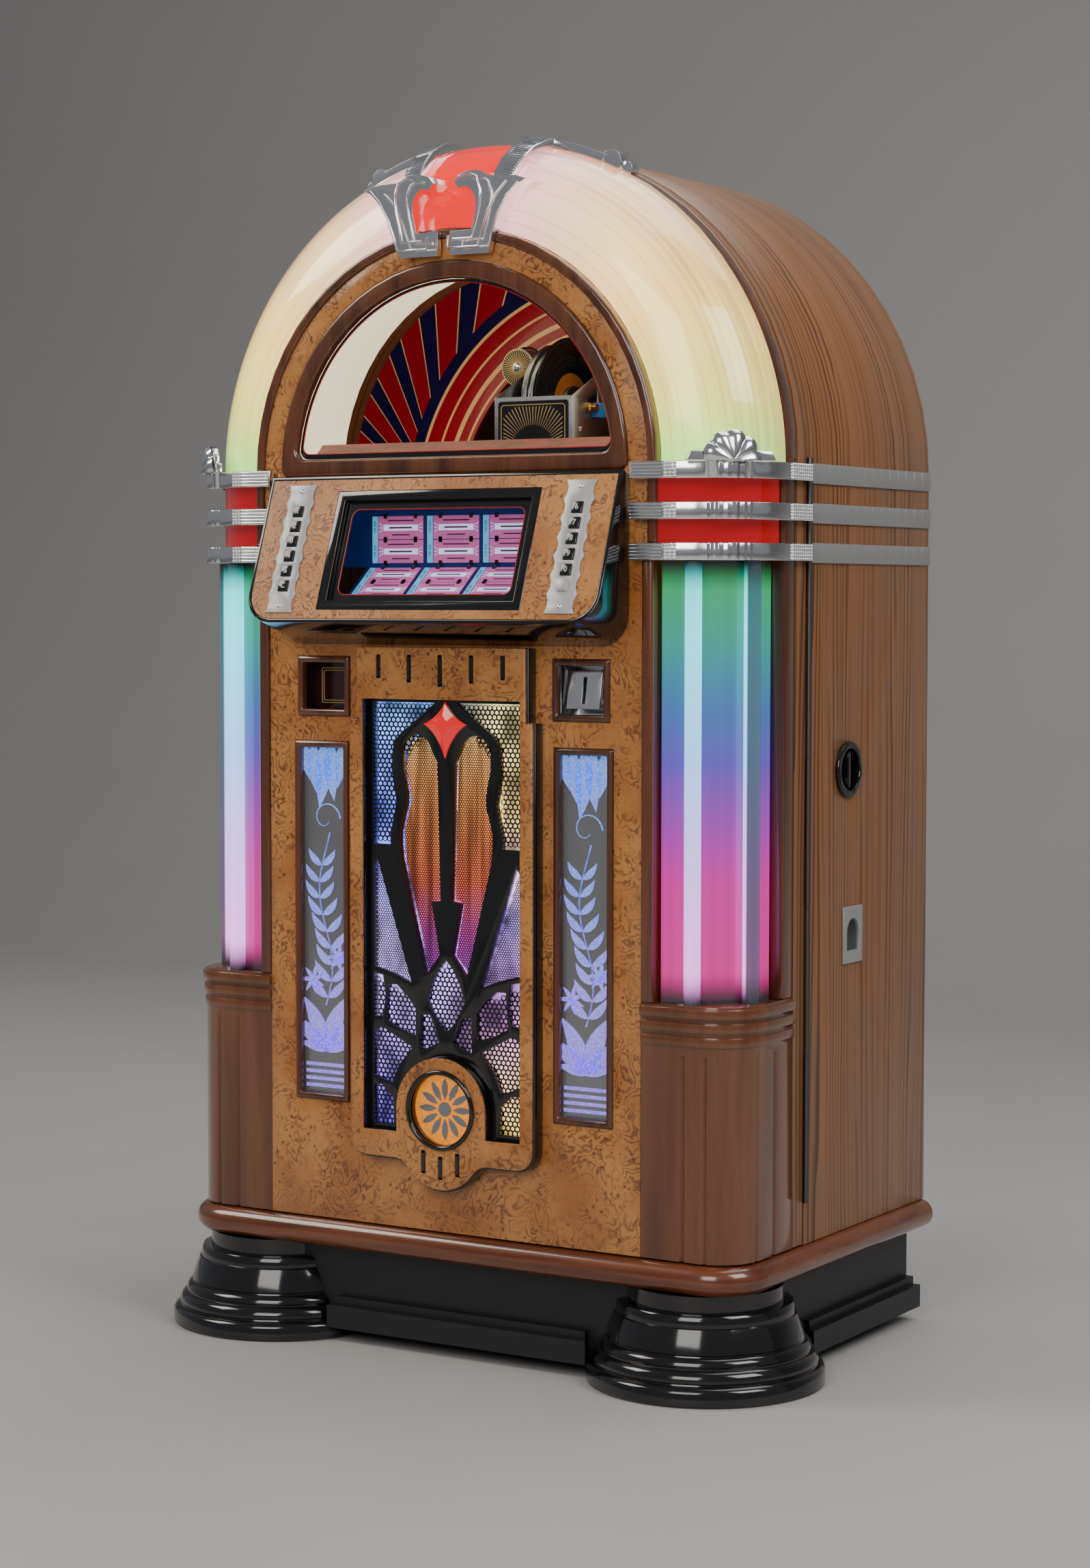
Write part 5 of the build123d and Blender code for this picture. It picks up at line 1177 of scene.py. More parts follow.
def half_window(radius: float, sill: float, corner: float = 0.012, steps: int = 72) -> list[Point]:
    """Points of the dome window: a half disc on the arch's centre over a level sill.

    Args:
        radius: the dome's radius.
        sill: height of the sill.
        corner: radius of the two corners on the sill.
        steps: number of steps round the dome.

    Returns:
        The points.
    """
    z = SIZES.arch_z
    inner = radius - corner
    drop = sill + corner - z
    reach = sqrt(inner**2 - drop**2)
    lean = atan2(drop, reach)
    start, end = lean * 180 / pi, 180 - lean * 180 / pi
    right = arc(reach, sill + corner, corner, -90, start, 6)
    left = arc(-reach, sill + corner, corner, end, 270, 6)
    return [*right, *arc(0, z, radius, start, end, steps)[1:-1], *left]


def at(place: Matrix, points: Loop, out: float = 0.0) -> list[Vector]:
    """Points of a plane, as places in the shared frame."""
    return [place @ Vector((u, v, out)) for u, v in points]


def mirrored(points: Loop, side: int) -> list[Point]:
    """Points of the right half as they are, or turned to the left half by a side of -1."""
    return [(side * x, z) for x, z in points]


def ray(x: float, z: float, angle: float, ends: Loop) -> list[Point]:
    """Outline of a ray of a sunburst.

    Args:
        x: the sunburst's middle across.
        z: the sunburst's middle up.
        angle: the ray's direction, in radians.
        ends: distance out and half the width, at both of its ends.

    Returns:
        The points.
    """
    (r0, w0), (r1, w1) = ends
    corners = ((r0, w0), (r0, -w0), (r1, -w1), (r1, w1))
    a = angle
    return [(x + r * cos(a) - w * sin(a), z + r * sin(a) + w * cos(a)) for r, w in corners]


def bands() -> list[tuple[int, float]]:
    """Side and lower edge of each of the six chrome bands."""
    rows = [SIZES.band_low + row * SIZES.band_pitch for row in range(3)]
    return [(side, low) for side in (-1, 1) for low in rows]


class Shape(Enum):
    """The small solids that the studs' node tree can repeat."""

    ROD = "GeometryNodeMeshCylinder"
    DOME = "GeometryNodeMeshUVSphere"
    BAR = "GeometryNodeMeshCube"


@dataclass
class Studs:
    """Copies of one small solid, set on points by a Geometry Nodes tree."""

    shape: Shape
    radius: float = 0.001
    depth: float = 0.001
    sides: int = 8
    spots: list[tuple[Vector, Euler, Vector]] = field(default_factory=list)
    rings: int = 6

    def put(self, place: Vector, turn: Euler | None = None, size: Sequence[float] = (1, 1, 1)) -> None:
        """Adds one copy at a place, turned and stretched."""
        self.spots.append((Vector(place), turn or Euler((0, 0, 0)), Vector(size)))

    def solid(self, growth: "Growth") -> Socket:
        """Adds the node that makes the solid.

        Args:
            growth: the tree that takes it.

        Returns:
            The solid.
        """
        sides, radius, depth = (growth.given[name] for name in ("Sides", "Radius", "Depth"))
        if self.shape is Shape.ROD:
            feeds = {"Vertices": sides, "Radius": radius, "Depth": depth}
        elif self.shape is Shape.DOME:
            feeds = {"Segments": sides, "Rings": self.rings, "Radius": radius}
        else:
            size = growth.add("ShaderNodeCombineXYZ", {0: radius, 1: radius, 2: depth})
            feeds = {"Size": size.outputs[0]}
        return growth.add(self.shape.value, feeds).outputs[0]

    def finish(self, name: str, finish: Finish, body: str, slot: str, smooth: float = 50.0) -> None:
        """Makes the copies as one piece.

        Args:
            name: the piece's name.
            finish: its finish.
            body: the body that carries it.
            slot: not used.
            smooth: faces that meet under this angle, in degrees, are shaded smooth.
        """
        cloud = plain_mesh(f"{name}_points", [place for place, _, _ in self.spots])
        sizes = {"Radius": self.radius, "Depth": self.depth, "Sides": self.sides}
        growth = Growth("studs", sizes)
        copies = growth.add("GeometryNodeInstanceOnPoints", {"Points": growth.given["Geometry"]})
        growth.feed(copies.inputs["Instance"], self.solid(growth))
        for column, key in ((1, "turn"), (2, "size")):
            values = cloud.attributes.new(key, "FLOAT_VECTOR", "POINT")
            for n, spot in enumerate(self.spots):
                values.data[n].vector = tuple(spot[column])
            read = growth.add("GeometryNodeInputNamedAttribute", {"Name": key}, data_type="FLOAT_VECTOR")
            source = read.outputs["Attribute"]
            if key == "turn":
                source = growth.add("FunctionNodeEulerToRotation", {0: source}).outputs[0]
            growth.feed(copies.inputs["Rotation" if key == "turn" else "Scale"], source)
        mesh = growth.grown(cloud, copies.outputs[0], finish, name)
        present(mesh, name, finish, body, 0.0, smooth)


class Growth(Tree):
    """Geometry Nodes tree with named inputs, which ends in real faces of one finish."""

    def __init__(self, name: str, sizes: dict[str, float]) -> None:
        """Starts a tree that takes a mesh and named sizes, and gives a mesh.

        Args:
            name: the tree's name.
            sizes: value of each size. A whole number makes a whole-number input.
        """
        super().__init__(bpy.data.node_groups.new(name, "GeometryNodeTree"))
        ends = self.tree.interface
        ends.new_socket("Geometry", in_out="INPUT", socket_type="NodeSocketGeometry")
        self.values = {}
        for key, value in sizes.items():
            kind = "NodeSocketInt" if isinstance(value, int) else "NodeSocketFloat"
            made = ends.new_socket(key, in_out="INPUT", socket_type=kind)
            self.values[made.identifier] = value
        ends.new_socket("Geometry", in_out="OUTPUT", socket_type="NodeSocketGeometry")
        self.given = self.add("NodeGroupInput").outputs

    def grown(self, source: Mesh, result: Socket, finish: Finish, name: str) -> Mesh:
        """Ends the tree and runs it on a mesh.

        Args:
            source: the mesh that the tree starts from.
            result: output of the tree's last node.
            finish: finish of the result.
            name: name of the result.

        Returns:
            The result, as a plain mesh.
        """
        real = self.add("GeometryNodeRealizeInstances", {0: result})
        feeds = {"Geometry": real.outputs[0], "Material": finish.made}
        dressed = self.add("GeometryNodeSetMaterial", feeds)
        self.add("NodeGroupOutput", {0: dressed.outputs[0]})
        holder = placed(name, source)
        modifier = holder.modifiers.new("grow", "NODES")
        modifier.node_group = self.tree
        for key, value in self.values.items():
            modifier[key] = value
        mesh = baked(holder)
        for attribute in [a.name for a in mesh.attributes if a.name in ("turn", "size")]:
            mesh.attributes.remove(mesh.attributes[attribute])
        return mesh


@dataclass
class PerforatedSheet:
    """Sheet with close six-sided holes, punched by a Geometry Nodes tree."""

    pitch: float
    open_share: float
    thickness: float = 0.0006

    def lattice(self, region: Sequence[Loop], place: Matrix) -> Mesh:
        """Triangles between the hole centres that lie inside any of the given outlines.

        Args:
            region: the outlines, as points of a plane.
            place: the plane.

        Returns:
            The triangles.
        """
        step_z = self.pitch * sqrt(3) / 2
        us = [u for loop in region for u, _ in loop]
        vs = [v for loop in region for _, v in loop]
        columns = int((max(us) - min(us)) / self.pitch) + 2
        rows = int((max(vs) - min(vs)) / step_z) + 2
        index: dict[tuple[int, int], int] = {}
        verts, faces = [], []
        for r in range(rows):
            for c in range(columns):
                u = min(us) + (c + 0.5 * (r % 2)) * self.pitch
                v = min(vs) + r * step_z
                if any(inside((u, v), loop) for loop in region):
                    index[(r, c)] = len(verts)
                    verts.append(place @ Vector((u, v, 0.0)))
        for (r, c), here in index.items():
            up_left, up_right = (r + 1, c - 1 + r % 2), (r + 1, c + r % 2)
            if (r, c + 1) in index and up_right in index:
                faces.append((here, index[(r, c + 1)], index[up_right]))
            if up_left in index and up_right in index:
                faces.append((here, index[up_right], index[up_left]))
        return plain_mesh("lattice", verts, faces)

    def finish(
        self,
        name: str,
        region: Sequence[Loop],
        place: Matrix,
        finish: Finish,
        stands_for: Sequence[str] = (),
    ) -> None:
        """Makes the sheet: cells, their holes, then its thickness.

        Args:
            name: the piece's name.
            region: outlines that it fills, as points of a plane.
            place: the plane.
            finish: its finish.
            stands_for: CAD nodes that it replaces.
        """
        sizes = {"Hole Share": self.open_share, "Thickness": self.thickness}
        growth = Growth("perforations", sizes)
        given, add = growth.given, growth.add
        cells = add("GeometryNodeDualMesh", {0: given["Geometry"]})
        feeds = {"Mesh": cells.outputs[0], "Offset Scale": 0.0, "Individual": True}
        inset = add("GeometryNodeExtrudeMesh", feeds)
        hole = inset.outputs["Top"]
        feeds = {"Geometry": inset.outputs["Mesh"], "Selection": hole, "Scale": given["Hole Share"]}
        shrink = add("GeometryNodeScaleElements", feeds)
        feeds = {"Geometry": shrink.outputs[0], "Selection": hole}
        punch = add("GeometryNodeDeleteGeometry", feeds, domain="FACE")
        feeds = {"Mesh": punch.outputs[0], "Offset Scale": given["Thickness"], "Individual": False}
        thick = add("GeometryNodeExtrudeMesh", feeds)
        back = add("GeometryNodeFlipFaces", {"Mesh": punch.outputs[0]})
        both = add("GeometryNodeJoinGeometry", {0: thick.outputs["Mesh"]})
        growth.feed(both.inputs[0], back.outputs[0])
        mesh = growth.grown(self.lattice(region, place), both.outputs[0], finish, name)
        present(mesh, name, finish, DOOR, 0.0, 20.0, stands_for)


def inside(point: Point, loop: Loop) -> bool:
    """Tells whether a point lies inside an outline.

    Args:
        point: the point.
        loop: the outline.

    Returns:
        True inside it.
    """
    x, y = point
    odd = False
    for n, (x1, y1) in enumerate(loop):
        x0, y0 = loop[n - 1]
        if (y0 > y) != (y1 > y) and x < (x1 - x0) * (y - y0) / (y1 - y0) + x0:
            odd = not odd
    return odd


def numeral(form: Form, text: str, height: float, place: Matrix, depth: float = 0.0003) -> None:
    """Adds plain figures to a form, centred on a plane.

    Args:
        form: the form that takes them.
        text: the figures.
        height: height of a figure.
        place: the plane, with its origin at the figures' middle.
        depth: how far they stand out.
    """
    curve = bpy.data.curves.new("figures", "FONT")
    curve.body = text
    curve.size = height * FIGURE_SIZE
    curve.align_x = "CENTER"
    curve.align_y = "CENTER"
    curve.extrude = depth / 2
    curve.resolution_u = 3
    mesh = baked(placed("figures", curve))
    start = len(form.verts)
    form.verts.extend(place @ Vector((v.co.x, v.co.y, v.co.z + depth / 2)) for v in mesh.vertices)
    form.faces.extend(tuple(start + k for k in face.vertices) for face in mesh.polygons)
    bpy.data.meshes.remove(mesh)


@dataclass
class Carcass:
    """Fixed woodwork, base and side fittings."""

    foot_x: float = 0.315
    foot_depth: float = 0.085
    foot_radius: float = 0.146
    glide_x: float = 0.330
    glide_depth: float = 0.470
    board_bottom: float = 0.1215
    plinth_half: float = 0.3843
    plinth_depth: float = 0.0257
    nosing_half: float = 0.3925
    nosing_depth: float = 0.0115
    nosing_corner: float = 0.044
    nosing_reach: float = 0.0253
    nosing_round: float = 0.0183
    nosing_z: float = 0.140
    nosing_end: float = 0.5195
    strip_segments: int = 14
    strip_start: float = 0.1735
    strip_end: float = 0.517
    strip_stand: float = 0.0033
    rear_depth: float = 0.520
    screw_inset: float = 0.022
    screw_sink: float = 0.0018
    screw_low: float = 0.19
    screw_pitch: float = 0.17
    # inset from the foot's radius, and height, from the floor up: pad, ring, waist, ring, waist, neck
    foot_section: Loop = (
        (0.004, 0.0), (0.0, 0.003), (0.0, 0.017), (0.002, 0.021), (0.006, 0.0235),
        (0.009, 0.0245), (0.0095, 0.026), (0.0085, 0.028), (0.0088, 0.032),
        (0.0115, 0.0375), (0.0155, 0.0405), (0.018, 0.0412), (0.0182, 0.043),
        (0.0172, 0.0445), (0.0180, 0.0485), (0.0215, 0.053), (0.0250, 0.0545),
        (0.0255, 0.056), (0.0248, 0.0575), (0.0275, 0.068), (0.0315, 0.079),
        (0.0345, 0.0855), (0.0365, 0.0868), (0.0362, 0.089), (0.0375, 0.0975),
        (0.0395, 0.1003), (0.0425, 0.101), (0.050, 0.101),
    )
    foot_core: float = 0.050
    # radius and height, from the floor up: disc, then stem
    glide_section: Loop = (
        (0.022, 0.0), (0.0235, 0.0015), (0.0235, 0.007), (0.021, 0.0085), (0.0058, 0.0085),
    )
    glide_stem: float = 0.0058

    def dress(self) -> None:
        """Gives the fixed nodes their finishes and adds their small pieces."""
        soften("cabinet_shell", Finish.SIDE, CABINET, 0.0012)
        paint(rear_panel=Finish.BOARD, plinth=Finish.MATTE_BLACK)
        self.nosing()
        self.feet()
        soften("side_strips", Finish.STRIP, CABINET, 0.0008)
        paint(cabinet_hinge_leaf=Finish.HINGE)
        soften("lock_bezel", Finish.GLOSS_BLACK, CABINET, 0.0012)
        soften("coin_return", Finish.SATIN, CABINET, 0.0006)
        soften("lock_key", Finish.GLOSS_BLACK, "side_lock", 0.0012)
        paint(amplifier=Finish.GREY, cash_box=Finish.GREY)
        self.strip_joints()
        self.rear_screws()

    def nosing(self) -> None:
        """Half-round nosing round the front and sides of the base board."""
        low_y, turn = SIZES.y(self.nosing_depth), self.nosing_corner
        path = []
        for a in (radians(degrees) for degrees in range(-90, 1, 6)):
            x = self.nosing_half - turn + turn * cos(a)
            path.append((Vector((x, low_y + turn + turn * sin(a), 0)), a))
        path.append((Vector((self.nosing_half, SIZES.y(self.nosing_end), 0)), 0.0))
        left = [(Vector((-place.x, place.y, 0)), pi - a) for place, a in reversed(path)]
        r = self.nosing_round
        section = [(0.0, -r), *arc(self.nosing_reach - r, 0.0, r, -90, 90, 16), (0.0, r)]
        rows = []
        for place, a in [*left, *path]:
            out = Vector((cos(a), sin(a), 0))
            rows.append([place + out * u + Vector((0, 0, self.nosing_z + v)) for u, v in section])
        form = Form()
        form.grid(rows, wrap=True)
        width = len(section)
        form.faces.append(tuple(range(width)))
        form.faces.append(tuple(len(form.verts) - 1 - k for k in range(width)))
        present(form, "nosing", Finish.NOSING, CABINET, smooth=50, stands_for=("base_trim",))

    def feet(self) -> None:
        """Turned front feet with their rings, scribed to the plinth, and the rear glides."""
        r, top = self.foot_radius, self.board_bottom
        profile = [(0, 0), *((r - inset, z) for inset, z in self.foot_section)]
        profile += [(r - self.foot_core, top), (0, top)]
        glide = [(0, 0), *self.glide_section, (self.glide_stem, top), (0, top)]
        form, glides = Form(), Form()
        for side in (-1, 1):
            place = Matrix.Translation((side * self.foot_x, SIZES.y(self.foot_depth), 0))
            form.lathe(profile, place, 72)
            place = Matrix.Translation((side * self.glide_x, SIZES.y(self.glide_depth), 0))
            glides.lathe(glide, place, 32)
        low = Vector((-self.plinth_half, SIZES.y(self.plinth_depth), -0.01))
        high = Vector((self.plinth_half, SIZES.y(0.5), top + 0.01))
        mesh, black = cut_away(form, low, high), Finish.GLOSS_BLACK
        present(mesh, "turned_feet", black, CABINET, smooth=32, stands_for=("feet",))
        present(glides, "rear_glides", Finish.MATTE_BLACK, CABINET)

    def strip_joints(self) -> None:
        """Upright joint lines along the side strips."""
        joints = Studs(Shape.BAR, 0.0007, 0.0225)
        length = self.strip_end - self.strip_start
        for side, low in bands():
            x = side * (SIZES.half_width + self.strip_stand)
            for n in range(1, self.strip_segments):
                depth = self.strip_start + length * n / self.strip_segments
                joints.put((x, SIZES.y(depth), low + SIZES.band_height / 2))
        joints.finish("strip_joints", Finish.CHROME, CABINET, "chrome")

    def rear_screws(self) -> None:
        """Pan-headed screws round the rear panel."""
        heads = Studs(Shape.DOME, 0.0045, sides=10)
        turn = Euler((pi / 2, 0, 0))
        reach = SIZES.half_width - self.screw_inset
        y = SIZES.y(self.rear_depth) - self.screw_sink
        for side in (-1, 1):
            for n in range(6):
                heads.put((side * reach, y, self.screw_low + self.screw_pitch * n), turn, (1, 1, 0.4))
        for n in range(1, 9):
            a = pi * n / 9
            heads.put((reach * cos(a), y, SIZES.arch_z + reach * sin(a)), turn, (1, 1, 0.4))
        heads.finish("rear_screws", Finish.STEEL, CABINET, "plated_steel")


def paint(**looks: Finish) -> None:
    """Gives CAD nodes their finishes.

    Args:
        **looks: the finish of each node, by the node's name.
    """
    for node, finish in looks.items():
        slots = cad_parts[node].data.materials
        slots.clear()
        slots.append(finish.made)


@dataclass
class LitDoor:
    """Lit arch, columns, chrome and woodwork of the door."""

    arch_steps: int = 88
    section_steps: int = 22
    ridges: Sequence[float] = (0.18, 0.36, 0.62, 0.80)
    lens_wall: float = 0.003
    reed_low: float = 0.0022
    reed_pitch: float = 0.00403
    reed_start: float = 0.001
    reed_length: float = 0.043
    front_beads: Sequence[float] = (0.0480, 0.0535, 0.0590)
    bead_end: float = 0.0035
    bead_pitch: float = 0.0054
    shell_lobes: int = 9
    shell_radius: float = 0.036
    shell_swell: float = 0.0105
    shell_rib: float = 0.0028
    shell_stand: float = 0.004
    crest_depth: float = -0.0262
    # points of the right half: across from the middle, and height
    crest_foot: Loop = (
        (0.0155, 1.3845), (0.0155, 1.3690), (0.0590, 1.3690), (0.0640, 1.3880),
        (0.0725, 1.4100), (0.0850, 1.4300), (0.0990, 1.4440),
    )
    crest_step: Loop = (
        (0.0215, 1.3790), (0.0510, 1.3790), (0.0545, 1.3960), (0.0600, 1.4150),
        (0.0620, 1.4350), (0.0560, 1.4520), (0.0440, 1.4565), (0.0320, 1.4535),
    )
    strap_angle: float = 10.6
    strap_stand: float = 0.0117
    strap_rib_count: int = 34

    def section(self, t: float, shell: float = 0.0) -> Point:
        """Point of the lens profile: radius and depth, for t from 0 at its back to 1 at its front.

        Args:
            t: share of the way along the profile.
            shell: distance in from the outer face.

        Returns:
            Radius from the arch's centre, and depth.
        """
        angle = t * pi / 2
        step = 0.0012 * sum(1 / (1 + abs(t - ridge) * 90) for ridge in self.ridges)
        wide = SIZES.half_width - SIZES.lens_inner - shell - step
        deep = SIZES.lens_back - SIZES.lens_front - shell - step
        return SIZES.lens_inner + wide * cos(angle), SIZES.lens_back - deep * sin(angle)

    def arch(self) -> None:
        """Milky halves of the arch, with soft stepped ridges."""
        form = Form()
        shares = [k / self.section_steps for k in range(self.section_steps + 1)]
        wall = [self.section(t) for t in shares]
        wall += [self.section(t, self.lens_wall) for t in reversed(shares)]
        for side in (-1, 1):
            rows = []
            for n in range(self.arch_steps + 1):
                a = SIZES.crest_angle + (pi / 2 - SIZES.crest_angle) * n / self.arch_steps
                spots = [(side * r * sin(a), SIZES.y(d), SIZES.arch_z + r * cos(a)) for r, d in wall]
                rows.append([Vector(spot) for spot in spots])
            form.grid(rows, wrap=True)
            form.caps(len(wall), len(rows))
        present(form, "arch_lens_shell", Finish.WARM, DOOR, smooth=40, stands_for=("arch_lens",))

    def dress(self) -> None:
        """Gives the door's lit and chromed nodes their finishes and adds their detail."""
        self.arch()
        soften("door_frame", Finish.SIDE, DOOR, 0.001)
        soften("front_panel", Finish.BURR, DOOR, 0.0004)
        soften("front_mouldings", Finish.MOULDING, DOOR, 0.0016)
        soften("column_bases", Finish.BASE, DOOR, 0.0022)
        soften("red_lenses", Finish.RED, DOOR, 0.0, 30)
        soften("column_lenses", Finish.GREEN_TO_PINK, DOOR, 0.0, 40)
        soften("light_tubes", Finish.TUBE, DOOR, 0.0, 50)
        soften("crest_castings", Finish.CHROME, DOOR, 0.0036, 60)
        self.crest_lines()
        soften("chrome_bands", Finish.CHROME, DOOR, 0.0012, 45)
        paint(door_hinge_leaf=Finish.HINGE, dome_liner=Finish.CREAM, dome_glass=Finish.GLASS)
        self.reeds()
        self.beads()
        self.shells()
        self.strap_ribs()
        self.glass_pinlines()

    def band_point(self, run: float, out: float, side: int) -> Point:
        """Point beside the band's outer face.

        Args:
            run: distance along the face from the front end, in metres.
            out: distance out from the face.
            side: 1 on the right, -1 on the left.

        Returns:
            X and Y.
        """
        radius = SIZES.band_outer
        lead = SIZES.column_x - SIZES.band_start
        quarter = radius * pi / 2
        centre_y = SIZES.y(SIZES.column_depth)
        if run < lead:
            x, y = SIZES.band_start + run, centre_y - radius - out
        elif run < lead + quarter:
            a = (run - lead) / radius
            x = SIZES.column_x + (radius + out) * sin(a)
            y = centre_y - (radius + out) * cos(a)
        else:
            x, y = SIZES.column_x + radius + out, centre_y + run - lead - quarter
        return side * x, y

    def reeds(self) -> None:
        """Level reeds on the front end of each chrome band."""
        form = Form()
        runs = [self.reed_start + self.reed_length * k / 10 for k in range(11)]
        for side, low in bands():
            for n in range(5):
                z = low + self.reed_low + n * self.reed_pitch
                path = [Vector((*self.band_point(run, 0.0002, side), z)) for run in runs]
                form.tube(path, 0.00175, 8)
        present(form, "band_reeds", Finish.CHROME, DOOR, smooth=50)

    def beads(self) -> None:
        """Beads beside the fluted middle of each band: three rows in front, a close field at the side."""
        total = SIZES.column_x - SIZES.band_start + SIZES.band_outer * pi / 2
        total = total + SIZES.band_end - SIZES.column_depth
        side_beads = [total - self.bead_end - self.bead_pitch * n for n in range(10)]
        beads = Studs(Shape.DOME, 0.0026, sides=8)
        for side, low in bands():
            for run in (*self.front_beads, *side_beads):
                x, y = self.band_point(run, 0.0006, side)
                for n in range(5):
                    z = low + self.reed_low + n * self.reed_pitch
                    beads.put((x, y, z), None, (1, 1, 0.85))
        beads.finish("band_beads", Finish.CHROME, DOOR, "chrome")

    def shells(self) -> None:
        """Ribbed scallop shells over the corners of the top bands."""
        centre_y = SIZES.y(SIZES.column_depth)
        top = SIZES.band_low + 2 * SIZES.band_pitch + SIZES.band_height
        form = Form()
        lobes, radial, around = self.shell_lobes, 10, 72
        for side in (-1, 1):
            out = Vector((side * sin(pi / 4), -cos(pi / 4), 0))
            across = Vector((side * cos(pi / 4), sin(pi / 4), 0))
            middle = Vector((side * (SIZES.column_x + SIZES.band_outer * sin(pi / 4)), 0, top))
            middle.y = centre_y - SIZES.band_outer * cos(pi / 4)
            for face in (1, -0.15):
                rows = []
                for share in (r / radial for r in range(radial + 1)):
                    row = []
                    for a in (pi * n / around for n in range(around + 1)):
                        rib = abs(cos(lobes * a / 2 + pi / 2 * (lobes % 2 - 1)))
                        reach = self.shell_radius * share * (0.93 + 0.07 * rib * share)
                        swell = self.shell_swell * sqrt(max(0.0, 1 - share**2.4))
                        swell = swell + self.shell_rib * rib * share**0.6
                        place = middle + across * reach * cos(a) + Vector((0, 0, reach * sin(a)))
                        row.append(place + out * (self.shell_stand + swell * face))
                    rows.append(row)
                form.grid(rows if face > 0 else rows[::-1])
        present(form, "band_shells", Finish.CHROME, DOOR, smooth=60)

    def crest_lines(self) -> None:
        """Stepped lines on the crest's feet, and a ridge up each stem into the leaf."""
        form = Form()
        place = front(self.crest_depth)
        for side in (-1, 1):
            for line, size in ((self.crest_foot, 0.0016), (self.crest_step, 0.0021)):
                form.tube(at(place, mirrored(line, side)), size, 8)
        present(form, "crest_lines", Finish.CHROME, DOOR, smooth=60)

    def strap_ribs(self) -> None:
        """Fine ribs across the crest's straps."""
        ribs = Studs(Shape.BAR, 0.0011, 0.0240)
        wide = SIZES.half_width - SIZES.lens_inner + self.strap_stand
        deep = SIZES.lens_back - SIZES.lens_front + self.strap_stand
        for side in (-1, 1):
            a = side * radians(self.strap_angle)
            for n in range(self.strap_rib_count):
                t = radians(24 + 64 * n / (self.strap_rib_count - 1))
                radius = SIZES.lens_inner + wide * sin(t)
                y = SIZES.y(SIZES.lens_back) - deep * cos(t)
                place = (radius * sin(a), y, SIZES.arch_z + radius * cos(a))
                turn = (Matrix.Rotation(a, 3, "Y") @ Matrix.Rotation(pi / 2, 3, "Y")).to_euler()
                ribs.put(place, turn)
        ribs.finish("strap_ribs", Finish.CHROME, DOOR, "chrome")

    def glass_pinlines(self) -> None:
        """Black border and red line printed round the dome glass."""
        border = Form()
        outer, inner = half_window(0.2305, 1.1205), half_window(0.2265, 1.1275, 0.009)
        border.prism([outer, inner], front(0.0082), 0.0, 0.0008)
        present(border, "dome_glass_border", Finish.GLOSS_BLACK, DOOR)
        line = Form()
        line.tube(at(front(0.0072), half_window(0.2268, 1.1268, 0.009)), 0.0006, 6, True)
        present(line, "dome_pinline", Finish.PINLINE, DOOR, smooth=60)


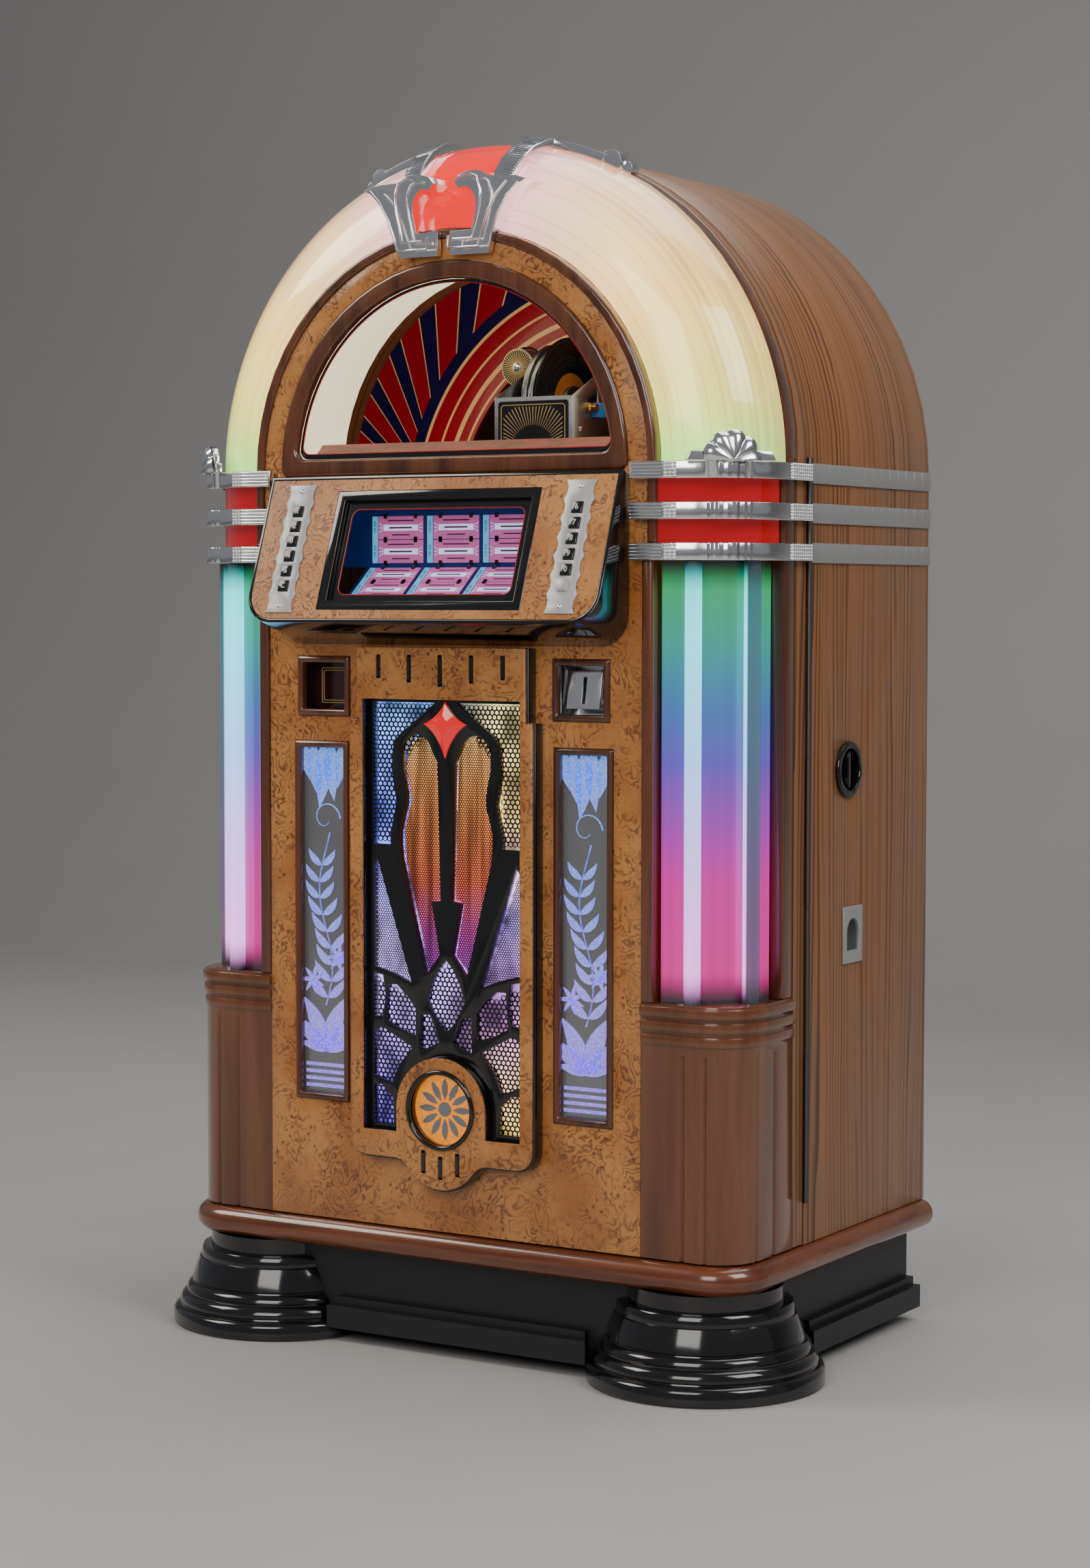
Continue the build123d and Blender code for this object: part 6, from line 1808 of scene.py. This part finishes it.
@dataclass
class Selector:
    """Sloping selector: title window, cards, keys and their plates."""

    window_half: float = 0.136
    window_low: float = -0.0676
    window_high: float = 0.0639
    card_pitch: float = 0.082
    card_width: float = 0.067
    strip_width: float = 0.008
    upper_z: float = 0.990
    card_height: float = 0.0295
    first_x: float = -0.124
    keys_left: str = "12345c"
    keys_right: str = "67890"
    screw_reach: float = 0.0755
    lamp_count: int = 9
    first_lamp: float = -0.112
    lamp_pitch: float = 0.028
    lamp_z: float = 1.0605

    def dress(self) -> None:
        """Gives the selector's nodes their finishes and adds its small pieces."""
        soften("selector_casing", Finish.GLOSS_BLACK, DOOR, 0.0022)
        paint(selector_face=Finish.BURR, selector_glass=Finish.GLASS, title_rack=Finish.RACK)
        soften("key_plates", Finish.SATIN, DOOR, 0.0003)
        self.window_lines()
        self.cards()
        self.keys()
        self.screws()
        self.lamps()

    def window_lines(self) -> None:
        """Black border and red line printed round the title glass."""
        half, low, high = self.window_half, self.window_low, self.window_high
        outer = box_loop(-half - 0.003, half + 0.003, low - 0.003, high + 0.003)
        inner = box_loop(-half + 0.011, half - 0.011, low + 0.011, high - 0.011, 0.010)
        border = Form()
        border.prism([outer, inner], slope(-0.0082), 0.0, 0.0006)
        present(border, "title_glass_border", Finish.GLOSS_BLACK, DOOR)
        line = Form()
        ring = box_loop(-half + 0.010, half - 0.010, low + 0.010, high - 0.010, 0.011)
        line.tube(at(slope(-0.0074), ring), 0.0006, 6, True)
        present(line, "title_pinline", Finish.PINLINE, DOOR, smooth=60)

    def card(self, forms: dict[str, Form], place: Matrix, x: float, low: float) -> None:
        """One title card: the card, its lines, label, end marks and clips.

        Args:
            forms: forms of the parts by name.
            place: the plane that the card lies on.
            x: its left edge.
            low: its lower edge.
        """
        right, high = x + self.card_width, low + self.card_height - 0.001
        middle = (x + right) / 2
        forms["cards"].prism([box_loop(x, right, low, high)], place, 0.0, 0.0006)
        mid = (low + high) / 2
        label = box_loop(x + 0.008, right - 0.008, mid - 0.0037, mid + 0.0037)
        forms["labels"].prism([label], place, 0.0006, 0.0009)
        for v, half in ((mid + 0.0088, 0.019), (mid - 0.0088, 0.013)):
            forms["ink"].bar((middle, v), (half, 0.0008), place, 0.0006, 0.0008)
        forms["ink"].bar((middle, mid), (0.017, 0.001), place, 0.0009, 0.0011)
        for end, way in ((x + 0.0065, -1), (right - 0.0065, 1)):
            tip = end + way * 0.005
            for lean in (-1, 0, 1):
                near, far = mid + lean * 0.0022, mid + lean * 0.0056
                mark = [(end, near - 0.0004), (tip, far - 0.0004), (tip, far + 0.0004), (end, near + 0.0004)]
                forms["labels"].prism([mark[:: -way or 1]], place, 0.0006, 0.0008)
        for clip_x in (x + 0.011, right - 0.011):
            for v in (low, high):
                forms["clips"].bar((clip_x, v), (0.0021, 0.003), place, 0.0006, 0.0024)

    def cards(self) -> None:
        """Two upright rows and two tilted rows of title cards, with their number strips."""
        looks = {
            "cards": Finish.CARD,
            "labels": Finish.LABEL,
            "ink": Finish.INK,
            "clips": Finish.KEY,
            "strips": Finish.NUMBERS,
            "figures": Finish.INK,
        }
        forms = {name: Form() for name in looks}
        upright = front(0.0155)
        lean = atan2(0.062, 0.049)
        tilted = (
            Matrix.Translation((0, SIZES.y(-0.044), 0.9395))
            @ Matrix.Rotation(pi / 2 - lean, 4, "X")
            @ Matrix.Translation((0, 0.004, 0.0008))
        )
        number = 100
        for place, low in ((upright, self.upper_z), (tilted, 0.008)):
            for column in range(3):
                x = self.first_x + column * self.card_pitch
                high = low + 2 * self.card_height
                strip = box_loop(x, x + self.strip_width, low, high - 0.001)
                forms["strips"].prism([strip], place, 0.0, 0.0008)
                for row in range(2):
                    self.card(forms, place, x + self.strip_width + 0.001, low + row * self.card_height)
                    middle = low + (row + 0.5) * self.card_height
                    spot = place @ Matrix.Translation((x + self.strip_width / 2, middle, 0.0008))
                    spot = spot @ Matrix.Rotation(pi / 2, 4, "Z")
                    numeral(forms["figures"], f"{number} {number + 100}", 0.0034, spot, 0.0002)
                    number += 4
        for name, finish in looks.items():
            present(forms[name], f"title_{name}", finish, DOOR)

    def keys(self) -> None:
        """Rounded keys with white figures."""
        for side, names in ((-1, self.keys_left), (1, self.keys_right)):
            for row, name in enumerate(names):
                body, node = f"button_{name}", f"key_{name}"
                soften(node, Finish.KEY, body, 0.0007)
                v = (2.5 - row) * SIZES.key_pitch
                spot = slope(0.0032) @ Matrix.Translation((side * SIZES.key_column, v, 0.0))
                figure = Form()
                numeral(figure, name.upper(), 0.0072, spot, 0.0002)
                present(figure, f"figure_{name}", Finish.LEGEND, body)

    def screws(self) -> None:
        """Round-headed screws at both ends of the key plates."""
        heads = Studs(Shape.DOME, 0.0032, sides=14)
        turn = slope().to_euler()
        for side in (-1, 1):
            for v in (-self.screw_reach, self.screw_reach):
                heads.put(slope(0.0015) @ Vector((side * SIZES.key_column, v, 0)), turn, (1, 1, 0.5))
        heads.finish("plate_screws", Finish.CHROME, DOOR, "satin_metal")

    def lamps(self) -> None:
        """Row of small blue lamps over the cards."""
        dots = Studs(Shape.DOME, 0.0030, sides=10)
        for n in range(self.lamp_count):
            x = self.first_lamp + n * self.lamp_pitch
            dots.put((x, SIZES.y(0.010), self.lamp_z), None, (1, 1, 0.6))
        dots.finish("title_lamps", Finish.LAMP, DOOR, "rack_metal")


@dataclass
class CentrePanel:
    """Grille, jewel, medallion, mirrors and recesses."""

    grille_half: float = 0.1135
    grille_low: float = 0.286
    grille_high: float = 0.820
    collar_z: float = 0.316
    coarse_pitch: float = 0.0066
    fine_pitch: float = 0.0034
    medallion_ring: float = 0.047
    mirror_x: float = 0.192
    # outlines of the right half: across from the middle, and height, a little past each opening
    finger: Loop = (
        (0.064, 0.765), (0.069, 0.735), (0.064, 0.713), (0.061, 0.695), (0.071, 0.660),
        (0.069, 0.622), (0.032, 0.476), (0.005, 0.505), (0.017, 0.570), (0.004, 0.574),
        (0.009, 0.745), (0.018, 0.765), (0.041, 0.783),
    )
    flank_window: Loop = (
        (0.103, 0.626), (0.112, 0.616), (0.112, 0.484), (0.078, 0.476), (0.046, 0.466),
    )
    upper_window: Loop = (
        (0.0, 0.820), (0.1125, 0.820), (0.1125, 0.636), (0.071, 0.636), (0.071, 0.735), (0.0, 0.800),
    )
    lower_window: Loop = (
        (0.0, 0.505), (0.060, 0.460), (0.1125, 0.482), (0.1125, 0.287), (0.070, 0.287),
        (0.058, 0.355), (0.0, 0.385),
    )
    # direction in degrees, and length
    spray: Loop = (
        (28, 0.044), (52, 0.070), (78, 0.082), (104, 0.078), (130, 0.068), (154, 0.042),
    )
    # place across from the mirror's middle, length, direction and bend in degrees
    fronds: Sequence[Sequence[float]] = (
        (-0.030, 0.050, 262, 30), (-0.018, 0.072, 266, 22), (-0.004, 0.084, 276, -18),
        (0.010, 0.074, 264, 16), (0.024, 0.058, 276, -22),
    )
    etch: float = 0.0006

    def dress(self) -> None:
        """Gives the panel's nodes their finishes and adds its small pieces."""
        soften("centre_backer", Finish.GLOSS_BLACK, DOOR, 0.0014)
        soften("centre_veneer", Finish.BURR, DOOR, 0.0008)
        soften("grille_tracery", Finish.GLOSS_BLACK, DOOR, 0.0013)
        paint(woofer=Finish.CONE, mirror_panels=Finish.MIRROR, credit_display=Finish.WINDOW)
        soften("coin_entry", Finish.CHROME, DOOR, 0.0008)
        self.sheets()
        self.glow()
        self.jewel()
        self.rosette()
        self.slots()
        self.etchings()
        self.credit_lines()

    def sheets(self) -> None:
        """Coarse sheet in the upper and lower windows, and fine ones in and beside the fingers."""
        fine = [mirrored(self.finger, side) for side in (1, -1)]
        beside = [mirrored(self.flank_window, side) for side in (1, -1)]
        open_parts = (self.upper_window, self.lower_window)
        wide = [mirrored(part, side) for part in open_parts for side in (1, -1)]
        coarse = PerforatedSheet(self.coarse_pitch, 0.70)
        coarse.finish("coarse_mesh", wide, front(0.0006), Finish.MESH, ("grille_mesh",))
        small = PerforatedSheet(self.fine_pitch, 0.68, 0.0004)
        small.finish("finger_mesh", fine, front(0.0008), Finish.FINE_MESH)
        small.finish("flank_mesh", beside, front(0.0008), Finish.FINE_MESH)

    def glow(self) -> None:
        """Lit sheets behind the meshes."""
        back, lit = Form(), Form()
        half, low, high = self.grille_half, self.grille_low, self.grille_high
        back.prism([box_loop(-half, half, low, high)], front(0.012), 0.0, 0.001)
        present(back, "grille_glow", Finish.GLOW, DOOR)
        for side in (1, -1):
            loop = mirrored(self.finger, side)
            lit.prism([loop if side < 0 else loop[::-1]], front(0.0095), 0.0, 0.001)
        present(lit, "finger_glow", Finish.FINGER_GLOW, DOOR)

    def jewel(self) -> None:
        """Four-pointed jewel with raised facets."""
        z, rise, drop, half = 0.792, 0.027, 0.042, 0.031
        outline: list[Point] = []
        corners = ((0.0, z + rise), (half, z), (0.0, z - drop), (-half, z))
        for (x0, z0), (x1, z1) in zip(corners, (*corners[1:], corners[0])):
            waist = (0.30 * (x0 + x1), z + 0.30 * (z0 + z1 - 2 * z))
            for t in (k / 6 for k in range(6)):
                u = (1 - t) ** 2 * x0 + 2 * t * (1 - t) * waist[0] + t**2 * x1
                v = (1 - t) ** 2 * z0 + 2 * t * (1 - t) * waist[1] + t**2 * z1
                outline.append((u, v))
        form = Form()
        place = front(-0.008)
        rim = at(place, outline, 0.0025)
        foot = at(place, outline, 0.0)
        table = at(place, [(x * 0.42, z + (v - z) * 0.42) for x, v in outline], 0.0075)
        form.grid([foot, rim, table], wrap=True)
        count = len(outline)
        form.faces.append(tuple(2 * count + k for k in range(count)))
        form.faces.append(tuple(reversed(range(count))))
        stands_for = ("star_jewel",)
        present(form, "star_jewel_facets", Finish.JEWEL, DOOR, 0.0, 12, stands_for)

    def rosette(self) -> None:
        """Amber lens of the medallion, with a plain rosette of petals."""
        paint(medallion=Finish.AMBER)
        petals = Form()
        place = front(-0.010)
        loop = [(0.012, 0.0), (0.020, 0.0036), (0.028, 0.0042), (0.034, 0.0026), (0.038, 0.0)]
        loop += [(t, -wide) for t, wide in loop[-2:0:-1]]
        for n in range(12):
            a = 2 * pi * n / 12
            turned = [(u * cos(a) - v * sin(a), self.collar_z + u * sin(a) + v * cos(a)) for u, v in loop]
            petals.prism([turned], place, 0.0, 0.0012)
        petals.prism([circle(0, self.collar_z, 0.009, 24)], place, 0.0, 0.0016)
        present(petals, "medallion_rosette", Finish.MIRROR, DOOR)
        ring = Form()
        ring.tube(at(front(-0.0225), circle(0, self.collar_z, self.medallion_ring, 64)), 0.0032, 10, True)
        present(ring, "medallion_ring", Finish.GLOSS_BLACK, DOOR, smooth=60)

    def slots(self) -> None:
        """Black rounded inlays of the slots over and under the grille."""
        inlays = Form()
        upper = [(n * 0.0455, 0.039 - 0.0047 * abs(n)) for n in range(-2, 3)]
        spots = [(x, 0.877 - length / 2, length) for x, length in upper]
        spots += [(n * 0.025, 0.244 + 0.006 * abs(n), 0.029) for n in range(-1, 2)]
        for x, z, length in spots:
            half = length / 2 - 0.0032
            inlays.tube(at(front(-0.0205), [(x, z - half), (x, z + half)]), 0.0030, 10)
        present(inlays, "slot_inlays", Finish.GLOSS_BLACK, DOOR, smooth=60)

    def leaf(
        self, form: Form, place: Matrix, foot: Point, length: float, turn: float, bend: float
    ) -> None:
        """Adds a pointed leaf that grows from a point.

        Args:
            form: the form that takes it.
            place: plane that it lies on.
            foot: the point.
            length: its length.
            turn: direction that it grows in, in degrees from level.
            bend: how far it curls, in degrees.
        """
        left, right = [], []
        (px, pz), a = foot, radians(turn)
        steps = 10
        for n in range(steps + 1):
            t = n / steps
            wide = 0.15 * length * sin(pi * t**0.8)
            left.append((px - wide * sin(a), pz + wide * cos(a)))
            right.append((px + wide * sin(a), pz - wide * cos(a)))
            a += radians(bend) / steps
            px += length / steps * cos(a)
            pz += length / steps * sin(a)
        form.prism([[*right, *left[-2:0:-1]]], place, 0.0, self.etch)

    def etchings(self) -> None:
        """Hanging fronds, a tall curled plant, leaves and flowers etched on both mirrors."""
        form = Form()
        place = front(0.0078)
        for middle in (-self.mirror_x, self.mirror_x):
            for n in range(4):
                z = 0.325 + n * 0.009
                band = box_loop(middle - 0.031, middle + 0.031, z, z + 0.0045)
                form.prism([band], place, 0.0, self.etch)
            for turn, length in self.spray:
                self.leaf(form, place, (middle, 0.371), length, turn, 24 if turn > 90 else -24)
            for flower in ((middle - 0.020, 0.462), (middle + 0.019, 0.492)):
                for n in range(7):
                    self.leaf(form, place, flower, 0.019, 20 + n * 360 / 7, 14)
            stem = [(middle + 0.010 * sin(k / 3.0), 0.43 + k * 0.0105) for k in range(22)]
            for (x0, z0), (x1, z1) in zip(stem, stem[1:]):
                loop = [(x0 - 0.0009, z0), (x0 + 0.0009, z0), (x1 + 0.0009, z1), (x1 - 0.0009, z1)]
                form.prism([loop], place, 0.0, self.etch)
            for n in range(9):
                length = 0.038 - 0.0010 * n
                self.leaf(form, place, stem[2 * n + 1], length, 20, 46)
                self.leaf(form, place, stem[2 * n + 1], length, 160, -46)
            turns = [(n * 0.35, 0.022 - n * 0.0010) for n in range(17)]
            curl = [(middle + r * cos(a), 0.668 + r * sin(a)) for a, r in turns]
            for (x0, z0), (x1, z1) in zip(curl, curl[1:]):
                side_x, side_z = (z1 - z0) * 0.25, (x0 - x1) * 0.25
                loop = [(x0, z0), (x0 + side_x, z0 + side_z), (x1 + side_x, z1 + side_z), (x1, z1)]
                form.prism([loop], place, 0.0, self.etch)
            for across, length, turn, bend in self.fronds:
                self.leaf(form, place, (middle + across, 0.764), length, turn, bend)
        present(form, "mirror_etchings", Finish.ETCHING, DOOR)

    def credit_lines(self) -> None:
        """Fine frame lines inside the credit window."""
        lines = Form()
        for inset in (0.016, 0.019):
            loop = box_loop(-0.229 + inset, -0.148 - inset, 0.798 + inset, 0.874 - inset, 0.002)
            lines.tube(at(front(0.0305), loop), 0.0005, 5, True)
        present(lines, "credit_lines", Finish.GOLD, DOOR, smooth=60)


@dataclass
class Player:
    """Record player in the dome."""

    plate_left: float = 0.0265
    plate_right: float = 0.1395
    plate_low: float = 1.112
    plate_high: float = 1.188
    front_depth: float = 0.062
    motor_x: float = -0.0135
    motor_z: float = 1.2395
    motor_depth: float = 0.180
    pulley_shift: float = 0.004
    pulley_z: float = 1.108
    # depth and height of the bolts on each bearing plate
    bolt_places: Loop = (
        (0.080, 1.152), (0.080, 1.118), (0.150, 1.216), (0.178, 1.150), (0.285, 1.225), (0.120, 1.126),
    )
    # radius and height of three turned pieces, from their seat out
    nut_section: Loop = (
        (0, 0), (0.0062, 0), (0.0062, 0.0012), (0.0038, 0.0016), (0.0038, 0.005), (0.002, 0.006), (0, 0.006),
    )
    post_section: Loop = (
        (0, 0), (0.007, 0), (0.007, 0.004), (0.0045, 0.005), (0.0045, 0.012), (0, 0.012),
    )
    pulley_section: Loop = (
        (0, 0), (0.010, 0), (0.0085, 0.006), (0.010, 0.012), (0.003, 0.012), (0.003, 0.016), (0, 0.016),
    )

    def dress(self) -> None:
        """Gives the player's nodes their finishes and adds its small pieces."""
        paint(mech_deck=Finish.MARBLE, backdrop=Finish.ART)
        soften("mech_chassis", Finish.STEEL, CABINET, 0.0006)
        soften("turntable", Finish.STEEL, "disc_turntable", 0.0004, 30)
        soften("playing_record", Finish.RECORD, "disc_turntable", 0.0, 30)
        paint(record_magazine=Finish.STORED, magazine_bracket=Finish.STEEL)
        soften("gripper_arm", Finish.STEEL, "transfer_gripper", 0.0005)
        soften("tonearm", Finish.GLOSS_BLACK, "pickup_arm", 0.0008)
        self.sunburst_plate()
        self.sunburst_disc()
        self.bolts()
        self.belt()
        self.stylus()

    def sunburst_plate(self) -> None:
        """Black plate on the front box with a gold frame and rays."""
        x0, x1 = self.plate_left + 0.006, self.plate_right - 0.006
        plate = Form()
        edge = box_loop(x0, x1, self.plate_low, self.plate_high, 0.004)
        plate.prism([edge], front(self.front_depth), 0.0, 0.0012)
        present(plate, "chassis_plate", Finish.GLOSS_BLACK, CABINET, 0.0003)
        gold = Form()
        frame_in = box_loop(x0 + 0.0052, x1 - 0.0052, 1.1172, 1.1828, 0.004)
        frame_out = box_loop(x0 + 0.0042, x1 - 0.0042, 1.1162, 1.1838, 0.005)
        place = front(self.front_depth - 0.0012)
        gold.prism([frame_out, frame_in], place, 0.0, 0.0003)
        middle, low, near = (x0 + x1) / 2, 1.1285, 0.030
        limit_x = (x1 - x0) / 2 - 0.008
        for a in (pi * n / 34 for n in range(35)):
            far = min(limit_x / max(abs(cos(a)), 0.01), (1.181 - low) / max(sin(a), 0.01), 0.058)
            if far > near + 0.003:
                line = ray(middle, low, a, ((near, 0.0002), (far, 0.0006)))
                gold.prism([line], place, 0.0, 0.0003)
        present(gold, "chassis_plate_rays", Finish.GOLD, CABINET)

    def sunburst_disc(self) -> None:
        """Pale disc with dark rays on the end of the motor, with its spindle nut."""
        disc = Form()
        place = front(self.motor_depth)
        disc.prism([circle(self.motor_x, self.motor_z, 0.0225, 48)], place, 0.0, 0.0012)
        present(disc, "motor_disc", Finish.GOLD, CABINET, 0.0003)
        rays = Form()
        for a in (2 * pi * n / 40 for n in range(40)):
            line = ray(self.motor_x, self.motor_z, a, ((0.0085, 0.0001), (0.0215, 0.0009)))
            rays.prism([line], place, 0.0012, 0.0015)
        present(rays, "motor_rays", Finish.GLOSS_BLACK, CABINET)
        nut = Form()
        spot = place @ Matrix.Translation((self.motor_x, self.motor_z, 0.0012))
        nut.lathe(self.nut_section, spot, 24)
        present(nut, "motor_nut", Finish.CHROME, CABINET)

    def bolts(self) -> None:
        """Bolts on both bearing plates, with a solenoid and a post on the right one."""
        heads = Studs(Shape.ROD, 0.0036, 0.003, 6)
        turn = Euler((0, pi / 2, 0))
        for depth, z in self.bolt_places:
            heads.put((self.plate_right + 0.0015, SIZES.y(depth), z), turn)
            heads.put((self.plate_left - 0.0015, SIZES.y(depth), z), turn)
        heads.finish("plate_bolts", Finish.CHROME, CABINET, "plated_steel", 30.0)
        solenoid = Form()
        place = flank(self.plate_right)
        side = box_loop(SIZES.y(0.108), SIZES.y(0.126), 1.168, 1.186, 0.002)
        solenoid.prism([side], place, 0.0, 0.010)
        present(solenoid, "plate_solenoid", Finish.BLUE_PART, CABINET, 0.0008)
        post = Form()
        spot = place @ Matrix.Translation((SIZES.y(0.100), 1.180, 0))
        post.lathe(self.post_section, spot, 20)
        present(post, "plate_post", Finish.BRASS, CABINET)

    def belt(self) -> None:
        """Drive belt from the motor down to its pulley."""
        low_x = self.motor_x + self.pulley_shift
        upper = arc(self.motor_x, self.motor_z, 0.0265, 0, 180, 9)
        lower = arc(low_x, self.pulley_z, 0.010, 180, 360, 9)
        belt = Form()
        belt.tube(at(front(self.motor_depth + 0.022), [*upper, *lower]), 0.0016, 6, True)
        present(belt, "drive_belt", Finish.RUBBER, CABINET, smooth=60)
        pulley = Form()
        spot = front(self.motor_depth + 0.028) @ Matrix.Translation((low_x, self.pulley_z, 0))
        pulley.lathe(self.pulley_section, spot, 24)
        present(pulley, "drive_pulley", Finish.STEEL, CABINET)

    def stylus(self) -> None:
        """Brass plate on the pickup head."""
        form = Form()
        place = flank(0.0825)
        plate = box_loop(SIZES.y(0.205), SIZES.y(0.221), 1.2415, 1.2485, 0.001)
        form.prism([plate], place, 0.0, 0.0008)
        present(form, "pickup_plate", Finish.BRASS, "pickup_arm", 0.0002)


@dataclass
class Studio:
    """Floor, light and camera."""

    camera_place: Sequence[float] = (2.1031, -3.4278, 0.946)
    yaw: float = 31.49
    pitch: float = -3.40
    roll: float = 0.057
    lens: float = 71.653

    def floor(self) -> None:
        """Pale floor that curves up behind the jukebox."""
        rows = []
        profile = [(-9.0, 0.0), (3.0, 0.0)]
        profile += [(3.0 + 2.0 * sin(radians(a)), 2.0 - 2.0 * cos(radians(a))) for a in range(9, 91, 9)]
        profile += [(5.0, 8.0)]
        for x in (-12.0, 12.0):
            rows.append([Vector((x, y, z)) for y, z in profile])
        form = Form()
        form.grid(rows)
        mesh = plain_mesh("studio_floor", form.verts, form.faces)
        for face in mesh.polygons:
            face.use_smooth = True
        paper = Plain("studio_paper", (0.44, 0.43, 0.42), 0.60, grain=3.0, uneven=0.04)
        mesh.materials.append(paper.material())
        placed("studio_floor", mesh)

    def lamp(
        self, name: str, place: Sequence[float], aim: Sequence[float], size: float, power: float, tint: Colour
    ) -> None:
        """Adds a soft square lamp.

        Args:
            name: its name.
            place: where it stands.
            aim: what it points at.
            size: side of the square.
            power: power in watts.
            tint: colour of its light.
        """
        data = bpy.data.lights.new(name, "AREA")
        data.size = size
        data.energy = power
        data.color = tint
        holder = placed(name, data)
        holder.location = place
        holder.rotation_euler = (Vector(aim) - Vector(place)).to_track_quat("-Z", "Y").to_euler()

    def build(self) -> None:
        """Builds the floor, the lamps, the surround and the camera."""
        self.floor()
        self.lamp("key_left", (-2.9, -1.7, 3.3), (0, 0, 0.8), 1.6, 70.0, (1.0, 0.92, 0.82))
        self.lamp("front_soft", (0.9, -4.6, 2.9), (0, 0, 0.8), 2.4, 100.0, (1.0, 0.96, 0.90))
        self.lamp("fill_right", (3.2, -0.7, 3.1), (0.2, 0.1, 0.8), 1.8, 75.0, (1.0, 0.97, 0.93))
        self.lamp("top_soft", (0.3, 0.9, 3.8), (0, 0, 1.0), 2.4, 50.0, (1.0, 1.0, 1.0))
        world = bpy.data.worlds.new("studio_air")
        world.use_nodes = True
        air = world.node_tree.nodes["Background"]
        air.inputs[0].default_value = (0.55, 0.56, 0.60, 1.0)
        air.inputs[1].default_value = 0.36
        bpy.context.scene.world = world
        data = bpy.data.cameras.new("photo_camera")
        data.sensor_fit = "VERTICAL"
        data.sensor_height = 36.0
        data.lens = self.lens
        camera = placed("photo_camera", data)
        turn = (
            Matrix.Rotation(radians(self.yaw), 4, "Z")
            @ Matrix.Rotation(radians(90 + self.pitch), 4, "X")
            @ Matrix.Rotation(radians(self.roll), 4, "Z")
        )
        camera.matrix_world = Matrix.Translation(self.camera_place) @ turn
        bpy.context.scene.camera = camera


def main() -> None:
    """Dresses every sub-assembly and sets the studio."""
    logging.basicConfig(level=logging.INFO)
    for part in (Carcass(), LitDoor(), Selector(), CentrePanel(), Player()):
        part.dress()
    Studio().build()


if __name__ == "__main__":
    main()
